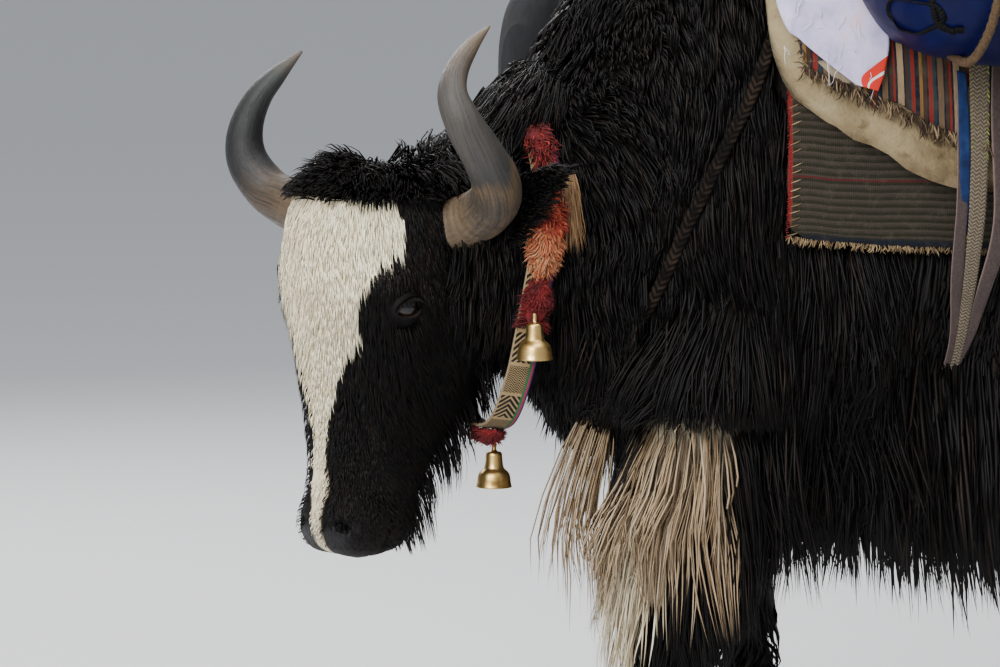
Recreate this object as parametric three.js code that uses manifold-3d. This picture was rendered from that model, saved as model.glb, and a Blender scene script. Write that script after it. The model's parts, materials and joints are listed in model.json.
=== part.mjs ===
// A life-size domestic yak standing with its head low, in a bell collar, saddle cloths and a load.
// Millimetres. +X is the way the yak faces, +Y its left, +Z up, and the floor is z = 0.
import * as THREE from "three";
import { mergeVertices } from "three/addons/utils/BufferGeometryUtils.js";
import Module from "manifold-3d";

const wasm = await Module();
wasm.setup();

// Driving dimensions
const GAP = 0.35; // clearance between touching pieces
const HEAD_YAW = 22; // degrees that the head is turned to the yak's left
const HEAD_AT = [736, 61, 892]; // top of the poll, in the plane of the forehead
const HEAD_FUR = 7;
const EYE_AT = [90, -60, 165]; // side, front, down, in the head's own frame
const EYE_RADIUS = 20;
const LID_THICKNESS = 4.5;
const HOOF_HEIGHT = 62;
const HOOF_LENGTH = 118;
const HOOF_WIDTH = 100;
const CLEFT = 7; // gap between the two claws of a hoof
const NECK_FROM = 352; // x where the neck leaves the shoulders, at mid height
const NECK_LEAN = 14; // degrees that this cut leans forward at the foot
const NECK_CUT_HEIGHT = 840; // that mid height
const CORE_SHARE = 0.45; // how much of the coat's depth the solid core takes under the locks
const PRESSED = 20; // depth of the coat where cloths and straps lie on it

// The trunk, from rump to nape, in upright sections:
// x, side shift, middle height, half width, rise above, fall below, squareness, coat depth
const TRUNK = [
  [-1088, 0, 905, 48, 50, 55, 2.0, 30],
  [-1062, 0, 895, 128, 125, 135, 2.1, 34],
  [-985, 0, 885, 200, 208, 190, 2.2, 38],
  [-850, 0, 872, 248, 258, 232, 2.3, 42],
  [-700, 0, 852, 284, 272, 264, 2.3, 46],
  [-500, 0, 832, 312, 284, 300, 2.3, 50],
  [-300, 0, 832, 310, 300, 310, 2.3, 52],
  [-100, 0, 860, 284, 330, 313, 2.3, 55],
  [50, 0, 890, 262, 368, 328, 2.2, 60],
  [170, 0, 900, 245, 375, 325, 2.2, 64],
  [280, 0, 880, 214, 325, 300, 2.2, 62],
  [340, 2, 850, 180, 272, 275, 2.2, 58],
  [385, 4, 815, 155, 232, 236, 2.2, 52],
  [420, 7, 795, 135, 198, 172, 2.1, 46],
  [460, 11, 785, 115, 156, 118, 2.1, 38],
  [510, 15, 785, 100, 128, 105, 2.1, 32],
  [570, 21, 785, 88, 108, 104, 2.1, 28],
  [620, 26, 785, 76, 92, 88, 2.0, 24],
  [655, 30, 785, 40, 50, 46, 2.0, 20],
];

// How low the long hair of the flanks and chest hangs: x, height of the tips
const SKIRT = [
  [-1088, 800],
  [-1040, 700],
  [-950, 560],
  [-850, 450],
  [-650, 370],
  [-300, 335],
  [0, 350],
  [150, 400],
  [250, 470],
  [340, 540],
  [400, 590],
  [440, 625],
  [500, 665],
  [655, 730],
];

// The head, from poll to lips, in sections across the length of the face:
// down, half width, forehead line, throat line, line of greatest width, squareness
const HEAD = [
  [4, 34, -62, -112, -88, 2.0],
  [18, 76, -32, -150, -92, 2.1],
  [50, 99, -8, -190, -95, 2.2],
  [90, 104, 3, -212, -92, 2.2],
  [130, 105, 6, -226, -86, 2.25],
  [165, 101, 4, -236, -84, 2.25],
  [205, 90, 0, -240, -92, 2.2],
  [250, 79, -5, -230, -100, 2.2],
  [295, 66, -9, -198, -92, 2.2],
  [345, 56, -12, -162, -80, 2.2],
  [388, 55, -11, -138, -70, 2.4],
  [420, 58, -5, -127, -62, 2.5],
  [444, 57, -9, -119, -64, 2.4],
  [459, 45, -24, -105, -66, 2.2],
  [466, 20, -46, -86, -66, 2.0],
];

// Legs, downwards: x, y, z, half width, reach to the front, reach to the back, squareness, coat depth
const LEGS = {
  leg_front_left: [
    [195, 150, 780, 72, 110, 110, 2.2, 30],
    [235, 170, 650, 74, 118, 100, 2.2, 40],
    [285, 172, 520, 58, 82, 70, 2.1, 48],
    [322, 166, 370, 42, 48, 46, 2.1, 30],
    [330, 163, 240, 30, 32, 34, 2.0, 14],
    [330, 160, 118, 37, 38, 41, 2.1, 10],
    [342, 160, HOOF_HEIGHT, 40, 44, 42, 2.2, 4],
  ],
  leg_front_right: [
    [150, -150, 780, 70, 95, 110, 2.2, 30],
    [172, -168, 640, 70, 88, 100, 2.2, 34],
    [150, -170, 500, 54, 60, 66, 2.1, 40],
    [120, -166, 360, 41, 45, 44, 2.1, 24],
    [88, -163, 235, 30, 32, 34, 2.0, 14],
    [56, -160, 115, 37, 38, 41, 2.1, 10],
    [62, -160, HOOF_HEIGHT, 40, 44, 42, 2.2, 4],
  ],
  leg_hind_left: [
    [-880, 120, 930, 90, 130, 120, 2.2, 30],
    [-870, 150, 780, 98, 150, 140, 2.2, 36],
    [-825, 160, 650, 82, 108, 118, 2.2, 44],
    [-900, 160, 540, 58, 66, 72, 2.1, 46],
    [-985, 156, 440, 40, 46, 56, 2.1, 26],
    [-992, 154, 290, 32, 35, 38, 2.0, 16],
    [-1000, 152, 118, 38, 40, 43, 2.1, 10],
    [-985, 152, HOOF_HEIGHT, 40, 45, 42, 2.2, 4],
  ],
  leg_hind_right: [
    [-860, -120, 930, 90, 130, 120, 2.2, 30],
    [-830, -150, 780, 98, 150, 140, 2.2, 36],
    [-770, -160, 650, 82, 108, 118, 2.2, 44],
    [-810, -160, 540, 58, 66, 72, 2.1, 46],
    [-870, -156, 435, 40, 46, 56, 2.1, 26],
    [-850, -154, 290, 32, 35, 38, 2.0, 16],
    [-828, -152, 118, 38, 40, 43, 2.1, 10],
    [-812, -152, HOOF_HEIGHT, 40, 45, 42, 2.2, 4],
  ],
};

// The tail's dock, then its hair, downwards: x, y, z, half width, front, back, squareness, coat depth
const TAIL = [
  [-1030, 0, 1030, 34, 34, 34, 2.0, 10],
  [-1090, 0, 1030, 34, 34, 34, 2.0, 14],
  [-1138, 0, 965, 34, 32, 32, 2.0, 24],
  [-1150, 0, 820, 36, 32, 34, 2.0, 36],
  [-1148, 0, 640, 36, 32, 36, 2.0, 44],
  [-1140, 0, 460, 30, 26, 28, 2.0, 44],
  [-1134, 0, 330, 14, 14, 14, 2.0, 30],
];

// The horns' centre lines and radii, from the root, in the head's own frame: side, front, down, radius
const HORNS = {
  horn_left: [
    [62, -118, 84, 32],
    [100, -138, 73, 32],
    [136, -143, 59, 31],
    [174, -132, 38, 30],
    [204, -103, 11, 28],
    [223, -67, -19, 25],
    [226, -36, -55, 22],
    [214, -30, -87, 18],
    [200, -48, -114, 14],
    [188, -80, -140, 9.5],
    [182, -115, -163, 1.5],
  ],
  horn_right: [
    [-59, -90, 84, 32],
    [-95, -94, 76, 32],
    [-125, -96, 69, 31],
    [-158, -97, 60, 30],
    [-188, -90, 46, 28],
    [-210, -80, 19, 26],
    [-217, -76, -8, 23.5],
    [-213, -78, -38, 20],
    [-203, -88, -68, 16],
    [-192, -106, -92, 11.5],
    [-179, -135, -121, 1.5],
  ],
};

// Ears, in the head's own frame: root and tip as side, front, down
const EARS = {
  ear_left: { root: [103, -176, 92], tip: [230, -188, 2] },
  ear_right: { root: [-103, -176, 92], tip: [-226, -206, 34] },
};
const EAR_WIDTH = 62;
const EAR_THICKNESS = 6;
const EAR_CUP = 15;

// The collar's loop, from the crest down the left side to the throat: x, angle on the neck, lift
const COLLAR = [
  [470, 90, 22],
  [469, 66, 22],
  [468, 45, 22],
  [470, 25, 23],
  [477, 5, 25],
  [487, -16, 31],
  [497, -36, 52],
  [503, -50, 75],
  [508, -70, 104],
  [506, -90, 107],
];
const COLLAR_WIDTH = 34;
const COLLAR_THICKNESS = 5;

// Bells: the shell's profile, from the shank over the outside and back up the inside, as radius and height
const SHANK = 12;
const SHANK_RADIUS = 2.6;
const BELL_SIDES = 12;
const BELL = [
  [0, SHANK],
  [SHANK_RADIUS, SHANK],
  [SHANK_RADIUS, 0],
  [11, -3],
  [14, -24],
  [22, -42],
  [20, -43],
  [12, -24],
  [9, -9],
  [0, -6],
];
const CLAPPER = { rod: 2, ball: 4.6, drop: 40, top: 7 };
const BELL_CROWNS = { left: [498, 168, 706], throat: [500, 34, 540], right: [498, -140, 706] };

// Small horny claws behind each pastern
const DEWCLAW = { behind: 44, height: 96, across: [-20, 20], radii: [13, 10, 15] };

// Middle of the model's box on the floor, which becomes the origin: x, y
const MIDDLE = [-205, -28];

// Small mathematics
const rad = THREE.MathUtils.degToRad;
const vec = (x, y, z) => new THREE.Vector3(x, y, z);
const FORWARD = vec(1, 0, 0);
const LEFT = vec(0, 1, 0);
const UP = vec(0, 0, 1);
const clamp = THREE.MathUtils.clamp;
const mix = THREE.MathUtils.lerp;
const power = (value, exponent) => Math.sign(value) * Math.abs(value) ** exponent;
const step = (value, from, to) => THREE.MathUtils.smoothstep(value, from, to);

// Even stations from one value to another.
const evenly = (from, to, steps) => Array.from({ length: steps + 1 }, (_, i) => mix(from, to, i / steps));

// A smooth curve through the rows of a table, asked for by the value in one column, or by row number.
function through(rows, column = null) {
  const key = rows.map((row, i) => (column === null ? i : row[column]));
  const turn = Math.sign(key[1] - key[0]);
  const slope = rows.map((row, i) => {
    const before = Math.max(i - 1, 0);
    const after = Math.min(i + 1, rows.length - 1);
    return row.map((_, c) => (rows[after][c] - rows[before][c]) / (key[after] - key[before]));
  });
  return (asked) => {
    let i = 0;
    while (i < rows.length - 2 && (asked - key[i + 1]) * turn > 0) {
      i += 1;
    }
    const span = key[i + 1] - key[i];
    const u = clamp((asked - key[i]) / span, 0, 1);
    return rows[i].map((a, c) => {
      const b = rows[i + 1][c];
      const rise = u * u * (3 - 2 * u);
      const ends = u * (1 - u) * span * ((1 - u) * slope[i][c] - u * slope[i + 1][c]);
      return mix(a, b, rise) + ends;
    });
  };
}

// Body tubes. Each gives its section at t: its middle, the two axes across it, and its sizes.
const turned = rad(HEAD_YAW);
const HEAD_SIDE = vec(-Math.sin(turned), Math.cos(turned), 0);
const HEAD_FRONT = vec(Math.cos(turned), Math.sin(turned), 0);
const HEAD_DOWN = vec(0, 0, -1);

// A place given in the head's own frame.
function inHead(side, front, down) {
  return vec(...HEAD_AT)
    .addScaledVector(HEAD_SIDE, side)
    .addScaledVector(HEAD_FRONT, front)
    .addScaledVector(HEAD_DOWN, down);
}

function trunkTube() {
  const row = through(TRUNK, 0);
  return {
    from: TRUNK[0][0],
    to: TRUNK.at(-1)[0],
    find: (point) => point.x,
    section(x) {
      const [, y, z, width, front, back, square, coat] = row(x);
      return { at: vec(x, y, z), side: LEFT, ahead: UP, width, front, back, square, coat };
    },
  };
}

function legTube(rows) {
  const row = through(rows, 2);
  return {
    from: rows[0][2],
    to: rows.at(-1)[2],
    find: (point) => point.z,
    section(z) {
      const [x, y, , width, front, back, square, coat] = row(z);
      return { at: vec(x, y, z), side: LEFT, ahead: FORWARD, width, front, back, square, coat };
    },
  };
}

function headTube() {
  const row = through(HEAD, 0);
  return {
    from: HEAD[0][0],
    to: HEAD.at(-1)[0],
    find: (point) => HEAD_AT[2] - point.z,
    section(down) {
      const [, width, brow, throat, wide, square] = row(down);
      return {
        at: inHead(0, wide, down),
        side: HEAD_SIDE,
        ahead: HEAD_FRONT,
        width,
        front: brow - wide,
        back: wide - throat,
        square,
        coat: HEAD_FUR,
      };
    },
  };
}

// A tube whose sections stand square to its own centre line.
function bentTube(rows, across) {
  const row = through(rows);
  const place = (t) => vec(...row(clamp(t, 0, rows.length - 1)).slice(0, 3));
  const places = evenly(0, rows.length - 1, 60);
  return {
    from: 0,
    to: rows.length - 1,
    find(point) {
      const far = (t) => place(t).distanceTo(point);
      return places.reduce((a, b) => (far(a) < far(b) ? a : b));
    },
    section(t) {
      const [, , , width, front, back, square, coat] = row(t);
      const along = place(t + 0.05).sub(place(t - 0.05)).normalize();
      const ahead = along.clone().cross(across).normalize();
      const side = ahead.clone().cross(along).normalize();
      return { at: place(t), side, ahead, width, front, back, square, coat };
    },
  };
}

// A point on a tube. Angle 0 is its left side and 90 its top or front; lift raises it off the skin.
function onTube(tube, t, angle, lift = 0) {
  const s = tube.section(t);
  const c = power(Math.cos(rad(angle)), 2 / s.square);
  const h = power(Math.sin(rad(angle)), 2 / s.square);
  const reach = (h > 0 ? s.front : s.back) + lift;
  return s.at.addScaledVector(s.side, (s.width + lift) * c).addScaledVector(s.ahead, reach * h);
}

// A point moved straight out of a tube, so that it lies at least lift off the skin.
function outOf(tube, point, lift) {
  const t = clamp(tube.find(point), Math.min(tube.from, tube.to), Math.max(tube.from, tube.to));
  const s = tube.section(t);
  const offset = point.clone().sub(s.at);
  const a = offset.dot(s.side);
  const b = offset.dot(s.ahead);
  const reach = (b > 0 ? s.front : s.back) + lift;
  const sum = Math.abs(a / (s.width + lift)) ** s.square + Math.abs(b / reach) ** s.square;
  const share = sum ** (1 / s.square);
  if (share >= 1 || share < 1e-6) {
    return point.clone();
  }
  return point.clone().addScaledVector(s.side, a / share - a).addScaledVector(s.ahead, b / share - b);
}

// Solids
function solid(points, triangles) {
  const make = (faces) =>
    new wasm.Manifold(
      new wasm.Mesh({
        numProp: 3,
        vertProperties: new Float32Array(points.flatMap((p) => [p.x, p.y, p.z])),
        triVerts: new Uint32Array(faces.flat()),
      }),
    );
  const made = make(triangles);
  return made.volume() < 0 ? make(triangles.map(([a, b, c]) => [a, c, b])) : made;
}

// The solid of any closed three.js geometry.
function fromGeometry(geometry) {
  const bare = geometry.clone();
  bare.deleteAttribute("normal");
  bare.deleteAttribute("uv");
  const merged = mergeVertices(bare, 1e-3);
  const at = merged.attributes.position;
  const points = Array.from({ length: at.count }, (_, i) => vec(at.getX(i), at.getY(i), at.getZ(i)));
  const index = Array.from(merged.index.array);
  const faces = [];
  for (let i = 0; i < index.length; i += 3) {
    const face = index.slice(i, i + 3);
    if (new Set(face).size === 3) {
      faces.push(face);
    }
  }
  return solid(points, faces);
}

// A closed loft through rings of equal count, with a flat or pointed cap at each end.
function loft(rings) {
  const sides = rings[0].length;
  const points = rings.flat();
  const faces = [];
  for (let i = 0; i < rings.length - 1; i += 1) {
    for (let j = 0; j < sides; j += 1) {
      const a = i * sides + j;
      const b = i * sides + ((j + 1) % sides);
      faces.push([a, b, b + sides], [a, b + sides, a + sides]);
    }
  }
  for (const end of [0, rings.length - 1]) {
    const middle = points.length;
    points.push(rings[end].reduce((sum, p) => sum.add(p), vec(0, 0, 0)).divideScalar(sides));
    for (let j = 0; j < sides; j += 1) {
      const a = end * sides + j;
      const b = end * sides + ((j + 1) % sides);
      faces.push(end === 0 ? [middle, b, a] : [middle, a, b]);
    }
  }
  return solid(points, faces);
}

// A tube as a solid, raised by lift(t, angle) off its skin, through the given stations.
function tubeSolid(tube, stations, sides, lift) {
  const rings = stations.map((t) =>
    Array.from({ length: sides }, (_, j) => {
      const angle = (360 * j) / sides;
      return onTube(tube, t, angle, lift(t, angle));
    }),
  );
  return loft(rings);
}

// A closed loop of rings, such as a collar.
function hoop(rings) {
  const sides = rings[0].length;
  const faces = [];
  for (let i = 0; i < rings.length; i += 1) {
    const next = (i + 1) % rings.length;
    for (let j = 0; j < sides; j += 1) {
      const k = (j + 1) % sides;
      const corners = [i * sides + j, i * sides + k, next * sides + k, next * sides + j];
      faces.push([corners[0], corners[1], corners[2]], [corners[0], corners[2], corners[3]]);
    }
  }
  return solid(rings.flat(), faces);
}

// A sheet of some thickness: place(i, j, side) gives its lower face at side 0 and its upper at side 1.
function sheet(across, along, place) {
  const points = [];
  const faces = [];
  const index = (side, i, j) => side * (across + 1) * (along + 1) + i * (along + 1) + j;
  for (const side of [0, 1]) {
    for (let i = 0; i <= across; i += 1) {
      for (let j = 0; j <= along; j += 1) {
        points.push(place(i, j, side));
      }
    }
  }
  for (let i = 0; i < across; i += 1) {
    for (let j = 0; j < along; j += 1) {
      for (const side of [0, 1]) {
        const a = index(side, i, j);
        const b = index(side, i + 1, j);
        const c = index(side, i + 1, j + 1);
        const d = index(side, i, j + 1);
        faces.push(side === 0 ? [a, c, b] : [a, b, c], side === 0 ? [a, d, c] : [a, c, d]);
      }
    }
  }
  const rim = [];
  for (let i = 0; i < across; i += 1) {
    rim.push([i, 0, i + 1, 0], [i + 1, along, i, along]);
  }
  for (let j = 0; j < along; j += 1) {
    rim.push([across, j, across, j + 1], [0, j + 1, 0, j]);
  }
  for (const [i, j, k, l] of rim) {
    const low = [index(0, i, j), index(0, k, l)];
    const high = [index(1, i, j), index(1, k, l)];
    faces.push([low[0], low[1], high[1]], [low[0], high[1], high[0]]);
  }
  return solid(points, faces);
}

// An ellipsoid with its own axes.
function ellipsoid(at, axes, radii, rings = 7, sides = 10) {
  const sphere = new THREE.SphereGeometry(1, sides, rings);
  const frame = new THREE.Matrix4().makeBasis(
    axes[0].clone().multiplyScalar(radii[0]),
    axes[1].clone().multiplyScalar(radii[1]),
    axes[2].clone().multiplyScalar(radii[2]),
  );
  sphere.applyMatrix4(frame.setPosition(at));
  return fromGeometry(sphere);
}

function cylinder(from, to, radius, sides = 10, radiusTo = radius) {
  const length = from.distanceTo(to);
  const geometry = new THREE.CylinderGeometry(radiusTo, radius, length, sides);
  geometry.translate(0, length / 2, 0);
  const turn = new THREE.Quaternion().setFromUnitVectors(vec(0, 1, 0), to.clone().sub(from).normalize());
  geometry.applyQuaternion(turn);
  geometry.translate(from.x, from.y, from.z);
  return fromGeometry(geometry);
}

// A solid of revolution about the vertical through a point, from a profile of radius and height.
function turnedAt(at, profile, sides) {
  const geometry = new THREE.LatheGeometry(profile.map(([r, height]) => new THREE.Vector2(r, height)), sides);
  geometry.rotateX(Math.PI / 2);
  geometry.translate(at.x, at.y, at.z);
  return fromGeometry(geometry);
}

const union = (...pieces) => wasm.Manifold.union(pieces.flat());
const less = (piece, ...cutters) => cutters.flat().reduce((left, cutter) => left.subtract(cutter), piece);
const HEAD_AXES = [HEAD_SIDE, HEAD_FRONT, HEAD_DOWN];

const trunk = trunkTube();
const head = headTube();
const tail = bentTube(TAIL, LEFT);
const legs = Object.fromEntries(Object.entries(LEGS).map(([name, rows]) => [name, legTube(rows)]));

// Stations that the trunk and everything draped on it share, so that their facets lie parallel.
const REAR_X = [-1088, -1072, -1040, -985, -915, -840, -720];
const BACK_X = [-600, -540, -480, -360, -240, -120, -50, 20, 95, 160, 215, 240];
const NECK_X = [300, 345, 385, 420, 455, 490, 530, 575, 620, 655];
const TRUNK_X = [...REAR_X, ...BACK_X, ...NECK_X];
const TRUNK_SIDES = 18;
const SHARED_ANGLES = [-20, 0, 20, 40, 60, 80];
const CORE = PRESSED - 1; // depth of the core's surface over the skin
const CLEAR = 1; // clearance between cloths that lie on one another

// The angle on the trunk's left side where its raised skin stands at height z.
function sideAngle(x, z, lift) {
  const s = trunk.section(x);
  const reach = (z > s.at.z ? s.front : s.back) + lift;
  const share = clamp((z - s.at.z) / reach, -1, 1);
  return THREE.MathUtils.radToDeg(Math.asin(power(share, s.square / 2)));
}

// Cloths on the back, from the skin outwards. Each drapes over both sides down to its lower edge.
const BLANKET = 9;
const PAD = 34;
const RUG = 7;
const CLOTHS = {
  saddle_blanket: {
    front: 215,
    rear: -600,
    lift: PRESSED,
    thickness: BLANKET,
    edge: [
      [240, 806],
      [100, 792],
      [-250, 782],
      [-600, 800],
    ],
    colour: "#4a4438",
  },
  saddle_pad: {
    front: 240,
    rear: -540,
    lift: PRESSED + BLANKET + CLEAR,
    thickness: PAD,
    edge: [
      [240, 972],
      [130, 910],
      [20, 862],
      [-250, 846],
      [-540, 870],
    ],
    colour: "#b7a888",
  },
  saddle_rug: {
    front: 215,
    rear: -480,
    lift: PRESSED + BLANKET + PAD + 2 * CLEAR,
    thickness: RUG,
    edge: [
      [240, 1012],
      [120, 960],
      [26, 918],
      [-250, 900],
      [-480, 915],
    ],
    colour: "#7d3c30",
  },
};
const ON_RUG = PRESSED + BLANKET + PAD + RUG + 3 * CLEAR; // lift of what lies on the rug

const LEAST_TURN = 0.8; // degrees between a cloth's lines

// A cloth's solid. Grown, it is larger all round by that much.
function cloth({ front, rear, lift, thickness, edge }, grown = 0) {
  const lowest = through(edge, 0);
  const stations = TRUNK_X.filter((x) => x > rear && x < front);
  const xs = [rear - grown, ...stations, front + grown];
  const starts = xs.map((x) => sideAngle(x, lowest(x)[1] - grown, lift));
  const shared = SHARED_ANGLES.filter((angle) => angle > Math.min(...starts));
  const lines = starts.map((start) => {
    const half = [start, ...shared.map((angle, k) => Math.max(angle, start + LEAST_TURN * (k + 1)))];
    return [...half, ...half.toReversed().map((angle) => 180 - angle)];
  });
  return sheet(xs.length - 1, lines[0].length - 1, (i, j, side) =>
    onTube(trunk, xs[i], lines[i][j], lift + (side === 1 ? thickness + grown : -grown)),
  );
}

// The angle on the left side where a cloth's lower edge lies.
function edgeAngle({ edge, lift }, x) {
  return sideAngle(x, through(edge, 0)(x)[1], lift);
}

// Where straps ease down off a cloth: degrees inside and below its edge, and millimetres ahead of its front
const EASE = { inside: 2.6, start: 1.5, end: 8, ahead: 4, front: 34 };

// How far the topmost cloth stands off the skin at a place on the left side, easing down below each edge.
function overCloths(x, angle) {
  let top = PRESSED;
  for (const cut of Object.values(CLOTHS)) {
    const edge = edgeAngle(cut, x);
    const ahead = step(x, cut.front + EASE.ahead, cut.front + EASE.front);
    const cover = step(angle, edge - EASE.end, edge - EASE.start) * (1 - ahead);
    top = Math.max(top, mix(PRESSED, cut.lift + cut.thickness + 2 * CLEAR, cover));
  }
  return top;
}

// Straps round the trunk: the angles where they start and end, and x at even steps between.
const STRAP = 3;
const MM_PER_DEGREE = 5; // round the trunk, roughly
const ROUND_TRUNK = 15; // steps of a girth
const GIRTHS = {
  girth_webbing: { from: 60, to: -240, x: [-12, 3, 6, 3, -12], width: 30, colour: "#9c8c6c" },
  girth_strap_grey: { from: 60, to: -240, x: [-54, -38, -34, -38, -54], width: 30, colour: "#6d6255" },
  girth_strap_blue: { from: 50, to: -16, x: [34, 31, 28, 27], width: 12, colour: "#27406e" },
};

function girth({ from, to, x, width }, grown = 0) {
  const route = through(x.map((value) => [value]));
  const middle = x[Math.floor(x.length / 2)];
  const edges = Object.values(CLOTHS).flatMap((cut) => {
    const edge = edgeAngle(cut, middle);
    return [edge + EASE.inside, edge - EASE.start, edge - EASE.end];
  });
  const shared = evenly(-240, 60, ROUND_TRUNK);
  const all = [...edges, ...edges.map((angle) => -180 - angle), ...shared];
  const inside = all.filter((angle) => angle > to + 1 && angle < from - 1);
  const angles = [from + grown / MM_PER_DEGREE, ...inside.sort((a, b) => b - a), to - grown / MM_PER_DEGREE];
  return sheet(angles.length - 1, 1, (i, j, side) => {
    const angle = angles[i];
    const at = route(((from - angle) / (from - to)) * (x.length - 1))[0] + (j - 0.5) * (width + 2 * grown);
    const mirrored = angle < -90 ? -180 - angle : angle;
    return onTube(trunk, at, angle, overCloths(at, mirrored) + (side === 1 ? STRAP + grown : -grown));
  });
}

// The breast strap, from the saddle on the left, round the chest, to the right: x, angle on the trunk
const BREAST = [
  [230, 20],
  [254, 12],
  [290, 3],
  [322, -5.5],
  [350, -17],
  [374, -27],
  [392, -42],
  [403, -65],
  [406, -90],
];
const BREAST_WIDTH = 22;
const BREAST_LIFT = 24;

const BREAST_STEPS = 24;

function breastStrap(grown = 0) {
  const route = [...BREAST, ...BREAST.slice(0, -1).toReversed().map(([x, angle]) => [x, -180 - angle])];
  const at = through(route);
  const last = route.length - 1;
  return sheet(BREAST_STEPS, 1, (i, j, side) => {
    const t = (i / BREAST_STEPS) * last;
    const here = onTube(trunk, ...at(t), BREAST_LIFT);
    const before = onTube(trunk, ...at(Math.max(t - 0.2, 0)), BREAST_LIFT);
    const after = onTube(trunk, ...at(Math.min(t + 0.2, last)), BREAST_LIFT);
    const out = outward(trunk, here);
    const across = after.sub(before).normalize().cross(out).normalize();
    const raise = side === 1 ? STRAP + grown : -grown;
    return here.addScaledVector(across, (j - 0.5) * (BREAST_WIDTH + 2 * grown)).addScaledVector(out, raise);
  });
}

// Load bags, from the front end backwards: x, y, z, half width, rise above, fall below, squareness
const BAGS = {
  load_bag_left: {
    rows: [
      [166, 396, 1186, 70, 70, 70, 2.2],
      [152, 396, 1186, 118, 118, 118, 2.3],
      [118, 396, 1186, 152, 154, 156, 2.4],
      [50, 396, 1186, 170, 172, 174, 2.5],
      [-200, 398, 1182, 174, 174, 178, 2.5],
      [-460, 398, 1180, 170, 170, 174, 2.5],
      [-560, 396, 1180, 150, 150, 154, 2.4],
      [-606, 394, 1180, 112, 112, 114, 2.3],
      [-622, 394, 1180, 66, 66, 66, 2.2],
    ],
    colour: "#1d3fae",
    roughness: 0.45,
  },
  load_bag_right: {
    rows: [
      [286, -462, 962, 70, 66, 66, 2.2],
      [274, -462, 962, 112, 112, 112, 2.3],
      [238, -462, 962, 146, 150, 150, 2.3],
      [170, -462, 962, 162, 168, 168, 2.3],
      [-40, -464, 956, 166, 172, 174, 2.3],
      [-280, -462, 956, 160, 166, 168, 2.3],
      [-370, -460, 956, 138, 142, 144, 2.3],
      [-412, -460, 956, 104, 106, 108, 2.2],
      [-426, -460, 956, 60, 60, 60, 2.2],
    ],
    colour: "#26262a",
    roughness: 0.5,
  },
};

function bagTube(rows) {
  const row = through(rows, 0);
  return {
    section(x) {
      const [, y, z, width, front, back, square] = row(x);
      return { at: vec(x, y, z), side: LEFT, ahead: UP, width, front, back, square };
    },
  };
}

const bags = Object.fromEntries(Object.entries(BAGS).map(([name, bag]) => [name, bagTube(bag.rows)]));

// Lashing ropes, each round the left bag, over the back and round the right bag, at one x.
const ROPE = 6; // radius
const ROPE_LIFT = ROPE + 4; // of its middle off the bags
const ROPE_OVER = 6; // between the rope and the rug
const ROPES = {
  lashing_rope_front: { x: 84, over: [66, 80, 94, 108] }, // the angles of its points on the back
  lashing_rope_rear: { x: -300, over: [] },
};

function rope({ x, over }, radius) {
  const left = evenly(-88, 98, 9).map((angle) => onTube(bags.load_bag_left, x, angle, ROPE_LIFT));
  const back = over.map((angle) => onTube(trunk, x, angle, ON_RUG + ROPE + ROPE_OVER));
  const right = evenly(82, 268, 9).map((angle) => onTube(bags.load_bag_right, x, angle, ROPE_LIFT));
  const route = new THREE.CatmullRomCurve3([...left, ...back, ...right], false, "centripetal");
  route.arcLengthDivisions = 400;
  const ring = new THREE.Shape();
  ring.absarc(0, 0, radius, 0, 2 * Math.PI);
  const tube = new THREE.ExtrudeGeometry(ring, { steps: 28, curveSegments: 3, extrudePath: route });
  return fromGeometry(tube);
}

// The scrap of cloth that hangs from under the left bag: x and height of its front and rear edges
const SCRAP = [
  [236, 1118, 128, 1132],
  [238, 1082, 118, 1080],
  [226, 1046, 116, 1034],
  [196, 1016, 124, 998],
  [158, 986, 132, 978],
];
const SCRAP_THICKNESS = 2.5;
const SCRAP_LIFT = 5; // the scrap lies loosely on the rug
const SCRAP_ROWS = 7;
const SCRAP_COLUMNS = 3;

function scrap(grown = 0) {
  const rows = through(SCRAP);
  return sheet(SCRAP_ROWS, SCRAP_COLUMNS, (i, j, side) => {
    const [frontX, frontZ, rearX, rearZ] = rows((i / SCRAP_ROWS) * (SCRAP.length - 1));
    const x = mix(frontX + grown, rearX - grown, j / SCRAP_COLUMNS);
    const z = mix(frontZ, rearZ, j / SCRAP_COLUMNS);
    const angle = sideAngle(x, z, ON_RUG);
    const raise = overCloths(x, angle) + SCRAP_LIFT + (side === 1 ? SCRAP_THICKNESS + grown : -grown);
    return onTube(trunk, x, angle, raise);
  });
}

// The collar: a band in a loop, with wool, tassels and bells on it.
const collarSide = (mirror) =>
  COLLAR.map(([x, angle, lift]) => onTube(trunk, x, mirror ? 180 - angle : angle, lift));
const collarPoints = [...collarSide(false), ...collarSide(true).slice(1, -1).toReversed()];
const collarRoute = new THREE.CatmullRomCurve3(collarPoints, true, "centripetal");
const COLLAR_CENTRE = vec(478, 14, 770);

// The direction straight out of a tube at a point near it.
function outward(tube, point) {
  const t = tube.find(point);
  const s = tube.section(t);
  const offset = point.clone().sub(s.at);
  const c = power(offset.dot(s.side) / s.width, s.square / 2);
  const b = offset.dot(s.ahead);
  const h = power(b / (b > 0 ? s.front : s.back), s.square / 2);
  const angle = THREE.MathUtils.radToDeg(Math.atan2(h, c));
  const here = onTube(tube, t, angle);
  const along = onTube(tube, t + (tube.to - tube.from) * 0.002, angle).sub(here);
  const round = onTube(tube, t, angle + 1).sub(here);
  const out = along.cross(round).normalize();
  return out.dot(offset) < 0 ? out.negate() : out;
}

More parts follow.
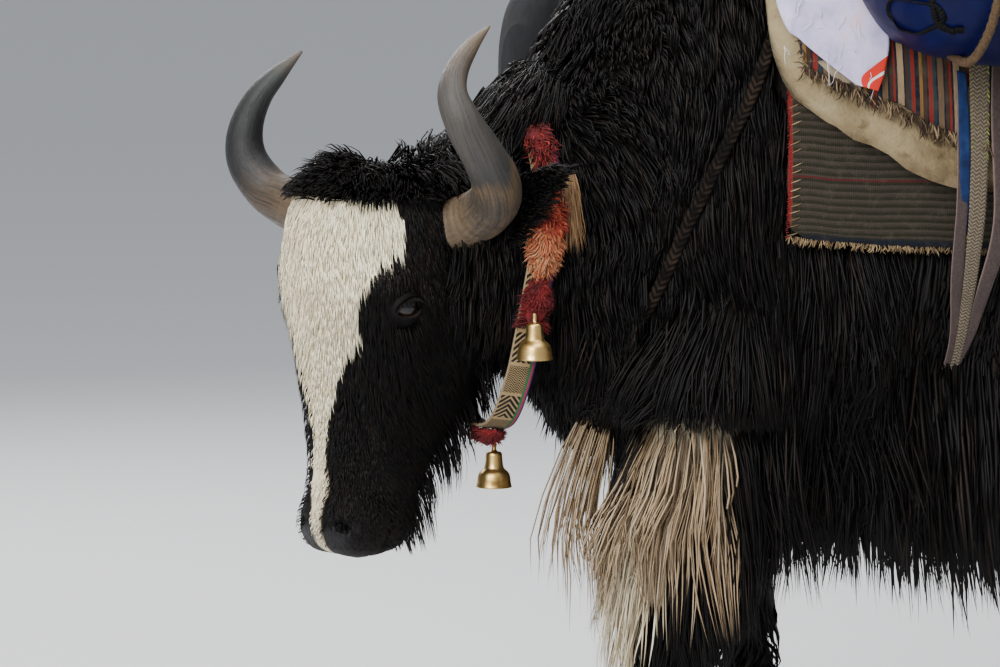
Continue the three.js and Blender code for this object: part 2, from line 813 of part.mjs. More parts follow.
// The collar's middle, outward and sideways directions at a share of its length.
function onCollar(share) {
  const at = collarRoute.getPointAt(share);
  const along = collarRoute.getTangentAt(share);
  const away = at.clone().sub(COLLAR_CENTRE).normalize();
  const hangs = step(COLLAR_CENTRE.z - at.z, 30, 90);
  const out = outward(trunk, at).lerp(away, hangs);
  out.addScaledVector(along, -out.dot(along)).normalize();
  return { at, out, across: along.cross(out).normalize() };
}

function collarBand(grown = 0) {
  const rings = evenly(0, 1, 30)
    .slice(0, -1)
    .map((share) => {
      const { at, out, across } = onCollar(share);
      const half = COLLAR_WIDTH / 2 + grown;
      const corner = (side, raise) =>
        at.clone().addScaledVector(across, side * half).addScaledVector(out, raise);
      return [
        corner(-1, -grown),
        corner(1, -grown),
        corner(1, COLLAR_THICKNESS + grown),
        corner(-1, COLLAR_THICKNESS + grown),
      ];
    });
  return hoop(rings);
}

// Repeatable random numbers from 0 to 1.
function randomFrom(seed) {
  let state = seed;
  return () => {
    state = (state * 1664525 + 1013904223) % 4294967296;
    return state / 4294967296;
  };
}

const WOOL_CLEAR = 3.5; // over the band, which bends inside the wool's straighter facets
const WOOL_SIDES = 5;

// A bunch of wool on the collar's outer face, between two shares of its length.
function woolOn({ from, to, across, out, steps }, seed, grown = 0) {
  const random = randomFrom(seed);
  const foot = COLLAR_THICKNESS + WOOL_CLEAR - grown;
  const rings = evenly(0, 1, steps).map((u) => {
    const place = onCollar((mix(from, to, u) + 1) % 1);
    const swell = Math.sqrt(Math.sin(Math.PI * mix(0.03, 0.97, u)));
    return Array.from({ length: WOOL_SIDES + 1 }, (_, k) => {
      const angle = rad((180 * k) / WOOL_SIDES);
      const bulge = swell * (0.85 + 0.3 * random());
      return place.at
        .clone()
        .addScaledVector(place.across, (across * bulge + grown) * Math.cos(angle))
        .addScaledVector(place.out, foot + (out * bulge + 2 * grown) * Math.sin(angle));
    });
  });
  return loft(rings);
}

const WOOL = {
  wool_crest: { from: -0.13, to: 0.13, across: 27, out: 17, steps: 9, colour: "#7c1d1a" },
  wool_left: { from: 0.15, to: 0.245, across: 24, out: 22, steps: 7, colour: "#a5432a" },
  wool_right: { from: 0.755, to: 0.85, across: 24, out: 22, steps: 7, colour: "#a5432a" },
  pom_left: { from: 0.25, to: 0.306, across: 20, out: 24, steps: 5, colour: "#6d1419" },
  pom_right: { from: 0.694, to: 0.75, across: 20, out: 24, steps: 5, colour: "#6d1419" },
  pom_throat: { from: 0.452, to: 0.51, across: 19, out: 22, steps: 5, colour: "#7a141c" },
};
const TASSEL_MIDDLE = 9; // y of the neck's middle there
const TASSEL_CLEAR = 5; // between a tassel and the neck's core
const TASSELS = { tassel_left: 1, tassel_right: -1 }; // side of the neck
const TASSEL = { root: [424, 112, 880], spread: [0, 9, -10], length: 92, width: 21, thickness: 12 };

// The coat's locks, in rows. A row runs from one place to another, each a station and an angle on its tube,
// with a length (or null, for down to the skirt's tips), a lie as forward, out and down, a lock's width and
// thickness, and how far it lies over the rows below. A row is mirrored to the right side, with its ends
// moved by right, unless it is single.
const LOCK_ROWS = {
  torso: [
    {
      from: [-676, -28], to: [-122, -28], right: [62, 0], count: 6, length: null,
      lie: [-0.03, 0.05, 1], width: 116, thickness: 22, steps: 4, over: 8,
    },
    {
      from: [64, -28], to: [64, -28], right: [-42, -42], count: 1, length: null,
      lie: [0.02, 0.05, 1], width: 82, thickness: 22, steps: 4, over: 8,
    },
    {
      from: [-620, -15], to: [-140, -15], right: [62, 0], count: 5, length: 245,
      lie: [-0.06, 0.15, 1], width: 98, thickness: 20, over: 38,
    },
    {
      from: [-1035, 10], to: [-720, 14], right: [0, 30], count: 3, length: 210,
      lie: [-0.6, 0.25, 0.8], width: 96, thickness: 22,
    },
    {
      from: [-950, 48], to: [-700, 52], right: [0, 0], count: 3, length: 190,
      lie: [-0.8, 0.2, 0.3], width: 90, thickness: 20,
    },
    {
      from: [264, 58], to: [318, 46], right: [0, 0], count: 2, length: 160,
      lie: [0.2, 0.3, 1], width: 76, thickness: 20,
    },
    {
      from: [280, 14], to: [290, 12], right: [0, 0], count: 1, length: 180,
      lie: [-0.1, 0.2, 1], width: 84, thickness: 20,
    },
    {
      from: [268, 90], to: [318, 90], single: true, count: 2, length: 110,
      lie: [0.9, 0.5, 0.2], width: 80, thickness: 22,
    },
    {
      from: [-930, 90], to: [-700, 90], single: true, count: 2, length: 130,
      lie: [-1, 0.25, 0.1], width: 84, thickness: 20,
    },
  ],
  neck: [
    {
      from: [380, 60], to: [420, 56], right: [0, 0], count: 2, length: 115,
      lie: [0.1, 0.15, 1], width: 56, thickness: 17,
    },
    {
      from: [392, 18], to: [412, 16], right: [0, 0], count: 1, length: 120,
      lie: [-0.15, 0.2, 1], width: 64, thickness: 18,
    },
    {
      from: [404, -44], to: [452, -44], right: [0, 0], count: 2, length: null,
      lie: [-0.1, 0.05, 1], width: 58, thickness: 18,
    },
    {
      from: [374, 90], to: [420, 90], single: true, count: 2, length: 90,
      lie: [0.8, 0.15, 0.4], width: 62, thickness: 18,
    },
    {
      from: [392, -90], to: [446, -90], single: true, count: 2, length: null,
      lie: [-0.1, 0.1, 1], width: 60, thickness: 18,
    },
  ],
  leg_front: [
    {
      from: [606, -44], to: [560, 118], single: true, count: 5, length: 270,
      lie: [0.1, 0.55, 1], width: 84, thickness: 22, steps: 4,
    },
    {
      from: [470, -40], to: [440, 100], single: true, count: 3, length: 170,
      lie: [0.05, 0.4, 1], width: 70, thickness: 18,
    },
  ],
  leg_hind: [
    {
      from: [640, -70], to: [640, 75], single: true, count: 4, length: 260,
      lie: [-0.1, 0.4, 1], width: 84, thickness: 22,
    },
    {
      from: [480, -95], to: [480, -20], single: true, count: 2, length: 150,
      lie: [-0.15, 0.3, 1], width: 60, thickness: 18,
    },
  ],
  tail: [
    {
      from: [2.7, -60], to: [2.7, 220], single: true, count: 5, length: 280,
      lie: [0, 0.35, 1], width: 64, thickness: 20,
    },
    {
      from: [4.3, -20], to: [4.3, 250], single: true, count: 4, length: 270,
      lie: [0, 0.3, 1], width: 58, thickness: 18,
    },
  ],
  head: [
    {
      from: [16, 60], to: [16, 120], single: true, count: 4, length: 150,
      lie: [0.9, 0.55, 0], width: 52, thickness: 14, steps: 4,
    },
    {
      from: [268, -90], to: [372, -90], single: true, count: 3, length: 120,
      lie: [-0.15, 0.2, 1], width: 44, thickness: 13,
    },
  ],
};
const LOCK_STEPS = 3; // lengths in a lock, unless its row says otherwise
const LOCK_SINK = 16; // depth of a root in the core
const LOCK_SWELL = [0.42, 0.58]; // share of its width that a lock has at the root, and gains in its middle
const LOCK_JITTER = 0.3; // of the distance to the next root
const LOCK_SPREAD = 0.2; // of a lie to the front or rear
const DROOP = 0.75; // share of its lie that a lock has lost at its tip
const DOWN = vec(0, 0, -1);

// A lock's path from its root: along the lie, then more and more downwards, clear of the core all the way.
function lockPath(root, lie, length, steps, clear) {
  const path = [root];
  for (let i = 1; i <= steps; i += 1) {
    const way = lie.clone().lerp(DOWN, (DROOP * i) / steps).normalize();
    path.push(clear(path[i - 1].clone().addScaledVector(way, length / steps), i / steps));
  }
  return path;
}

// A value raised or lowered at random by up to 8%.
const varied = (value, random) => value * (0.92 + 0.16 * random());

// The locks of one row on a tube whose core stands core(t) off its skin. Side is -1 for the right.
function locksOf(row, { tube, core, forward, side }, seed, grown) {
  const random = randomFrom(seed);
  const tips = through(SKIRT, 0);
  const moved = side < 0 && row.right ? row.right : [0, 0];
  const over = (row.over ?? 0) + row.thickness * 0.4;
  const shares = evenly(0, 1, Math.max(row.count - 1, 1)).slice(0, row.count);
  return shares.map((share) => {
    const u = clamp(share + ((random() - 0.5) * LOCK_JITTER) / row.count, 0, 1);
    const t = mix(row.from[0] + moved[0], row.to[0] + moved[1], u);
    const angle = mix(row.from[1], row.to[1], u);
    const root = onTube(tube, t, side < 0 ? 180 - angle : angle, core(t) - LOCK_SINK);
    const out = outward(tube, root);
    const length = varied(row.length ?? root.z - tips(root.x)[1], random);
    const lie = forward.clone().multiplyScalar(row.lie[0] + (random() - 0.5) * LOCK_SPREAD);
    lie.addScaledVector(DOWN, row.lie[2]).addScaledVector(out, row.lie[1]).normalize();
    const clear = (point, along) => outOf(tube, point, core(t) + over + row.thickness * 0.2 * along);
    const path = lockPath(root, lie, length + LOCK_SINK, row.steps ?? LOCK_STEPS, clear);
    return lockAlong(path, path.map(() => out), varied(row.width, random), row.thickness, grown);
  });
}

// All the locks of a node.
function coatOf(rows, body, seed, grown = 0) {
  return rows.flatMap((row, k) => {
    const sides = row.single ? [body.side ?? 1] : [1, -1];
    return sides.flatMap((side) => locksOf(row, { ...body, side }, seed + 10 * k + side, grown));
  });
}

// A tapered lock of three sides along a path, its root square and its tip a point.
function lockAlong(path, outward, width, thickness, grown = 0) {
  const last = path.length - 1;
  const points = [];
  for (let i = 0; i < last; i += 1) {
    const along = path[i + 1].clone().sub(path[Math.max(i - 1, 0)]).normalize();
    const out = outward[i].clone().addScaledVector(along, -outward[i].dot(along)).normalize();
    const across = along.clone().cross(out);
    const swell = LOCK_SWELL[0] + LOCK_SWELL[1] * Math.sin((Math.PI * (i + 0.4)) / (last + 0.4));
    const half = (width / 2) * swell + grown;
    const up = thickness * 0.6 * swell + grown;
    const down = thickness * 0.4 * swell + grown;
    points.push(path[i].clone().addScaledVector(across, -half).addScaledVector(out, -down));
    points.push(path[i].clone().addScaledVector(across, half).addScaledVector(out, -down));
    points.push(path[i].clone().addScaledVector(out, up));
  }
  const tip = points.length;
  points.push(path[last].clone());
  const faces = [[0, 1, 2]];
  for (let i = 0; i < last - 1; i += 1) {
    for (let j = 0; j < 3; j += 1) {
      const a = i * 3 + j;
      const b = i * 3 + ((j + 1) % 3);
      faces.push([a, b + 3, b], [a, a + 3, b + 3]);
    }
  }
  for (let j = 0; j < 3; j += 1) {
    faces.push([(last - 1) * 3 + j, tip, (last - 1) * 3 + ((j + 1) % 3)]);
  }
  return solid(points, faces);
}

// A tassel: three locks that hang together from the rear edge of the collar.
function tassel(side, grown = 0) {
  const locks = [-1, 0, 1].map((k) => {
    const root = vec(...TASSEL.root).addScaledVector(vec(...TASSEL.spread), k);
    const path = evenly(0, 1, 3).map((u) => {
      const hanging = vec(root.x - 6 * Math.sin(2.6 * u) + 4 * k * u, root.y, root.z - TASSEL.length * u);
      const clear = outOf(trunk, hanging, CORE + TASSEL.thickness / 2 + TASSEL_CLEAR);
      return clear.setY(TASSEL_MIDDLE + side * (clear.y - TASSEL_MIDDLE));
    });
    return lockAlong(path, path.map(() => vec(-0.3, side, 0.2)), TASSEL.width, TASSEL.thickness, grown);
  });
  return union(locks);
}

const WORLD_AXES = [FORWARD, LEFT, UP];

// The opening between the lids, and the nostrils
const SLIT = { ahead: 24, radii: [30, 19, 9.5] };
const NOSTRIL = { side: 35, at: [-6, 424], radii: [9, 14, 6.5] };

// The mouth's line: a thin slab across the muzzle, between the lips
const MOUTH = { size: [160, 3.5, 84], lean: 20, at: [0, -66, 440] };

function hornSolid(rows, grown) {
  const route = rows.map(([side, front, down, r]) => [...inHead(side, front, down), r, r, r, 2, 0]);
  const tube = bentTube(route, FORWARD);
  return tubeSolid(tube, evenly(tube.from, tube.to, 14), 10, () => grown);
}

// An ear: a cupped leaf from its root to its tip, open to the front.
function earSolid({ root, tip }, grown = 0) {
  const from = inHead(...root);
  const axis = inHead(...tip).sub(from);
  const open = HEAD_FRONT.clone().addScaledVector(HEAD_DOWN, 0.35);
  open.addScaledVector(axis, -open.dot(axis) / axis.lengthSq()).normalize();
  const across = axis.clone().cross(open).normalize();
  return sheet(6, 4, (i, j, side) => {
    const u = mix(-grown / 100, 1 + grown / 100, i / 6);
    const v = j / 2 - 1;
    const swell = Math.sqrt(Math.sin(Math.PI * mix(0.13, 0.995, clamp(u, 0, 1))));
    const width = (EAR_WIDTH / 2) * swell * (1 - 0.35 * u);
    const half = width + grown;
    const cup = EAR_CUP * (1.25 - u) * ((v * half) / width) ** 2;
    const depth = side === 1 ? grown : -grown - EAR_THICKNESS * (1 - 0.6 * v * v);
    return from
      .clone()
      .addScaledVector(axis, u)
      .addScaledVector(across, half * v)
      .addScaledVector(open, cup + depth);
  });
}

// A cloven hoof under a leg that ends at x, y. Rows: height, half width, toe, heel.
const HOOF = [
  [HOOF_HEIGHT - GAP, 40, 44, 42],
  [34, 46, 56, 46],
  [0, HOOF_WIDTH / 2, 70, HOOF_LENGTH - 70],
];

function hoof(x, y) {
  const rings = HOOF.map(([z, width, toe, heel]) =>
    Array.from({ length: 14 }, (_, k) => {
      const angle = (2 * Math.PI * k) / 14;
      const reach = Math.cos(angle) > 0 ? toe : heel;
      return vec(x + reach * power(Math.cos(angle), 0.85), y + width * power(Math.sin(angle), 0.85), z);
    }),
  );
  const cleft = new THREE.BoxGeometry(110, CLEFT, 96);
  cleft.translate(x + 40, y, 0);
  return less(loft(rings), fromGeometry(cleft));
}

// The trunk's core off the skin: even under the cloths, and thinner where the coat is short.
const coreLift = (grown) => (x) => Math.min(CORE, trunk.section(x).coat * 0.5) + grown;

// Everything ahead of the neck's leaning cut, moved forward by shift.
function ahead(shift) {
  const size = 3000;
  const box = new THREE.BoxGeometry(size, size, size);
  box.translate(size / 2 + shift, 0, 0);
  box.rotateY(rad(NECK_LEAN));
  box.translate(NECK_FROM, 0, NECK_CUT_HEIGHT);
  return fromGeometry(box);
}

const model = new THREE.Group();

// Adds a node, keeping its largest closed body.
function node(name, piece, colour, roughness = 0.9, metalness = 0) {
  const bodies = piece.decompose().sort((a, b) => b.volume() - a.volume());
  const mesh = bodies[0].getMesh();
  const geometry = new THREE.BufferGeometry();
  geometry.setAttribute("position", new THREE.BufferAttribute(new Float32Array(mesh.vertProperties), 3));
  geometry.setIndex(new THREE.BufferAttribute(new Uint32Array(mesh.triVerts), 1));
  geometry.computeVertexNormals();
  const material = new THREE.MeshStandardMaterial({ color: colour, roughness, metalness });
  const shown = new THREE.Mesh(geometry, material);
  shown.name = name;
  model.add(shown);
  return bodies[0];
}

// What the yak wears
const cutters = []; // grown shapes that the body and its coat keep clear of
for (const [name, cut] of Object.entries(CLOTHS)) {
  node(name, cloth(cut), cut.colour);
  cutters.push(cloth(cut, GAP));
}
for (const [name, cut] of Object.entries(GIRTHS)) {
  node(name, girth(cut), cut.colour);
  cutters.push(girth(cut, 2 * GAP));
}
node("breast_strap", breastStrap(), "#6f6a4c");
cutters.push(breastStrap(GAP));
const BAG_SIDES = 14;
const bagSolid = (name, grown) => {
  const stations = BAGS[name].rows.map((row) => row[0]);
  return tubeSolid(bags[name], stations, BAG_SIDES, () => grown);
};
node("cloth_scrap", less(scrap(), bagSolid("load_bag_left", GAP)), "#d9d3e2");
const UNDER_BAGS = 8; // the cloths' own curve bulges past this surface's straight facets
const underBags = tubeSolid(trunk, TRUNK_X, TRUNK_SIDES, () => ON_RUG + STRAP + UNDER_BAGS);
for (const [name, bag] of Object.entries(BAGS)) {
  node(name, less(bagSolid(name, 0), underBags), bag.colour, bag.roughness);
}
for (const [name, run] of Object.entries(ROPES)) {
  node(name, rope(run, ROPE), "#6b4d33");
}

// The collar and what hangs on it
const WOOL_SEED = 11;
const BELL_SPACE = { radius: 24, drop: 45 }; // kept free round a bell
const aroundBell = (at, top, { radius, drop }) =>
  cylinder(vec(at.x, at.y, at.z - drop), vec(at.x, at.y, at.z + top), radius, 10);
node("collar_band", collarBand(), "#5b4a3a");
cutters.push(collarBand(GAP));
for (const [place, crown] of Object.entries(BELL_CROWNS)) {
  const at = vec(...crown);
  const ballAt = vec(at.x, at.y, at.z - CLAPPER.drop);
  node(`bell_${place}`, turnedAt(at, BELL, BELL_SIDES), "#b08a3e", 0.35, 0.9);
  const rod = cylinder(ballAt, vec(at.x, at.y, at.z - CLAPPER.top), CLAPPER.rod, 6);
  const ball = ellipsoid(ballAt, WORLD_AXES, Array(3).fill(CLAPPER.ball), 4, 6);
  node(`clapper_${place}`, union(rod, ball), "#6b5a3c", 0.5, 0.8);
  cutters.push(aroundBell(at, SHANK, BELL_SPACE));
}
Object.entries(WOOL).forEach(([name, bunch], k) => {
  const shanks = Object.values(BELL_CROWNS).map((crown) => {
    const at = vec(...crown);
    const shank = cylinder(at, vec(at.x, at.y, at.z + SHANK + GAP), SHANK_RADIUS + GAP, 8);
    return shank.add(aroundBell(at, GAP, BELL_SPACE));
  });
  node(name, less(woolOn(bunch, WOOL_SEED + k), shanks), bunch.colour);
  cutters.push(woolOn(bunch, WOOL_SEED + k, 4 * GAP));
});
for (const [name, side] of Object.entries(TASSELS)) {
  node(name, tassel(side), "#cfae7e");
  cutters.push(tassel(side, GAP));
}

// Head
const headStations = evenly(head.from, head.to, 20);
const HEAD_SIDES = 18;
const headGrown = tubeSolid(head, headStations, HEAD_SIDES, () => HEAD_FUR + GAP);
const headInside = tubeSolid(head, headStations, HEAD_SIDES, () => -1);
const eyeball = (mirror, radius) => {
  const [side, front, down] = EYE_AT;
  return ellipsoid(inHead(mirror * side, front, down), HEAD_AXES, Array(3).fill(radius), 6, 10);
};
let skull = tubeSolid(head, headStations, HEAD_SIDES, () => HEAD_FUR);
for (const mirror of [1, -1]) {
  const [side, front, down] = EYE_AT;
  const slit = inHead(mirror * (side + SLIT.ahead), front, down + 1);
  skull = skull.add(eyeball(mirror, EYE_RADIUS + LID_THICKNESS));
  skull = less(
    skull,
    eyeball(mirror, EYE_RADIUS + GAP),
    ellipsoid(slit, HEAD_AXES, SLIT.radii, 5, 10),
    ellipsoid(inHead(mirror * NOSTRIL.side, ...NOSTRIL.at), HEAD_AXES, NOSTRIL.radii, 5, 8),
  );
}
const mouthTool = new THREE.BoxGeometry(...MOUTH.size);
mouthTool.rotateX(rad(MOUTH.lean));
mouthTool.applyMatrix4(new THREE.Matrix4().makeBasis(...HEAD_AXES).setPosition(inHead(...MOUTH.at)));
skull = less(skull, less(fromGeometry(mouthTool), headInside));
const onHead = { tube: head, core: () => HEAD_FUR, forward: HEAD_FRONT };
const hornsGrown = Object.values(HORNS).map((rows) => hornSolid(rows, GAP));
const headCoat = less(union(coatOf(LOCK_ROWS.head, onHead, 700)), hornsGrown);
node("head", skull.add(headCoat), "#17130f");
for (const [name, mirror] of [["eye_left", 1], ["eye_right", -1]]) {
  node(name, eyeball(mirror, EYE_RADIUS), "#0d0b0c", 0.1);
}
for (const [name, rows] of Object.entries(HORNS)) {
  node(name, less(hornSolid(rows, 0), headGrown), "#8d8372", 0.55);
  cutters.push(hornSolid(rows, 2 * GAP));
}
for (const [name, ear] of Object.entries(EARS)) {
  node(name, less(earSolid(ear), headGrown, cutters.slice(-2)), "#14110f");
}
cutters.push(...Object.values(EARS).map((ear) => earSolid(ear, 4 * GAP)));

// Trunk
const trunkCore = (lift) => tubeSolid(trunk, TRUNK_X, TRUNK_SIDES, coreLift(lift));

const trunkGrown = trunkCore(GAP);
const onTrunk = { tube: trunk, core: coreLift(0), forward: FORWARD };
const limbCore = (tube) => (t) => tube.section(t).coat * CORE_SHARE;
const torsoCore = less(trunkCore(0), ahead(-GAP));
const neckCore = trunkCore(0).intersect(ahead(0));
const torsoCoat = less(union(coatOf(LOCK_ROWS.torso, onTrunk, 100)), trunkGrown.intersect(ahead(-GAP)));
const neckCoat = less(union(coatOf(LOCK_ROWS.neck, onTrunk, 300)), less(trunkGrown, ahead(0)));
node("torso", less(union(torsoCore, torsoCoat), cutters), "#1a1613");
node("neck", less(union(neckCore, neckCoat), headGrown, cutters), "#16120f");
Object.entries(legs).forEach(([name, tube], k) => {
  const [x, y] = LEGS[name].at(-1);
  const limb = tubeSolid(tube, evenly(tube.from, tube.to, 12), 12, limbCore(tube));
  const claws = DEWCLAW.across.map((side) => {
    const at = vec(x - DEWCLAW.behind, y + side, DEWCLAW.height);
    return ellipsoid(at, WORLD_AXES, DEWCLAW.radii, 2, 5);
  });
  const rows = LOCK_ROWS[name.includes("front") ? "leg_front" : "leg_hind"];
  const body = { tube, core: limbCore(tube), forward: FORWARD, side: y > 0 ? 1 : -1 };
  node(name, less(union(limb, claws, coatOf(rows, body, 500 + 50 * k)), trunkGrown, cutters), "#17130f");
  node(name.replace("leg", "hoof"), hoof(x, y), "#2b2622", 0.6);
});
const tailBody = { tube: tail, core: limbCore(tail), forward: FORWARD };
const tailCore = tubeSolid(tail, evenly(tail.from, tail.to, 10), 8, limbCore(tail));
node("tail", less(union(tailCore, coatOf(LOCK_ROWS.tail, tailBody, 800)), trunkGrown), "#15110f");

// Stand the model on the origin, with the middle of its box above it.
for (const shown of model.children) {
  shown.geometry.translate(-MIDDLE[0], -MIDDLE[1], 0);
}

export default model;
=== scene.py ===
# %% [markdown]
# # A load yak in its long black coat
#
# The yak stands with its head low and turned a little to its left. It wears a woven collar with wool,
# tassels and three brass bells, and it carries cloths, straps and two bags. The CAD model gives every
# place and size. Here each piece gets its fine shape and its finish: skin, hair, horn, wool, cloth, brass.

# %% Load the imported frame
import json
import bpy
import numpy as np
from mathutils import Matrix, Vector

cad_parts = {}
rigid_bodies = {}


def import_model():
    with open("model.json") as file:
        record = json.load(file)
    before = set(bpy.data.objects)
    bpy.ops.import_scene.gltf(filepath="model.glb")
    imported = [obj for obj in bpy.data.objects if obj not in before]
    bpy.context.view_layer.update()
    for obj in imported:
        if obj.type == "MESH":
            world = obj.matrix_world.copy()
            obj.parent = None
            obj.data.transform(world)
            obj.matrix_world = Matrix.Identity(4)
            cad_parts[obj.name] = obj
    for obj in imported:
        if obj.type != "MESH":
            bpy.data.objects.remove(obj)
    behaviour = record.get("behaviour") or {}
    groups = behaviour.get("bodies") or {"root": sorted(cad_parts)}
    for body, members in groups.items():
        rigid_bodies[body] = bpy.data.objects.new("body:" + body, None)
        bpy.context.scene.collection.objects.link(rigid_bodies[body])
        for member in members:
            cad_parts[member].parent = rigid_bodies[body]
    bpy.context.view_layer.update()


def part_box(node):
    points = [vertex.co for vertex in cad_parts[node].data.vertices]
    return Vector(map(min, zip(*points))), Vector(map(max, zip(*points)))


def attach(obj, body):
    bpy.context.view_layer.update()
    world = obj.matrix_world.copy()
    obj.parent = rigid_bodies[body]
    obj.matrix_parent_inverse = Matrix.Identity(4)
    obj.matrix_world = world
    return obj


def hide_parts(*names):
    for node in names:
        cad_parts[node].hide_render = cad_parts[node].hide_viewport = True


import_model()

# %% [markdown]
# ## The camera and the light
# A long lens from seven metres off keeps the sides of the body parallel, as in a picture taken across
# rough ground. The camera comes first, so that everything made later can be judged through it.

# %% Camera
LOOK_AT = Vector((0.685, 0.028, 0.678))
AZIMUTH, ELEVATION = np.radians(160.0), np.radians(5.5)
away = Vector((np.sin(AZIMUTH) * np.cos(ELEVATION), -np.cos(AZIMUTH) * np.cos(ELEVATION), np.sin(ELEVATION)))
camera = bpy.data.objects.new("camera", bpy.data.cameras.new("camera"))
camera.data.lens = 210.0
camera.data.sensor_width = 36.0
camera.data.clip_end = 200.0
camera.location = LOOK_AT + away * 7.0
camera.rotation_euler = (-away).to_track_quat("-Z", "Y").to_euler()
bpy.context.scene.collection.objects.link(camera)
bpy.context.scene.camera = camera

# %% Soft light from a pale sky and three wide lamps
world = bpy.data.worlds.new("pale sky")
world.use_nodes = True
world.node_tree.nodes["Background"].inputs["Color"].default_value = (0.80, 0.84, 0.90, 1)
world.node_tree.nodes["Background"].inputs["Strength"].default_value = 0.68
bpy.context.scene.world = world


def lamp(name, place, power, size):
    """A square lamp of that size in metres, aimed at the camera's target."""
    light = bpy.data.lights.new(name, "AREA")
    light.energy, light.size = power, size
    shown = bpy.data.objects.new(name, light)
    shown.location = place
    shown.rotation_euler = (LOOK_AT - Vector(place)).to_track_quat("-Z", "Y").to_euler()
    bpy.context.scene.collection.objects.link(shown)


lamp("sky_lamp", (0.4, 1.0, 4.6), 260, 3.6)
lamp("near_lamp", (3.6, 3.0, 2.8), 330, 2.4)
lamp("far_lamp", (0.8, -4.0, 3.2), 170, 2.8)

# %% [markdown]
# ## Smooth tables and tubes
# The CAD source describes the yak as tubes: a table of sections along the trunk, the head, each leg and
# the tail. The same tables are used here, in millimetres, so that skin, hair and straps land exactly on
# the solids. A section is a rounded box (a superellipse) with its own reach to the front and to the back.

# %% Curves through tables
MIDDLE = np.array([-205.0, -28.0, 0.0])  # the source's place for the model's origin


def through(rows, column=None):
    """A smooth curve through the rows of a table, asked for by the value in one column or by row number.
    Between two rows it is a cubic whose slope at a row is the slope of the line between its neighbours."""
    rows = np.array(rows, float)
    key = np.arange(len(rows), dtype=float) if column is None else rows[:, column]
    if key[-1] < key[0]:
        rows, key = rows[::-1], key[::-1]
    before = np.maximum(np.arange(len(rows)) - 1, 0)
    after = np.minimum(np.arange(len(rows)) + 1, len(rows) - 1)
    slope = (rows[after] - rows[before]) / (key[after] - key[before])[:, None]

    def at(asked):
        asked = np.asarray(asked, float)
        i = np.clip(np.searchsorted(key, asked) - 1, 0, len(rows) - 2)
        span = (key[i + 1] - key[i])[..., None]
        u = np.clip((asked - key[i])[..., None] / span, 0, 1)
        ends = u * (1 - u) * span * ((1 - u) * slope[i] - u * slope[i + 1])
        return rows[i] + (rows[i + 1] - rows[i]) * u * u * (3 - 2 * u) + ends

    return at


def power(value, exponent):
    """The size of a value raised to an exponent, with the value's sign kept."""
    return np.sign(value) * np.abs(value) ** exponent


def step(value, start, end):
    """0 before start, 1 after end, and a smooth rise between: 3u^2 - 2u^3."""
    u = np.clip((value - start) / (end - start), 0, 1)
    return u * u * (3 - 2 * u)


def unit(vectors):
    """Vectors scaled to length 1."""
    return vectors / np.maximum(np.linalg.norm(vectors, axis=-1, keepdims=True), 1e-9)


def dot(a, b):
    """The dot product of each pair of vectors, kept as a last axis of 1."""
    return (a * b).sum(-1, keepdims=True)


def run_of(points, axis=0):
    """The running length from point to point along an axis, starting at 0."""
    gaps = np.linalg.norm(np.diff(points, axis=axis), axis=-1)
    return np.concatenate([np.zeros_like(np.take(gaps, [0], axis)), np.cumsum(gaps, axis=axis)], axis)


# %% Tables of the body
# x, side shift, middle height, half width, rise above, fall below, squareness, coat depth
TRUNK = [
    [-1088, 0, 905, 48, 50, 55, 2.0, 30], [-1062, 0, 895, 128, 125, 135, 2.1, 34],
    [-985, 0, 885, 200, 208, 190, 2.2, 38], [-850, 0, 872, 248, 258, 232, 2.3, 42],
    [-700, 0, 852, 284, 272, 264, 2.3, 46], [-500, 0, 832, 312, 284, 300, 2.3, 50],
    [-300, 0, 832, 310, 300, 310, 2.3, 52], [-100, 0, 860, 284, 330, 313, 2.3, 55],
    [50, 0, 890, 262, 368, 328, 2.2, 60], [170, 0, 900, 245, 375, 325, 2.2, 64],
    [280, 0, 880, 214, 325, 300, 2.2, 62], [340, 2, 850, 180, 272, 275, 2.2, 58],
    [385, 4, 815, 155, 232, 236, 2.2, 52], [420, 7, 795, 135, 198, 172, 2.1, 46],
    [460, 11, 785, 115, 156, 118, 2.1, 38], [510, 15, 785, 100, 128, 105, 2.1, 32],
    [570, 21, 785, 88, 108, 104, 2.1, 28], [620, 26, 785, 76, 92, 88, 2.0, 24],
    [655, 30, 785, 40, 50, 46, 2.0, 20],
]
# x, height of the tips of the long hair
SKIRT = [
    [-1088, 800], [-1040, 700], [-950, 560], [-850, 450], [-650, 370], [-300, 335], [0, 350],
    [150, 400], [250, 470], [340, 540], [400, 590], [440, 625], [500, 665], [655, 730],
]
# down, half width, forehead line, throat line, line of greatest width, squareness
HEAD = [
    [4, 34, -62, -112, -88, 2.0], [18, 76, -32, -150, -92, 2.1], [50, 99, -8, -190, -95, 2.2],
    [90, 104, 3, -212, -92, 2.2], [130, 105, 6, -226, -86, 2.25], [165, 101, 4, -236, -84, 2.25],
    [205, 90, 0, -240, -92, 2.2], [250, 79, -5, -230, -100, 2.2], [295, 66, -9, -198, -92, 2.2],
    [345, 56, -12, -162, -80, 2.2], [388, 55, -11, -138, -70, 2.4], [420, 58, -5, -127, -62, 2.5],
    [444, 57, -9, -119, -64, 2.4], [459, 45, -24, -105, -66, 2.2], [466, 20, -46, -86, -66, 2.0],
]
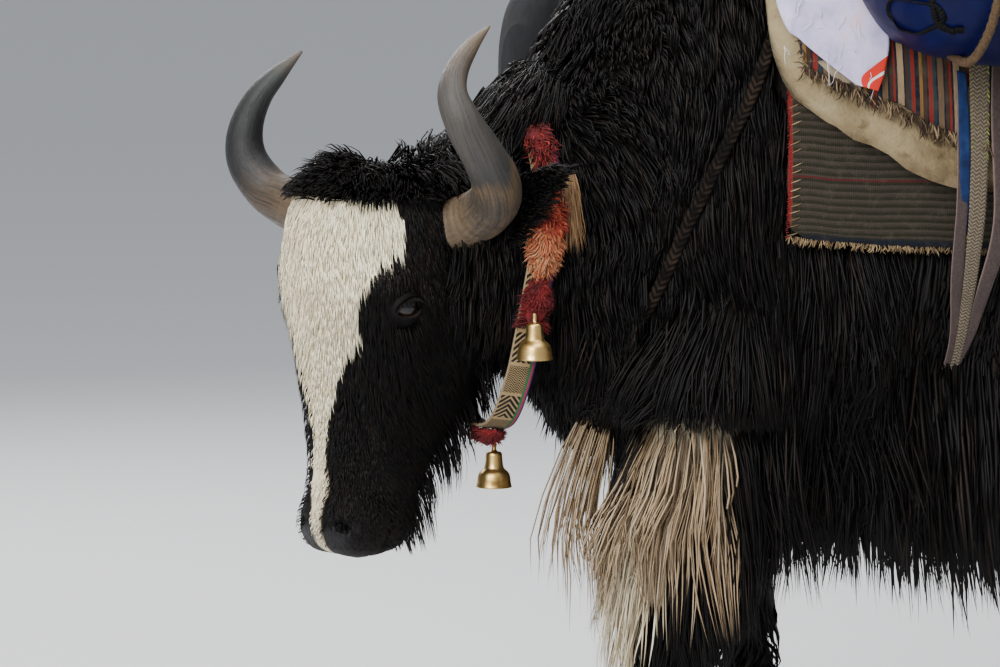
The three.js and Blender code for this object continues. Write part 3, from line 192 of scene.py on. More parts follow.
# x, y, z, half width, front, back, squareness, coat depth
LEGS = {
    "leg_front_left": [
        [195, 150, 780, 72, 110, 110, 2.2, 30], [235, 170, 650, 74, 118, 100, 2.2, 40],
        [285, 172, 520, 58, 82, 70, 2.1, 48], [322, 166, 370, 42, 48, 46, 2.1, 30],
        [330, 163, 240, 30, 32, 34, 2.0, 14], [330, 160, 118, 37, 38, 41, 2.1, 10],
        [342, 160, 62, 40, 44, 42, 2.2, 4],
    ],
    "leg_front_right": [
        [150, -150, 780, 70, 95, 110, 2.2, 30], [172, -168, 640, 70, 88, 100, 2.2, 34],
        [150, -170, 500, 54, 60, 66, 2.1, 40], [120, -166, 360, 41, 45, 44, 2.1, 24],
        [88, -163, 235, 30, 32, 34, 2.0, 14], [56, -160, 115, 37, 38, 41, 2.1, 10],
        [62, -160, 62, 40, 44, 42, 2.2, 4],
    ],
    "leg_hind_left": [
        [-880, 120, 930, 90, 130, 120, 2.2, 30], [-870, 150, 780, 98, 150, 140, 2.2, 36],
        [-825, 160, 650, 82, 108, 118, 2.2, 44], [-900, 160, 540, 58, 66, 72, 2.1, 46],
        [-985, 156, 440, 40, 46, 56, 2.1, 26], [-992, 154, 290, 32, 35, 38, 2.0, 16],
        [-1000, 152, 118, 38, 40, 43, 2.1, 10], [-985, 152, 62, 40, 45, 42, 2.2, 4],
    ],
    "leg_hind_right": [
        [-860, -120, 930, 90, 130, 120, 2.2, 30], [-830, -150, 780, 98, 150, 140, 2.2, 36],
        [-770, -160, 650, 82, 108, 118, 2.2, 44], [-810, -160, 540, 58, 66, 72, 2.1, 46],
        [-870, -156, 435, 40, 46, 56, 2.1, 26], [-850, -154, 290, 32, 35, 38, 2.0, 16],
        [-828, -152, 118, 38, 40, 43, 2.1, 10], [-812, -152, 62, 40, 45, 42, 2.2, 4],
    ],
}
TAIL = [
    [-1030, 0, 1030, 34, 34, 34, 2.0, 10], [-1090, 0, 1030, 34, 34, 34, 2.0, 14],
    [-1138, 0, 965, 34, 32, 32, 2.0, 24], [-1150, 0, 820, 36, 32, 34, 2.0, 36],
    [-1148, 0, 640, 36, 32, 36, 2.0, 44], [-1140, 0, 460, 30, 26, 28, 2.0, 44],
    [-1134, 0, 330, 14, 14, 14, 2.0, 30],
]

# %% Tubes
HEAD_AT = np.array([736.0, 61.0, 892.0])
TURNED = np.radians(22.0)
HEAD_SIDE = np.array([-np.sin(TURNED), np.cos(TURNED), 0.0])
HEAD_FRONT = np.array([np.cos(TURNED), np.sin(TURNED), 0.0])
DOWN = np.array([0.0, 0.0, -1.0])
X, Y, Z = np.eye(3)


def in_head(place):
    """Points given in the head's own frame, as side, front and down from the poll."""
    place = np.asarray(place, float)
    return HEAD_AT + place[..., :1] * HEAD_SIDE + place[..., 1:2] * HEAD_FRONT + place[..., 2:3] * DOWN


def to_head(points):
    """The side, front and down of points, the reverse of in_head."""
    offset = np.asarray(points, float) - HEAD_AT
    return np.stack([offset @ HEAD_SIDE, offset @ HEAD_FRONT, offset @ DOWN], -1)


def either_side(points):
    """The same as to_head, but with every side positive, for what is alike on both sides of the head."""
    place = to_head(points)
    return np.concatenate([np.abs(place[..., :1]), place[..., 1:]], -1)


class Tube:
    """A body as sections along a parameter t. section(t) gives the middle, the two axes across it, and
    half width, reach to the front, reach to the back and squareness, each with a last axis."""

    def __init__(self, first, last, section, find):
        self.first, self.last, self.section, self.find = first, last, section, find

    def on(self, t, angle, lift=0.0):
        """Middle + side (width + lift) cos^(2/n) + ahead (reach + lift) sin^(2/n): angle 0 is the left
        side and 90 the top or front."""
        at, side, ahead, width, front, back, square = self.section(t)
        lift = np.asarray(lift, float)[..., None] + np.zeros_like(width)
        c = power(np.cos(np.radians(angle))[..., None], 2 / square)
        h = power(np.sin(np.radians(angle))[..., None], 2 / square)
        return at + side * (width + lift) * c + ahead * (np.where(h > 0, front, back) + lift) * h

    def out(self, t, angle):
        """The direction straight out of the skin: the cross product of its two tangents."""
        small = (self.last - self.first) * 1e-3
        here = np.clip(t, min(self.first, self.last) + abs(small), max(self.first, self.last) - abs(small))
        along = self.on(here + small, angle) - self.on(here - small, angle)
        around = self.on(here, angle + 0.5) - self.on(here, angle - 0.5)
        normal = unit(np.cross(along, around))
        return normal * np.sign(dot(normal, self.on(here, angle) - self.section(here)[0]))

    def read(self, points):
        """The t, angle and lift of points, the reverse of on()."""
        t = np.clip(self.find(points), min(self.first, self.last), max(self.first, self.last))
        at, side, ahead, width, front, back, square = self.section(t)
        a, b = dot(points - at, side), dot(points - at, ahead)
        reach = np.where(b > 0, front, back)
        share = (np.abs(a / width) ** square + np.abs(b / reach) ** square) ** (1 / square)
        angle = np.degrees(np.arctan2(power(b / reach, square / 2), power(a / width, square / 2)))
        lift = np.hypot(a, b) * (1 - 1 / np.maximum(share, 0.05))
        return t, angle[..., 0], lift[..., 0]

    def held(self, points, low=None, high=None):
        """Points moved across the tube so that they lie at least low and at most high off its skin."""
        t = np.clip(self.find(points), min(self.first, self.last), max(self.first, self.last))
        at, side, ahead, width, front, back, square = self.section(t)
        a, b = dot(points - at, side), dot(points - at, ahead)
        reach = np.where(b > 0, front, back)
        for lift, over in ((low, False), (high, True)):
            if lift is None:
                continue
            lift = np.asarray(lift, float)[..., None]
            share = ((np.abs(a / (width + lift)) ** square
                      + np.abs(b / (reach + lift)) ** square) ** (1 / square))
            scale = np.where((share > 1) == over, 1 / np.maximum(share, 0.05), 1.0)
            a, b = a * scale, b * scale
        move = side * (a - dot(points - at, side)) + ahead * (b - dot(points - at, ahead))
        return points + move


def trunk_tube(rows):
    """Upright sections along x, with the left side at angle 0 and the top at 90."""
    row = through(rows, 0)

    def section(x):
        r = row(x)
        at = np.stack([np.asarray(x, float) + 0 * r[..., 0], r[..., 1], r[..., 2]], -1)
        return (at, Y, Z, *[r[..., k:k + 1] for k in (3, 4, 5, 6)])

    return Tube(rows[0][0], rows[-1][0], section, lambda points: points[..., 0])


def leg_tube(rows):
    """Level sections along z, with the left side at angle 0 and the front at 90."""
    row = through(rows, 2)

    def section(z):
        r = row(z)
        at = np.stack([r[..., 0], r[..., 1], np.asarray(z, float) + 0 * r[..., 0]], -1)
        return (at, Y, X, *[r[..., k:k + 1] for k in (3, 4, 5, 6)])

    return Tube(rows[0][2], rows[-1][2], section, lambda points: points[..., 2])


def head_tube():
    """Level sections down the face, with its left side at angle 0 and the forehead at 90."""
    row = through(HEAD, 0)

    def section(down):
        r = row(down)
        width, brow, throat, wide, square = [r[..., k:k + 1] for k in (1, 2, 3, 4, 5)]
        place = np.concatenate([0 * wide, wide, np.asarray(down, float)[..., None] + 0 * wide], -1)
        return in_head(place), HEAD_SIDE, HEAD_FRONT, width, brow - wide, wide - throat, square

    return Tube(HEAD[0][0], HEAD[-1][0], section, lambda points: HEAD_AT[2] - points[..., 2])


def bent_tube(rows, across):
    """Sections that stand square to their own centre line, by row number."""
    row = through(rows)
    last = len(rows) - 1
    stations = np.linspace(0, last, 80)
    places = row(stations)[:, :3]

    def section(t):
        r = row(t)
        along = unit(row(np.minimum(t + 0.05, last))[..., :3] - row(np.maximum(t - 0.05, 0))[..., :3])
        ahead = unit(np.cross(along, across))
        return (r[..., :3], unit(np.cross(ahead, along)), ahead, *[r[..., k:k + 1] for k in (3, 4, 5, 6)])

    def find(points):
        flat = points.reshape(-1, 3)
        nearest = [np.linalg.norm(flat[k:k + 20000, None] - places, axis=-1).argmin(1)
                   for k in range(0, len(flat), 20000)]
        return stations[np.concatenate(nearest)].reshape(points.shape[:-1])

    return Tube(0, last, section, find)


trunk, head, tail = trunk_tube(TRUNK), head_tube(), bent_tube(TAIL, Y)
legs = {name: leg_tube(rows) for name, rows in LEGS.items()}
sole = (np.array(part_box("hoof_front_left")).mean(0)[:2] * 1000 + MIDDLE[:2]).round(1)
print("front left hoof's middle in the source's frame:", sole.tolist(), "where the leg ends at",
      LEGS["leg_front_left"][-1][:2])

# %% [markdown]
# ## Meshes from arrays
# A surface is a grid of points worked out in one go, and its faces join neighbours in the grid. Working
# with whole arrays is fast in Python, and the shape's formula stays readable in one place.

# %% Faces and pieces
MILLIMETRE = 0.001


def grid_faces(rows, columns, around=False):
    """Squares between neighbours in a grid of rows and columns, closed round the columns if asked."""
    i, j = np.meshgrid(np.arange(rows - 1), np.arange(columns if around else columns - 1), indexing="ij")
    k = (j + 1) % columns
    here, beyond = i * columns, (i + 1) * columns
    return np.stack([here + j, here + k, beyond + k, beyond + j], -1).reshape(-1, 4)


def mesh_of(name, points, faces):
    """A mesh from points in the source's millimetres and a list of face arrays, each of one size."""
    faces = [np.asarray(f, np.int32) for f in (faces if isinstance(faces, list) else [faces])]
    points = (np.asarray(points, float).reshape(-1, 3) - MIDDLE) * MILLIMETRE
    corners = np.concatenate([f.ravel() for f in faces])
    sizes = np.concatenate([np.full(len(f), f.shape[1], np.int32) for f in faces])
    mesh = bpy.data.meshes.new(name)
    mesh.vertices.add(len(points))
    mesh.vertices.foreach_set("co", points.astype(np.float32).ravel())
    mesh.loops.add(len(corners))
    mesh.loops.foreach_set("vertex_index", corners)
    mesh.polygons.add(len(sizes))
    mesh.polygons.foreach_set("loop_start", np.concatenate([[0], np.cumsum(sizes)[:-1]]).astype(np.int32))
    mesh.polygons.foreach_set("use_smooth", np.ones(len(sizes), bool))
    mesh.update(calc_edges=True)
    mesh.validate()
    return mesh


def piece(name, mesh, material, replaces=()):
    """An object for a finished mesh, riding on the yak and standing for the CAD nodes named."""
    shown = bpy.data.objects.new(name, mesh)
    bpy.context.scene.collection.objects.link(shown)
    mesh.materials.clear()
    mesh.materials.append(material)
    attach(shown, "root")
    if replaces:
        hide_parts(*replaces)
    mesh.calc_loop_triangles()
    print(name, "triangles:", len(mesh.loop_triangles))
    return shown


def mark(mesh, name, values):
    """Stores one number for each vertex, for a material to read by name."""
    layer = mesh.attributes.new(name, "FLOAT", "POINT")
    layer.data.foreach_set("value", np.asarray(values, np.float32).ravel())


def own_map(mesh, name, place):
    """A UV map from one (u, v) for each vertex."""
    index = np.zeros(len(mesh.loops), np.int32)
    mesh.loops.foreach_get("vertex_index", index)
    corners = np.asarray(place, float).reshape(-1, 2)[index]
    mesh.uv_layers.new(name=name).data.foreach_set("uv", corners.astype(np.float32).ravel())


def stored(mesh):
    """A mesh's vertices as they are stored, in metres."""
    co = np.zeros(len(mesh.vertices) * 3, np.float32)
    mesh.vertices.foreach_get("co", co)
    return co.reshape(-1, 3)


def closed_loft(rings):
    """A grid of rings with a point in the middle of each end, and the faces that close it."""
    count, sides = rings.shape[:2]
    points = np.concatenate([rings.reshape(-1, 3), rings[0].mean(0)[None], rings[-1].mean(0)[None]])
    j = np.arange(sides)
    k = (j + 1) % sides
    near = np.stack([np.full(sides, count * sides), k, j], -1)
    far = np.stack([np.full(sides, count * sides + 1), (count - 1) * sides + j, (count - 1) * sides + k], -1)
    return points, [grid_faces(count, sides, True), np.concatenate([near, far])]


def outward_faces(mesh):
    """Turns a closed mesh's faces outwards if its signed volume is negative."""
    mesh.calc_loop_triangles()
    index = np.zeros(len(mesh.loop_triangles) * 3, np.int32)
    mesh.loop_triangles.foreach_get("vertices", index)
    a, b, c = stored(mesh)[index.reshape(-1, 3)].transpose(1, 0, 2).astype(float)
    if np.einsum("ij,ij->", a, np.cross(b, c)) < 0:
        mesh.flip_normals()
    return mesh


def lofted(name, rings):
    """A closed mesh through rings of points."""
    return outward_faces(mesh_of(name, *closed_loft(np.asarray(rings))))


def shell(name, lower, upper):
    """A closed mesh between two grids of the same size, its rim joined all round."""
    rows, columns = lower.shape[:2]
    total = rows * columns
    top = grid_faces(rows, columns)
    edge = np.concatenate([
        np.arange(columns - 1), (np.arange(rows - 1) * columns + columns - 1),
        total - 1 - np.arange(columns - 1), np.arange(rows - 1, 0, -1) * columns,
    ])
    rim = np.stack([edge, np.roll(edge, -1)], -1)
    sides = np.concatenate([rim, rim[:, ::-1] + total], -1)
    points = np.concatenate([lower.reshape(-1, 3), upper.reshape(-1, 3)])
    return outward_faces(mesh_of(name, points, [top, top[:, ::-1] + total, sides[:, ::-1]]))


def baked(shown):
    """The mesh of an object with its modifiers worked in."""
    graph = bpy.context.evaluated_depsgraph_get()
    return bpy.data.meshes.new_from_object(shown.evaluated_get(graph))


# %% Repeatable noise
def noise(points, size, seed):
    """Smooth noise from -1 to 1: random numbers on a lattice of that size in millimetres, blended across
    each cell by the smooth step."""
    p = np.asarray(points, float) / size + seed * 17.37
    cell = np.floor(p).astype(np.int64)
    u = p - cell
    u = u * u * (3 - 2 * u)
    total = 0.0
    for corner in range(8):
        bit = np.array([corner & 1, corner >> 1 & 1, corner >> 2 & 1])
        c = cell + bit
        mixed = c[..., 0] * 73856093 ^ c[..., 1] * 19349663 ^ c[..., 2] * 83492791 ^ seed * 2654435
        mixed = (mixed ^ mixed >> 13) * 1274126177 & 0x7FFFFFFF
        mixed = (mixed ^ mixed >> 16) * 1103515245 & 0x7FFFFFFF
        weight = np.where(bit == 1, u, 1 - u).prod(-1)
        total = total + weight * (mixed / 0x3FFFFFFF - 1)
    return total


def drift(points, size, seed):
    """Three noises for each point, as a vector."""
    return np.stack([noise(points, size, seed + k) for k in (1, 2, 3)], -1)


# %% [markdown]
# ## Finishes from nodes
# Every finish is worked out by nodes from a place in the mesh, so it needs no picture. Small helpers keep
# the finishes short: one adds a node and wires it, others mix two colours, make a ramp or do sums.

# %% Helpers for finishes
def rgba(colour):
    """A colour, or a number that stands for a grey, with alpha 1. A node's output stays as it is."""
    if isinstance(colour, (int, float)):
        colour = (colour,) * 3
    return (*colour, 1) if isinstance(colour, tuple) else colour


class Finish:
    """A material being made: add() puts in a node, and its inputs are values or other nodes' outputs."""

    def __init__(self, name, **shader):
        self.material = bpy.data.materials.new(name)
        self.material.use_nodes = True
        self.tree = self.material.node_tree
        self.shader = self.tree.nodes["Principled BSDF"]
        self.wire(self.shader, {"Specular_IOR_Level": 0.2, **shader})

    def wire(self, node, inputs):
        """Sets a node's inputs. A name's underscores are spaces, and _0 is the first input."""
        for key, value in inputs.items():
            socket = node.inputs[int(key[1:])] if key[0] == "_" else node.inputs[key.replace("_", " ")]
            if isinstance(value, bpy.types.Node):
                value = value.outputs[0]
            if isinstance(value, bpy.types.NodeSocket):
                self.tree.links.new(value, socket)
            else:
                socket.default_value = value

    def add(self, kind, settings=None, **inputs):
        """A new node with its settings and inputs."""
        node = self.tree.nodes.new("ShaderNode" + kind)
        for key, value in (settings or {}).items():
            setattr(node, key, value)
        self.wire(node, inputs)
        return node

    def place(self, scale=(1, 1, 1), name=None):
        """Object coordinates, or a named UV map, scaled."""
        source = self.add("UVMap", {"uv_map": name}) if name else self.add("TexCoord").outputs["Object"]
        return self.add("Mapping", Vector=source, Scale=scale)

    def along_weave(self):
        """Metres along and across the piece's own map."""
        parts = self.add("SeparateXYZ", Vector=self.place(name="weave"))
        return parts.outputs["X"], parts.outputs["Y"]

    def waves(self, axis, scale, distortion):
        """Bands square to one axis of the piece's own map."""
        where = self.place(name="weave")
        made = self.add("TexWave", {"bands_direction": axis}, Vector=where, Scale=scale,
                        Distortion=distortion)
        return made.outputs["Fac"]

    def noise(self, vector, scale, detail=3.0, rough=0.55):
        """Noise over any vector."""
        return self.add("TexNoise", Vector=vector, Scale=scale, Detail=detail, Roughness=rough)

    def cloud(self, scale, detail=3.0, rough=0.55):
        """Noise over the object's coordinates."""
        return self.noise(self.place(), scale, detail, rough)

    def value(self, name):
        """The number stored with mark() under that name."""
        return self.add("Attribute", {"attribute_name": name}).outputs["Fac"]

    def maths(self, operation, a, b=0.0, c=0.0):
        """One sum on numbers or outputs."""
        return self.add("Math", {"operation": operation}, _0=a, _1=b, _2=c)

    def times(self, a, b, added=None):
        """a times b, with a third number added if there is one."""
        if added is None:
            return self.maths("MULTIPLY", a, b)
        return self.maths("MULTIPLY_ADD", a, b, added)

    def plus(self, a, b):
        """a plus b."""
        return self.maths("ADD", a, b)

    def apart(self, a, b):
        """How far a is from b."""
        return self.maths("ABSOLUTE", self.maths("SUBTRACT", a, b))

    def jittered(self, value, field, reach):
        """A value moved by reach times what a noise field has over 0.5."""
        return self.plus(value, self.times(self.maths("SUBTRACT", field, 0.5), reach))

    def ramp(self, share, *stops):
        """A colour ramp: each stop is a place from 0 to 1 and a colour."""
        node = self.add("ValToRGB", Fac=share)
        elements = node.color_ramp.elements
        while len(elements) < len(stops):
            elements.new(0.5)
        for element, (place, colour) in zip(elements, stops):
            element.position = place
            element.color = rgba(colour)
        return node.outputs["Color"]

    def mix(self, share, a, b):
        """Colour a where the share is 0 and colour b where it is 1."""
        return self.add("Mix", {"data_type": "RGBA"}, _0=share, _6=rgba(a), _7=rgba(b)).outputs[2]

    def bump(self, height, strength, distance, under=None):
        """A surface raised by a height, over another bump if one is given."""
        inputs = {"Height": height, "Strength": strength, "Distance": distance}
        if under is not None:
            inputs["Normal"] = under
        return self.add("Bump", **inputs)

    def done(self, **shader):
        """The finished material, with these last inputs of its shader."""
        self.wire(self.shader, shader)
        return self.material


# %% [markdown]
# ## The blaze and the sleeve
# The coat is black, with a cream blaze down the face, a cream sleeve on the left foreleg and a small cream
# patch behind it. The markings are functions of the place on the body, which both the skin and the roots of
# the hair ask. A strand is cream from end to end, so the edge is as ragged as hair. The face's hair asks a
# little further down than its roots, where its strands lie.

# %% Markings
# down the face, then the angles on the head between which the hair is cream
BLAZE = [
    [30, 34, 146], [46, 25, 152], [91, 24, 152], [121, 40, 138], [147, 51, 132], [180, 52, 127],
    [209, 51, 122], [230, 62, 118], [255, 69, 112], [289, 75, 104], [320, 79, 100], [357, 82, 104],
    [385, 80, 108], [404, 84, 98], [438, 85.5, 97], [470, 86, 95],
]
blaze_edges = through(BLAZE, 0)


def blaze(down, angle, wander):
    """1 between the blaze's two edges and below its top, 0 outside, over about 4 degrees."""
    _, near, far = np.moveaxis(blaze_edges(down), -1, 0)
    inside = step(angle + wander, near - 2, near + 2) * (1 - step(angle - wander, far - 2, far + 2))
    return inside * step(down + 1.5 * wander, 33, 39)


def sleeve(points):
    """1 on the front of the left foreleg from its elbow down to the knee, reaching further round its outer
    side with height, and on a small patch behind that."""
    _, angle, _ = legs["leg_front_left"].read(points)
    x, z = points[..., 0], points[..., 2]
    wander = 12 * noise(points, 45.0, 5)
    on_leg = step(z, 318, 352) * (1 - step(z + wander, 578, 602)) * step(points[..., 1], 20, 60)
    edge = np.interp(z, [345, 400, 480, 540, 590], [62, 50, 34, 16, -2])
    front = (step((angle + 90) % 360 - 90 + wander, edge - 7, edge + 7)
             * (1 - step(np.abs(angle - 110), 95, 110)))
    patch = 1 - step(np.hypot((x - 306 + wander) / 25, (z - 520) / 32), 0.75, 1.15)
    return np.maximum(on_leg * front, patch * step(points[..., 1], 190, 215))


# %% [markdown]
# ## The skin
# One skin covers the whole animal, so no seam shows where neck, trunk and legs meet. The head is a fine
# grid of its own, because lids, nostrils and lips need small faces, and the body is fused from its tubes
# by a voxel remesh, the quickest way to make one smooth surface out of many. A boolean union joins the two.

# %% The head's surface
EYE_AT = np.array([90.0, -60.0, 165.0])
EYE_RADIUS = 20.0
# side, front, down, radii of the mound or hollow, height
FEATURES = [
    (93, -44, 132, 26, 22, 17, 8), (103, -96, 150, 22, 18, 22, 5), (95, -60, 190, 26, 24, 13, -5),
    (92, -160, 205, 34, 48, 60, 7), (84, -82, 262, 26, 30, 40, -6), (44, -18, 300, 22, 24, 60, -3),
    (60, -46, 345, 20, 22, 42, 3), (36, 2, 408, 16, 14, 15, 5), (50, -12, 436, 14, 16, 15, 5),
    (30, -34, 455, 26, 18, 12, 5), (0, 4, 436, 10, 12, 22, -3), (24, -104, 440, 26, 22, 16, 4),
    (0, -6, 90, 40, 30, 40, 5), (60, -70, 410, 14, 30, 22, -3), (104, -110, 80, 30, 40, 30, 5),
]
NOSTRIL = (37, -7, 424)


def relief(points):
    """How far the mounds and hollows lift the face: height times exp(-r^2), with r the distance in the
    feature's own radii, the same on both sides of the head."""
    place = either_side(points)
    lift = np.zeros(points.shape[:-1])
    for side, front, low, a, b, c, height in FEATURES:
        r = (place - np.array([side, front, low])) / np.array([a, b, c]) / 1.1
        lift += height * np.exp(-(r * r).sum(-1))
    return lift


def muzzle(points):
    """1 in the middle of each half of the bare muzzle, falling off as exp(-r^2)."""
    r = (either_side(points) - np.array([22, -14, 438])) / np.array([30, 26, 22])
    return np.exp(-(r * r).sum(-1))


def face(down, angle):
    """The head's tube plus its relief along its outward direction. Nostrils and the mouth's line are cut in
    and fine wrinkles ring the eye."""
    points, out = head.on(down, angle), head.out(down, angle)
    place = either_side(points)
    lift = relief(points)
    r = ((place - np.array(NOSTRIL)) @ np.array([[1, 0.25, 0], [0, 1, 0.5], [0, -0.35, 1]])
         / np.array([9.5, 14, 7.5]))
    lift -= 15 * np.exp(-((r * r).sum(-1)) ** 2)
    lips = place[..., 1] + 66 + 0.36 * (446 - place[..., 2])
    near_mouth = step(place[..., 2], 388, 410)
    lift -= 4.5 * np.exp(-((lips / 2.6) ** 2)) * near_mouth
    lift += 1.8 * np.exp(-(((np.abs(lips) - 8) / 6) ** 2)) * near_mouth
    wrinkles = np.exp(-(((place - EYE_AT) / np.array([40, 44, 36])) ** 2).sum(-1))
    ring = np.linalg.norm((place - EYE_AT)[..., 1:] * np.array([1.0, 1.25]), axis=-1)
    lift += 0.9 * wrinkles * np.cos(ring * 0.85)
    lift += 1.3 * noise(points, 34.0, 3) + 0.5 * noise(points, 12.0, 4)
    return points + out * lift[..., None]


def crowded(start, end, count, spots):
    """Values from start to end, closer together where the sum of spots (place, width, crowding) is high:
    equal steps of the running total of that density."""
    fine = np.linspace(start, end, 4000)
    density = 1 + sum(crowding * np.exp(-(((fine - place) / width) ** 2))
                      for place, width, crowding in spots)
    total = np.concatenate([[0], np.cumsum((density[1:] + density[:-1]) / 2)])
    return np.interp(np.linspace(0, total[-1], count), total, fine)


face_down = crowded(6, 464.5, 128, [(165, 26, 2.2), (426, 26, 2.4), (455, 12, 2.0)])
face_angle = crowded(-90, 270, 161, [(14, 14, 2.5), (166, 14, 2.5), (90, 40, 1.2)])[:-1]
D, A = np.meshgrid(face_down, face_angle, indexing="ij")
head_rings = face(D, A)
head_mesh = lofted("head skin", head_rings)
print("head grid:", head_rings.shape[:2])

# %% Ears
EARS = {"ear_left": ((103, -176, 92), (230, -188, 2)), "ear_right": ((-103, -176, 92), (-226, -206, 34))}


def ear(root, tip, u, v, side):
    """A cupped leaf: half width 30 sqrt(sin) that narrows to the tip, edges raised by the square of v.
    Side 1 is the open inner face and 0 the outer."""
    start = in_head(np.array(root) - 0.10 * (np.array(tip) - np.array(root)))
    axis = in_head(tip) - start
    opening = HEAD_FRONT + 0.35 * DOWN
    opening = unit(opening - axis * (opening @ axis) / (axis @ axis))
    across = unit(np.cross(axis, opening))
    half = 30 * np.sqrt(np.sin(np.pi * (0.13 + 0.86 * u))) * (1 - 0.35 * u)
    cup = 14 * (1.25 - u) * v * v
    depth = np.where(side == 1, 0.0, -5.5 * (1 - 0.75 * v * v))
    return start + axis * u[..., None] + across * (half * v)[..., None] + opening * (cup + depth)[..., None]


U, V = np.meshgrid(np.linspace(0.0, 0.985, 26), np.linspace(-1, 1, 21), indexing="ij")
ear_meshes = [shell(name, ear(root, tip, U, V, 0), ear(root, tip, U, V, 1))
              for name, (root, tip) in EARS.items()]


# %% The body's surface
def tube_rings(tube, count, sides=40, lift=0.0):
    """Evenly spaced rings along a tube."""
    t, angle = np.meshgrid(np.linspace(tube.first, tube.last, count), np.arange(sides) * 360 / sides,
                           indexing="ij")
    return tube.on(t, angle, lift)


def loose(mesh):
    """A working object that isn't part of the yak and is removed later."""
    made = bpy.data.objects.new("working", mesh)
    bpy.context.scene.collection.objects.link(made)
    return made


parts = [lofted("part", tube_rings(tube, 60)) for tube in (trunk, *legs.values())]
parts.append(lofted("part", tube_rings(tail, 50, 24, -8.0)))
fused = loose(parts[0])
others = [loose(mesh) for mesh in parts[1:]]
with bpy.context.temp_override(active_object=fused, selected_editable_objects=[fused, *others]):
    bpy.ops.object.join()
remesh = fused.modifiers.new("fuse", "REMESH")
remesh.mode, remesh.voxel_size = "VOXEL", 0.0165
smooth = fused.modifiers.new("soften", "SMOOTH")
smooth.factor, smooth.iterations = 0.5, 6
body = loose(baked(fused))
for mesh in (head_mesh, *ear_meshes):
    cut = body.modifiers.new("join", "BOOLEAN")
    cut.operation, cut.solver, cut.object = "UNION", "MANIFOLD", loose(mesh)
skin_mesh = baked(body)
skin_mesh.name = "skin"
for working in [o for o in bpy.data.objects if o.name.startswith("working")]:
    bpy.data.objects.remove(working)


def points_of(mesh):
    """A mesh's vertices in the source's millimetres."""
    return stored(mesh).astype(float) / MILLIMETRE + MIDDLE


skin_points = points_of(skin_mesh)
print("skin:", len(skin_mesh.vertices), "points, box", skin_points.min(0).round(),
      skin_points.max(0).round())

# %% The skin's markings
down, angle, lift = head.read(skin_points)
on_head = (np.abs(lift) < 26) & (down > 6)
cream = np.where(on_head, blaze(down, angle, 3 * noise(skin_points, 26.0, 8)), 0.22 * sleeve(skin_points))
mark(skin_mesh, "cream", cream)
mark(skin_mesh, "muzzle", np.where(on_head, muzzle(skin_points), 0))
skin_mesh.polygons.foreach_set("use_smooth", np.ones(len(skin_mesh.polygons), bool))

# %% [markdown]
# ## Black hide, cream hide
# Under the strands the hide shows through as short fur: black with a brown cast, or cream, over a fine
# bump that runs downwards. The muzzle's bare leather is smoother and shines a little.

# %% Hide
CREAM, BLACK = (0.88, 0.78, 0.55), (0.0035, 0.0030, 0.0032)
hide = Finish("hide", IOR=1.45, Specular_IOR_Level=0.16)
strands = hide.noise(hide.place(scale=(1, 1, 0.16)), 420.0, 4.0)
patches = hide.cloud(14.0, 3.0)
black = hide.mix(patches, BLACK, (0.012, 0.0085, 0.0065))
cream_hide = hide.mix(strands, (0.70, 0.59, 0.40), CREAM)
coloured = hide.mix(hide.value("cream"), black, cream_hide)
coloured = hide.mix(hide.value("muzzle"), coloured, (0.0075, 0.0072, 0.0085))
pores = hide.add("TexVoronoi", Vector=hide.place(), Scale=420.0)
fur_bump = hide.bump(strands, 0.6, 0.002)
roughness = hide.mix(hide.value("muzzle"), 0.75, 0.36)
hide_finish = hide.done(Base_Color=coloured, Roughness=roughness,
                        Normal=hide.bump(pores.outputs["Distance"], 0.25, 0.0008, fur_bump))

piece("skin", skin_mesh, hide_finish, ["torso", "neck", "head", "tail", "ear_left", "ear_right", *LEGS])

# %% [markdown]
# ## Where the gear lies
# Hair lies flat under cloths and straps and stands free beside them. So the places of the gear come before
# the hair, from the same tables as the solids: each cloth as a stretch of the trunk down to an edge height,
# each strap as a route over it.

# %% Cloths and straps on the trunk
PRESSED, CORE = 20.0, 19.0
CLOTHS = {
    "saddle_blanket": {"front": 215, "rear": -600, "lift": 20, "thick": 9,
                       "edge": [[240, 806], [100, 792], [-250, 782], [-600, 800]]},
    "saddle_pad": {"front": 240, "rear": -540, "lift": 30, "thick": 34,
                   "edge": [[240, 972], [130, 910], [20, 862], [-250, 846], [-540, 870]]},
    "saddle_rug": {"front": 215, "rear": -480, "lift": 65, "thick": 7,
                   "edge": [[240, 1012], [120, 960], [26, 918], [-250, 900], [-480, 915]]},
}
ON_RUG = 73.0
GIRTHS = {
    "girth_webbing": {"start": 60, "end": -240, "x": [-12, 3, 6, 3, -12], "width": 30},
    "girth_strap_grey": {"start": 60, "end": -240, "x": [-54, -38, -34, -38, -54], "width": 30},
    "girth_strap_blue": {"start": 50, "end": -16, "x": [34, 31, 28, 27], "width": 12},
}
BREAST = [[230, 20], [254, 12], [290, 3], [322, -5.5], [350, -17], [374, -27], [392, -42], [403, -65],
          [406, -90]]
BREAST_LIFT = 24.0


def side_angle(x, z, lift):
    """The angle on the trunk's left side where the skin, raised by lift, stands at height z."""
    at, _, _, _, front, back, square = trunk.section(x)
    rise = z - at[..., 2]
    reach = np.where(rise > 0, front[..., 0], back[..., 0]) + lift
    return np.degrees(np.arcsin(power(np.clip(rise / reach, -1, 1), square[..., 0] / 2)))


def edge_angle(cut, x):
    """The angle where a cloth's lower edge lies, on the left side."""
    return side_angle(x, through(cut["edge"], 0)(x)[..., 1], cut["lift"])


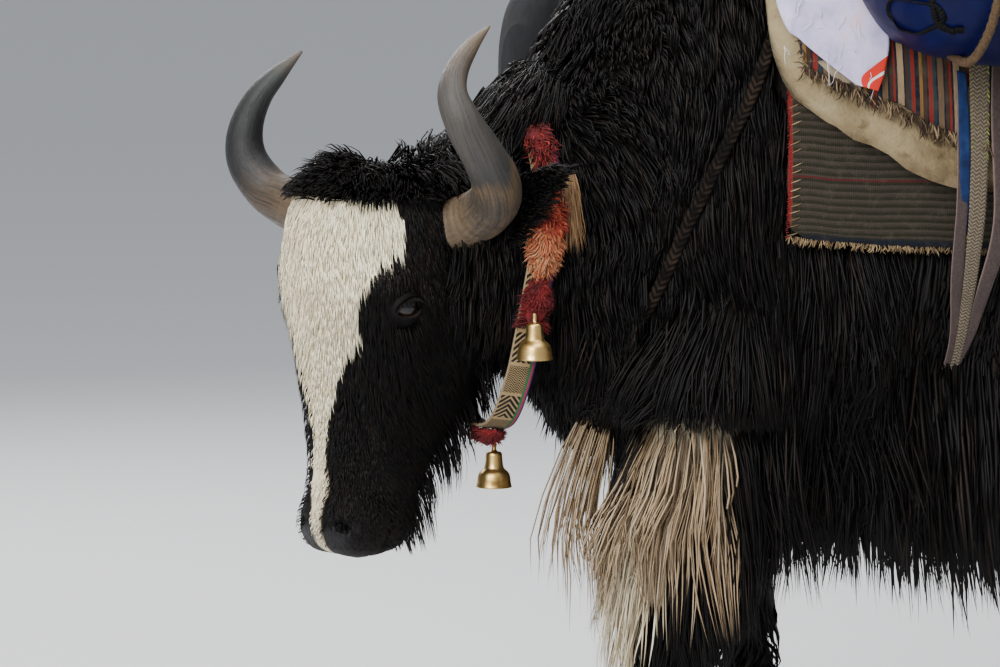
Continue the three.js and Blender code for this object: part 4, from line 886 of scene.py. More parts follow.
def over_cloths(x, angle):
    """How far the topmost cloth stands off the skin, easing down below each edge and ahead of each front."""
    top = np.full(np.shape(x), PRESSED)
    for cut in CLOTHS.values():
        edge = edge_angle(cut, x)
        cover = step(angle, edge - 8, edge - 1.5) * (1 - step(x, cut["front"] + 4, cut["front"] + 34))
        top = np.maximum(top, PRESSED + (cut["lift"] + cut["thick"] + 2 - PRESSED) * cover)
    return top


def folded(angle):
    """The angle mirrored to the left side, from -90 to 90."""
    angle = (np.asarray(angle) + 90) % 360 - 90
    return np.where(angle > 90, 180 - angle, angle)


def outside(x, angle, cut):
    """Millimetres from a place on the trunk to a cloth's footprint, 0 or less inside it."""
    below = (edge_angle(cut, x) - folded(angle)) * 4.6
    return np.maximum(np.maximum(x - cut["front"], cut["rear"] - x), below)


breast_rows = through(BREAST + [[x, -180 - angle] for x, angle in BREAST[-2::-1]])
breast_route = breast_rows(np.linspace(0, 16, 161))
breast_points = trunk.on(breast_route[:, 0], breast_route[:, 1], BREAST_LIFT)
girth_x = {name: through([[value] for value in run["x"]]) for name, run in GIRTHS.items()}


def catmull(points, closed=False, fine=40):
    """A centripetal Catmull-Rom curve through points: on each span a cubic whose end slopes come from its
    neighbours, with steps in proportion to the square root of the distance between points."""
    points = np.asarray(points, float)
    if closed:
        padded = np.concatenate([points[-1:], points, points[:2]])
    else:
        padded = np.concatenate([2 * points[:1] - points[1:2], points, 2 * points[-1:] - points[-2:-1]])
    p0, p1, p2, p3 = padded[:-3], padded[1:-2], padded[2:-1], padded[3:]
    pairs = ((p0, p1), (p1, p2), (p2, p3))
    d0, d1, d2 = [np.sqrt(np.linalg.norm(b - a, axis=1, keepdims=True)) for a, b in pairs]
    m1 = ((p1 - p0) / d0 - (p2 - p0) / (d0 + d1) + (p2 - p1) / d1) * d1
    m2 = ((p2 - p1) / d1 - (p3 - p1) / (d1 + d2) + (p3 - p2) / d2) * d1
    u = np.linspace(0, 1, fine, endpoint=False)[None, :, None]
    p1, p2, m1, m2 = [a[:, None] for a in (p1, p2, m1, m2)]
    curve = p1 + m1 * u + (-3 * p1 + 3 * p2 - 2 * m1 - m2) * u ** 2 + (2 * p1 - 2 * p2 + m1 + m2) * u ** 3
    curve = curve.reshape(-1, 3)
    return np.concatenate([curve, curve[:1] if closed else points[-1:]])


def spaced(curve, shares):
    """Points at shares of a curve's length."""
    far = run_of(curve)
    return np.stack([np.interp(np.asarray(shares) * far[-1], far, curve[:, k]) for k in range(3)], -1)


# %% The collar's loop
# x, angle on the neck, lift, from the crest down the left side to the throat
COLLAR = [
    [470, 90, 22], [469, 66, 22], [468, 45, 22], [470, 25, 23], [477, 5, 25], [487, -16, 31], [497, -36, 52],
    [503, -50, 75], [508, -70, 104], [506, -90, 107],
]
COLLAR_CENTRE = np.array([478.0, 14.0, 770.0])
left_half = np.array(COLLAR, float)
right_half = left_half[-2:0:-1] * [1, -1, 1] + [0, 180, 0]
loop = np.concatenate([left_half, right_half])
collar_curve = catmull(trunk.on(loop[:, 0], loop[:, 1], loop[:, 2]), closed=True)
collar_length = np.linalg.norm(np.diff(collar_curve, axis=0), axis=1).sum()
print("collar's length in mm:", round(float(collar_length)))


def on_collar(share):
    """The collar's middle, its direction along, straight out and across, at shares of its length."""
    share = np.asarray(share, float)
    at = spaced(collar_curve, share % 1)
    along = unit(spaced(collar_curve, (share + 0.002) % 1) - spaced(collar_curve, (share - 0.002) % 1))
    hangs = step(COLLAR_CENTRE[2] - at[..., 2:], 30, 90)
    t, angle, _ = trunk.read(at)
    out = trunk.out(t, angle) * (1 - hangs) + unit(at - COLLAR_CENTRE) * hangs
    out = unit(out - along * dot(out, along))
    return at, along, out, unit(np.cross(along, out))


BELL_CROWNS = {"left": (498, 168, 706), "throat": (500, 34, 540), "right": (498, -140, 706)}


def near_bells(points, margin=5):
    """True where a point is inside the upright cylinder that holds one of the bells."""
    hit = np.zeros(points.shape[:-1], bool)
    for crown in BELL_CROWNS.values():
        off = points - np.array(crown, float)
        hit |= (np.hypot(off[..., 0], off[..., 1]) < 22 + margin) & (off[..., 2] < 14) & (off[..., 2] > -48)
    return hit


def nearest(points, line):
    """The distance from each point to the nearest of a line's points, and that point's number."""
    flat = points.reshape(-1, 3)
    found = [np.linalg.norm(flat[k:k + 30000, None] - line, axis=-1) for k in range(0, len(flat), 30000)]
    index = np.concatenate([f.argmin(1) for f in found])
    far = np.concatenate([f.min(1) for f in found])
    return far.reshape(points.shape[:-1]), index.reshape(points.shape[:-1])


collar_shares = np.linspace(0, 1, 121)[:-1]
collar_points = spaced(collar_curve, collar_shares)
collar_lift = trunk.read(collar_points)[2]
collar_reach = np.interp(collar_shares,
                         [0, 0.13, 0.15, 0.25, 0.306, 0.33, 0.67, 0.694, 0.75, 0.85, 0.87, 1],
                         [26, 26, 24, 24, 22, 17, 17, 22, 24, 24, 26, 26])


def strap_turn(name, angle):
    """The share of a girth's route at each angle, above 1 where it doesn't reach."""
    run = GIRTHS[name]
    return (360 - (angle - run["start"]) % 360) / (run["start"] - run["end"])


def off_girth(name, x, angle):
    """Millimetres from a place on the trunk to the edge of a girth, less than 0 on it."""
    run = GIRTHS[name]
    middle = girth_x[name](np.clip(strap_turn(name, angle), 0, 1) * (len(run["x"]) - 1))[..., 0]
    return np.abs(x - middle) - run["width"] / 2


def nape(angle):
    """1 over the crest of the neck and 0 from 46 degrees down either side."""
    return 1 - step(np.abs((angle + 90) % 360 - 180), 34, 46)


def low_flank(angle):
    """1 low on the flanks, where hair falls over the girths, and 0 above."""
    return 1 - step(folded(angle), -54, -44)


def floor_of(points):
    """The least that hair stands off the trunk where it falls over gear: over the collar at the nape, the
    girths low on the flanks, and the breast strap ahead of the shoulder. 0 elsewhere."""
    x, angle, _ = trunk.read(points)
    far, _ = nearest(points, collar_points)
    least = (47 - np.maximum(far - 24, 0)) * nape(angle)
    for name in GIRTHS:
        off = np.maximum(off_girth(name, x, angle), 0)
        least = np.maximum(least, (PRESSED + 7 - off) * low_flank(angle))
    far, _ = nearest(points, breast_points)
    return np.maximum(least, (BREAST_LIFT + 8 - 1.2 * np.maximum(far - 10, 0)) * step(x, 364, 376))


FREE = 400.0  # a lift that no hair reaches, where nothing holds it down


def ceiling(points):
    """The most that hair may stand off the trunk: less than the lift of a cloth or strap that lies on it,
    and rising with the distance from it."""
    x, angle, _ = trunk.read(points)
    most = np.full(x.shape, FREE)
    for cut in CLOTHS.values():
        most = np.minimum(most, cut["lift"] - 4 + 1.6 * np.maximum(outside(x, angle, cut), 0))
    for name in GIRTHS:
        far = (np.where(strap_turn(name, angle) > 1, FREE, off_girth(name, x, angle))
               + FREE * low_flank(angle))
        most = np.minimum(most, PRESSED - 4 + 1.2 * np.maximum(far, 0))
    far, _ = nearest(points, breast_points)
    most = np.minimum(most, BREAST_LIFT - 4 + 1.2 * np.maximum(far - 10, 0) + FREE * step(x, 364, 376))
    far, which = nearest(points, collar_points)
    beside = collar_lift[which] - 5 + 1.1 * np.maximum(far - collar_reach[which], 0)
    return np.minimum(most, beside + FREE * nape(angle))


# %% [markdown]
# ## Growing the coat
# A yak's coat is short and dense on the face, shaggy on hump and neck, and hangs as a long skirt from flank
# and chest. Particle hair isn't kept by an export, so each strand here is a small closed mesh: three thin
# sides along a bent path, drawn to a point. Neighbours lean to a common guide, which makes locks.

# %% Strands
def scatter(tube, t_range, angle_range, count, density=None, seed=0):
    """Roots spread evenly over a stretch of skin. Each of many random places draws a lot, weighted by the
    area it stands for and by a density, and the places with the best lots are kept."""
    chance = np.random.default_rng(seed)
    t, angle = chance.uniform(*t_range, count * 5), chance.uniform(*angle_range, count * 5)
    small = (tube.last - tube.first) * 1e-3
    area = np.linalg.norm(np.cross(tube.on(t + small, angle) - tube.on(t, angle),
                                   tube.on(t, angle + 0.5) - tube.on(t, angle)), axis=-1)
    weight = area * (1.0 if density is None else density(t, angle))
    lot = np.where(weight > 0, chance.random(len(t)) ** (weight.mean() / np.maximum(weight, 1e-9)), -1)
    best = np.argsort(lot)[-count:]
    return t[best][lot[best] > 0], angle[best][lot[best] > 0]


def grow(tube, t, angle, length, lie, steps, depth, seed, droop, wave, wave_size, clump, clump_size,
         most=None, least=None):
    """Paths of strands. From its root each goes along its lie, turns downwards by droop times the share of
    its length, wanders by smooth noise, keeps above its own layer of the coat and between least(point)
    and most(point), and leans towards the nearest guide strand by clump times that share."""
    chance = np.random.default_rng(seed)
    n = len(t)
    out = tube.out(t, angle)
    layer = depth * chance.random(n) ** 0.8
    path = [tube.on(t, angle, -4.0)]
    shift = chance.normal(size=(n, 3)) * 0.25
    for i in range(1, steps + 1):
        share = i / steps
        field = drift(path[-1], wave_size, seed)
        way = unit(lie * (1 - droop * share) + DOWN * droop * share + wave * (field + shift))
        path.append(path[-1] + way * (length / steps)[:, None])
        path[-1] = tube.held(path[-1], low=2 + layer * min(1.0, 1.5 * share))
    path = np.stack(path, 1)
    guides = np.arange(0, n, clump_size)
    a, b = path[:, 0], path[guides, 0]
    square = (a * a).sum(1)[:, None] + (b * b).sum(1)[None] - 2 * a @ b.T
    index = square.argmin(1)
    near = np.exp(-np.maximum(square[np.arange(n), index], 0) / (26.0 + 2.2 * np.sqrt(length)) ** 2)
    pull = clump * near[:, None, None] * (np.arange(steps + 1) / steps)[None, :, None] ** 1.4
    path = path + (path[guides][index] - path) * pull
    if most is not None:
        for i in range(1, steps + 1):
            high = most(path[:, i]) * (0.55 + 0.45 * chance.random(n))
            path[:, i] = tube.held(path[:, i], high=np.maximum(high, 1.0))
    if least is not None:
        for i in range(1, steps + 1):
            path[:, i] = tube.held(path[:, i], low=least(path[:, i]) * (1 + 0.25 * chance.random(n)))
    return path, out


BODY_WIDTH = np.array([0.55, 1.0, 0.8, 0.35])


def strands_mesh(name, path, out, width, uv, seed, flat=0.45, marks=None):
    """Closed strands of three sides: at each point of a path a triangle across it, width times a profile
    that swells after the root and thins to the tip, and flat times that in thickness. UV map OFBake holds
    a small patch at each root."""
    n, k = path.shape[:2]
    chance = np.random.default_rng(seed)
    along = unit(np.gradient(path, axis=1))
    across = unit(np.cross(along, out[:, None] + 0.35 * chance.normal(size=(n, 1, 3))))
    lift = unit(np.cross(across, along))
    share = np.arange(k - 1) / (k - 1)
    half = (width[:, None] / 2 * np.interp(share, [0, 0.3, 0.7, 1], BODY_WIDTH)[None])[..., None]
    middle = path[:, :-1]
    sideways, under = across[:, :-1] * half, lift[:, :-1] * half * flat * 0.6
    corners = np.stack([middle - sideways - under, middle + sideways - under,
                        middle + lift[:, :-1] * half * flat], 2)
    points = np.concatenate([corners.reshape(n, -1, 3), path[:, -1:]], 1)
    size = 3 * (k - 1) + 1
    a = grid_faces(k - 1, 3, True)[:, ::-1]
    last = 3 * (k - 2)
    tip = np.array([[last + j, last + (j + 1) % 3, size - 1] for j in range(3)] + [[0, 2, 1]])[:, ::-1]
    base = (np.arange(n) * size)[:, None, None]
    quads, ends = (a[None] + base).reshape(-1, 4), (tip[None] + base).reshape(-1, 3)
    mesh = mesh_of(name, points, [quads, ends] if k > 2 else [ends])
    outward_faces(mesh)
    patch = np.stack(np.meshgrid(share - 0.5, [-0.5, 0.5, 0.0], indexing="ij"), -1).reshape(-1, 2)
    place = uv[:, None] + 0.003 * np.concatenate([patch, [[0.5, 0.0]]])[None]
    own_map(mesh, "OFBake", np.clip(place, 0.001, 0.999))
    mark(mesh, "along", np.tile(np.append(np.repeat(share, 3), 1.0), n))
    mark(mesh, "shade", np.repeat(chance.random(n), size))
    far = run_of(path, 1) / 30
    mark(mesh, "run", np.concatenate([np.repeat(far[:, :-1], 3, axis=1), far[:, -1:]], 1).ravel())
    ribs = (half[..., 0] * 2.4)[..., None] * np.array([-1, 1, 0])
    mark(mesh, "across", np.concatenate([ribs.reshape(n, -1), np.zeros((n, 1))], 1).ravel())
    for key, value in (marks or {}).items():
        mark(mesh, key, np.repeat(value, size))
    return mesh


def root_uv(tube, t, angle):
    """A root's place on the skin unrolled, along the tube and round it, just inside the map's edges."""
    u = (t - min(tube.first, tube.last)) / abs(tube.last - tube.first)
    v = ((angle + 90) % 360) / 360
    return 0.01 + 0.98 * np.stack([u, v], -1)


# %% The finish of hair
strand = Finish("hair", IOR=1.5, Specular_IOR_Level=0.14, Roughness=0.5)
tone = strand.cloud(9.0, 4.0)
grain_at = strand.add("CombineXYZ", X=strand.value("across"), Y=strand.times(strand.value("shade"), 997.0),
                      Z=strand.value("run"))
grain = strand.noise(grain_at, 1.0, 2.0)
shade = strand.times(strand.value("shade"), 0.55, strand.times(tone, 0.45))
fine = strand.times(strand.maths("SUBTRACT", grain, 0.5), 0.55, shade)
dark = strand.ramp(fine, (0.15, (0.0018, 0.0016, 0.0019)), (0.55, (0.0046, 0.0038, 0.0038)),
                   (0.80, (0.012, 0.0082, 0.0060)), (1.0, (0.040, 0.026, 0.017)))
tan = strand.ramp(fine, (0.1, (0.66, 0.52, 0.30)), (0.4, (0.90, 0.80, 0.55)), (0.8, (0.95, 0.90, 0.70)))
worn = strand.mix(strand.times(strand.value("along"), 0.22), tan, (0.84, 0.72, 0.50))
soiled = strand.mix(strand.value("cream"), (0.22, 0.130, 0.064), worn)
strand_finish = strand.done(
    Base_Color=strand.mix(strand.maths("MINIMUM", strand.times(strand.value("cream"), 9.0), 1.0), dark,
                          soiled),
    Normal=strand.bump(grain, 0.7, 0.0007),
)


def coat(name, tube, t, angle, length, lie, width, steps, depth, seed, cream=None, keep=None, flat=0.45,
         dull=(1, 1), **growing):
    """One piece of coat: its strands are grown, those that would pass through a bell or that keep(path)
    turns down are left out, and the rest are made one mesh. cream(t, angle, root) is the chance of cream,
    and dull is the range in which the paleness of a cream strand is drawn."""
    path, out = grow(tube, t, angle, length, lie, steps, depth, seed, **growing)
    good = ~near_bells(path).any(1)
    if keep is not None:
        good &= keep(path)
    root = path[:, 0]
    cream = np.zeros(len(t)) if cream is None else cream(t, angle, root)
    cream = (cream > spread_of(len(t), 0.25, 0.75, seed + 5)) * spread_of(len(t), *dull, seed + 6)
    uv = root_uv(tube, t, angle)
    mesh = strands_mesh(name, path[good], out[good], width[good], uv[good], seed, flat,
                        {"cream": cream[good]})
    return piece(name, mesh, strand_finish)


def spread_of(count, low, high, seed):
    """Numbers drawn evenly from low to high."""
    return np.random.default_rng(seed).uniform(low, high, count)

# %% [markdown]
# ## Hair of the head
# The face has short dense fur that runs down from the poll, longer on the cheeks. A mop falls forward from
# the poll between the horns, and thin wisps hang under the jaw.

# %% Roots kept off lids, lips, horns and ears
HORNS = {
    "horn_left": [
        (62, -118, 84, 32), (100, -138, 73, 32), (136, -143, 59, 31), (174, -132, 38, 30),
        (204, -103, 11, 28), (223, -67, -19, 25), (226, -36, -55, 22), (214, -30, -87, 18),
        (200, -48, -114, 14), (188, -80, -140, 9.5), (182, -115, -163, 1.5),
    ],
    "horn_right": [
        (-59, -90, 84, 32), (-95, -94, 76, 32), (-125, -96, 69, 31), (-158, -97, 60, 30),
        (-188, -90, 46, 28), (-210, -80, 19, 26), (-217, -76, -8, 23.5), (-213, -78, -38, 20),
        (-203, -88, -68, 16), (-192, -106, -92, 11.5), (-179, -135, -121, 1.5),
    ],
}
HORN_ROOTS = in_head([row[:3] for rows in HORNS.values() for row in rows[:3]])


def bare(down, angle):
    """1 where the face carries fur and 0 on lids, nostrils, muzzle leather and under the horns."""
    points = head.on(down, angle)
    place = either_side(points)
    eye = np.hypot((place[:, 1] - EYE_AT[1]) / 21, (place[:, 2] - EYE_AT[2]) / 14) > 1
    horn = nearest(points, HORN_ROOTS)[0] > 23
    return (eye | (place[:, 0] < 60)) & (muzzle(points) < 0.72) & horn & (place[:, 2] < 452)


def face_lie(angle, out):
    """Down the face, parting from the midline, and back along the cheeks."""
    turn = np.radians(angle)
    side = (np.cos(turn) * 0.15)[:, None] * HEAD_SIDE
    cheek = step(np.abs(folded(angle) - 90), 50, 100)[:, None]
    return unit(DOWN + side * (1 - cheek) - HEAD_FRONT * 0.55 * cheek + out * 0.05)


def face_hair(name, sides, count, seed):
    """Short fur over one side of the head."""
    down, angle = scatter(head, (6, 460), sides, count, bare, seed)
    fold = folded(angle)
    length = np.interp(down, [0, 60, 130, 250, 330, 400, 460], [34, 36, 32, 26, 17, 10, 7])
    length *= (np.interp(fold, [-90, -50, -10, 40, 75, 90], [1.7, 1.5, 1.25, 1.0, 0.8, 0.8])
               * spread_of(len(down), 0.75, 1.25, seed))
    out = head.out(down, angle)
    width = (np.interp(down, [0, 250, 400, 460], [2.2, 1.9, 1.5, 1.1])
             * spread_of(len(down), 0.7, 1.25, seed + 1))
    return coat(name, head, down, angle, length, face_lie(angle, out), width, steps=2, depth=2.2, seed=seed,
                cream=lambda t, a, p: blaze(t + 11, a, 3 * noise(p, 26.0, 8)), flat=0.22, droop=0.1,
                wave=0.10,
                wave_size=60.0, clump=0.3, clump_size=7, least=lambda p: relief(p) + 2.2)


face_hair("fur_face_left", (-90, 92), 16500, 21)
face_hair("fur_face_right", (88, 270), 7000, 22)

# %% Forelock, chin and jaw
def above_blaze(path):
    """True for strands of the mop that end above the blaze."""
    return (to_head(path)[..., 2] < 46).all(1)


MOPS = (("fur_forelock", (4, 42), (4, 176), 2100, 31), ("fur_poll", (4, 46), (-90, 270), 1200, 39))
for name, down_range, sides, count, seed in MOPS:
    down, angle = scatter(head, down_range, sides, count, None, seed)
    out = head.out(down, angle)
    far_side, crown = step(angle, 95, 140)[:, None], np.exp(-(((angle - 75) / 28) ** 2))[:, None]
    parted = HEAD_SIDE * (np.cos(np.radians(angle)) * 0.5)[:, None]
    fall = unit(out * (0.38 - 0.30 * far_side + 0.25 * crown) + HEAD_FRONT * 0.32 + DOWN * 0.5 * far_side
                + parted)
    length = (np.interp(down, [4, 46], [56, 38]) * spread_of(len(down), 0.6, 1.15, seed + 1)
              * (1 - 0.4 * far_side[:, 0]))
    coat(name, head, down, angle, length, fall, spread_of(len(down), 1.8, 3.4, seed + 2), steps=4,
         depth=20.0, droop=0.4, wave=0.34,
         wave_size=34.0, clump=0.4, clump_size=14, cream=lambda t, a, p: 0 * t, keep=above_blaze,
         seed=seed + 3)

down, angle = scatter(head, (120, 446), (-140, -40), 1500, bare, 35)
out = head.out(down, angle)
length = np.interp(down, [120, 250, 380, 446], [75, 95, 85, 26]) * spread_of(len(down), 0.4, 1.15, 36)
coat("fur_jaw", head, down, angle, length, unit(DOWN - HEAD_FRONT * 0.35 + out * 0.5),
     spread_of(len(down), 1.4, 3.0, 37), steps=4, depth=12.0, droop=0.8, wave=0.3, wave_size=50.0,
     clump=0.5, clump_size=9, seed=38)

# %% [markdown]
# ## Hair of the trunk
# The strands are finest and closest on neck and shoulder and a little broader towards the rear. On the
# neck and hump they are shaggy; on the flanks they lie down, and the lowest rows hang to the skirt's tips.

# %% Trunk hair
skirt_tips = through(SKIRT, 0)


def trunk_length(x, angle):
    """Hair length by how far round the side it grows, shorter ahead of the shoulder, and no longer than
    its way down to the skirt's tips."""
    fold = folded(angle)
    rear = np.interp(fold, [-90, -65, -45, -30, -10, 20, 60, 90], [200, 300, 330, 260, 150, 105, 95, 100])
    neck = np.interp(fold, [-90, -60, -30, 0, 45, 90], [170, 150, 100, 72, 70, 92])
    length = rear + (neck - rear) * step(x, 250, 400)
    elbow = step(x, 330, 370) * (1 - step(x, 480, 510)) * step(trunk.on(x, angle)[..., 1], 60, 110)
    tips = skirt_tips(x)[..., 1]
    tips = tips + (np.maximum(np.interp(x, [350, 440], [532, 590]), tips) - tips) * elbow
    fall = trunk.on(x, angle)[..., 2] - tips
    return np.minimum(length, np.maximum(fall * 1.02, 60 - 38 * elbow))


def trunk_lie(x, angle, out):
    """Down and a little back on the neck, down and back on the flanks, outwards to both sides on the top."""
    back = np.interp(x, [-1088, -800, -300, 150, 300, 450, 655],
                     [-1.1, -0.7, -0.25, 0.05, 0.12, -0.15, -0.2])
    top = step(folded(angle), 45, 85)[:, None]
    back = back + 0.9 * step(x, 385, 415) * (1 - step(x, 480, 500)) * step(folded(angle), 36, 60)
    way = X * back[:, None] + DOWN * (1 - 0.75 * top) + Y * (np.cos(np.radians(angle)) * 1.2)[:, None] * top
    return unit(way + out * (0.22 + 0.35 * top))


def free_of_cloths(x, angle):
    """1 where the trunk isn't under a cloth, but for a strip inside its edge."""
    return np.min([outside(x, angle, cut) for cut in CLOTHS.values()], 0) > -22


def free_of_head(path):
    """True for strands that don't run into the skull's solid from the neck."""
    _, _, lift = head.read(path)
    inside = (to_head(path)[..., 2] > 12) & (to_head(path)[..., 2] < 455) & (lift < -4)
    return ~inside.any(1)


def trunk_hair(name, x_range, sides, count, width, seed, steps=3, part=lambda fold: 1.0, clump=0.62):
    """A stretch of the trunk's coat, thinned by part(angle mirrored to the left side)."""
    x, angle = scatter(trunk, x_range, sides, count, lambda t, a: free_of_cloths(t, a) * part(folded(a)),
                       seed)
    length = trunk_length(x, angle) * np.random.default_rng(seed).triangular(0.35, 0.95, 1.2, len(x))
    lie = trunk_lie(x, angle, trunk.out(x, angle))
    thick = width * spread_of(len(x), 0.65, 1.25, seed + 1)
    return coat(name, trunk, x, angle, length, lie, thick, steps=steps, depth=34.0, seed=seed,
                keep=free_of_head, droop=0.85, wave=0.34, wave_size=75.0, clump=clump, clump_size=13,
                most=ceiling, least=floor_of)


trunk_hair("coat_neck_left", (330, 648), (-90, 92), 8900, 2.9, 41)
trunk_hair("coat_neck_right", (330, 648), (88, 270), 2400, 7.5, 42)
trunk_hair("coat_shoulder_left", (40, 345), (-66, 95), 9300, 3.2, 43,
           part=lambda a: 0.15 + 0.85 * step(a, -66, -30))
trunk_hair("coat_shoulder_right", (40, 345), (85, 225), 2300, 10, 44)
trunk_hair("coat_flank_left", (-420, 60), (-60, 40), 3700, 6.0, 45,
           part=lambda a: 0.15 + 0.85 * step(a, -60, -32))
trunk_hair("coat_flank_right", (-420, 60), (140, 220), 2000, 11, 46)
trunk_hair("coat_rump_left", (-1086, -400), (-45, 92), 2700, 11.5, 47)
trunk_hair("coat_rump_right", (-1086, -400), (88, 225), 2600, 12, 48)
trunk_hair("coat_skirt_front", (60, 520), (-150, -14), 4400, 4.2, 49, steps=5, clump=0.6,
           part=lambda a: 1 - 0.93 * step(a, -52, -16))
trunk_hair("coat_skirt_rear", (-1000, 80), (-162, -18), 3000, 10.5, 50, clump=0.7,
           part=lambda a: 1 - 0.9 * step(a, -50, -20))

# %% Legs
def leg_hair(name, seed, count, width, mark_it=None, steps=3):
    """Long hair down to the knee or hock, short fur below it."""
    tube = legs[name]
    z, angle = scatter(tube, (70, 740), (0, 360), count, None, seed)
    length = np.interp(z, [60, 110, 230, 300, 420, 560, 740], [12, 20, 26, 60, 140, 200, 200])
    length = length * spread_of(len(z), 0.65, 1.1, seed)
    out = tube.out(z, angle)
    ahead = (mark_it is not None) * np.maximum(out[:, :1], 0) * step(z, 300, 420)[:, None]
    lie = unit(DOWN + out * 0.3 + X * (0.75 * ahead - 0.08))
    length = np.minimum(length, np.maximum(z - 50, 10))
    if mark_it is not None:
        length = np.where(z > 592, np.minimum(length, np.maximum(z - 574, 22)), length)
    thick = width * np.interp(z, [60, 230, 400], [0.5, 0.6, 1.0]) * spread_of(len(z), 0.65, 1.2, seed + 1)
    depth = (16.0 if "front" in name else 14.0) if mark_it is None else 16 + 34 * ahead[:, 0]
    brown = step(z, 465, 510) * (1 - step(tube.on(z, angle)[:, 0], 388, 420))
    return coat(name.replace("leg", "coat_leg"), tube, z, angle, length, lie, thick, steps=steps,
                depth=depth, droop=0.8, wave=0.3, wave_size=55.0, clump=0.65, clump_size=12, cream=mark_it,
                dull=(0.30 - 0.25 * brown, 0.90 - 0.65 * brown), seed=seed)


leg_hair("leg_front_left", 61, 5400, 2.7, lambda z, a, p: sleeve(p), steps=4)

x, height = spread_of(1500, 362, 482, 65), spread_of(1500, 552, 604, 66)
angle = side_angle(x, height, 0.0)
root = trunk.on(x, angle)
use = (root[:, 1] > 70) & (np.abs(root[:, 2] - height) < 6)
x, angle, root = x[use], angle[use], root[use]
length = np.minimum(spread_of(len(x), 170, 320, 67), root[:, 2] - 280)
brown = 1 - step(x, 392, 425)
coat("coat_sleeve", trunk, x, angle, length, unit(DOWN + 0.10 * X + trunk.out(x, angle) * 0.12),
     spread_of(len(x), 1.5, 2.7, 69), steps=4, depth=14.0, droop=0.9,
     wave=0.36, wave_size=60.0, clump=0.6, clump_size=12, cream=lambda t, a, p: 1 + 0 * t,
     dull=(0.26 - 0.21 * brown, 0.8 - 0.55 * brown), seed=68)
leg_hair("leg_front_right", 62, 1300, 9.0)
leg_hair("leg_hind_left", 63, 1300, 10.0)
leg_hair("leg_hind_right", 64, 1300, 10.0)

# %% Tail
t, angle = scatter(tail, (1.2, 6.0), (0, 360), 1200, None, 71)
out = tail.out(t, angle)
length = np.interp(t, [1.2, 2, 4, 5, 6], [60, 190, 260, 170, 60]) * spread_of(len(t), 0.7, 1.05, 72)
coat("coat_tail", tail, t, angle, length, unit(DOWN + out * 0.35), spread_of(len(t), 5, 10, 73), steps=4,
     depth=30.0, droop=0.9, wave=0.3, wave_size=80.0, clump=0.6, clump_size=14, seed=74)

# %% [markdown]
# ## Ears, eyes and lids
# The ear is part of the skin, so only its fur is made here. The eye is a wet ball with a dark iris and a
# level, oval pupil. Each pair of lids is a ring whose inner rim is an almond on the ball and whose outer
# rim sinks into the skin, because a ring gives the crisp edge that a bump in the skin can't.

# %% Free strands
def free_strands(name, root, out, way, length, width, steps, finish, seed, droop=0.3, wave=0.25,
                 wave_size=30.0, marks=None, uv=None, bend=None):
    """Strands from given roots: straight along way, turned downwards by droop, wandering by smooth noise
    and, if it is given, moved by bend(points)."""
    chance = np.random.default_rng(seed)
    shift = chance.normal(size=root.shape) * 0.25
    path = [root]
    for i in range(1, steps + 1):
        share = i / steps
        field = drift(path[-1], wave_size, seed)
        turn = unit(way * (1 - droop * share) + DOWN * droop * share + wave * (field + shift))
        path.append(path[-1] + turn * (length / steps)[:, None])
        if bend is not None:
            path[-1] = bend(path[-1])
    path = np.stack(path, 1)
    uv = np.stack([(root[:, 0] % 97) / 97, (root[:, 2] % 97) / 97], -1) if uv is None else uv
    return piece(name, strands_mesh(name, path, out, width, uv, seed, marks=marks), finish)


EAR_HAIRS = 1250
for index, (name, (root, tip)) in enumerate(EARS.items()):
    chance = np.random.default_rng(81 + index)
    u, v = chance.uniform(0.04, 0.97, EAR_HAIRS), np.clip(chance.normal(0, 0.62, EAR_HAIRS), -1, 1)
    side = (chance.random(EAR_HAIRS) > 0.6).astype(float)
    surface = ear(root, tip, u, v, side)
    middle = ear(root, tip, u, v * 0, 0.5 + 0 * side)
    ahead, behind = np.minimum(u + 0.02, 1), np.maximum(u - 0.02, 0)
    along = unit(ear(root, tip, ahead, v, side) - ear(root, tip, behind, v, side))
    through_ear = ear(root, tip, u, v * 0, 1 + 0 * side) - ear(root, tip, u, v * 0, 0 * side)
    faces_out = unit(through_ear) * (2 * side - 1)[:, None]
    edge = np.abs(v)[:, None] ** 3
    outwards = unit(faces_out * (1 - edge) + unit(surface - middle + 1e-6) * edge)
    way = unit(along * 0.9 + outwards * 0.42)
    length = 19 + 9 * np.abs(v) ** 3 + chance.uniform(-5, 6, EAR_HAIRS)
    uv = np.stack([0.02 + 0.45 * u + 0.5 * side, 0.05 + 0.9 * (v + 1) / 2], -1)
    free_strands(f"fur_{name}", surface - outwards, outwards, way, length,
                 chance.uniform(2.6, 4.4, EAR_HAIRS), 3, strand_finish, 83 + index,
                 marks={"cream": np.zeros(EAR_HAIRS)}, uv=uv)


# %% Eyes
def hoop_mesh(name, rings):
    """A closed mesh from a grid that closes on itself both ways, such as a ring or a looped band."""
    rows, columns = rings.shape[:2]
    i, j = np.meshgrid(np.arange(rows), np.arange(columns), indexing="ij")
    ii, jj = (i + 1) % rows, (j + 1) % columns
    here, beyond = i * columns, ii * columns
    faces = np.stack([here + j, here + jj, beyond + jj, beyond + j], -1).reshape(-1, 4)
    return outward_faces(mesh_of(name, rings, faces))


def mirrored(place, mirror):
    """Points given in the head's frame for its left side, or mirrored to the right with -1."""
    return in_head(place * np.array([mirror, 1, 1]))


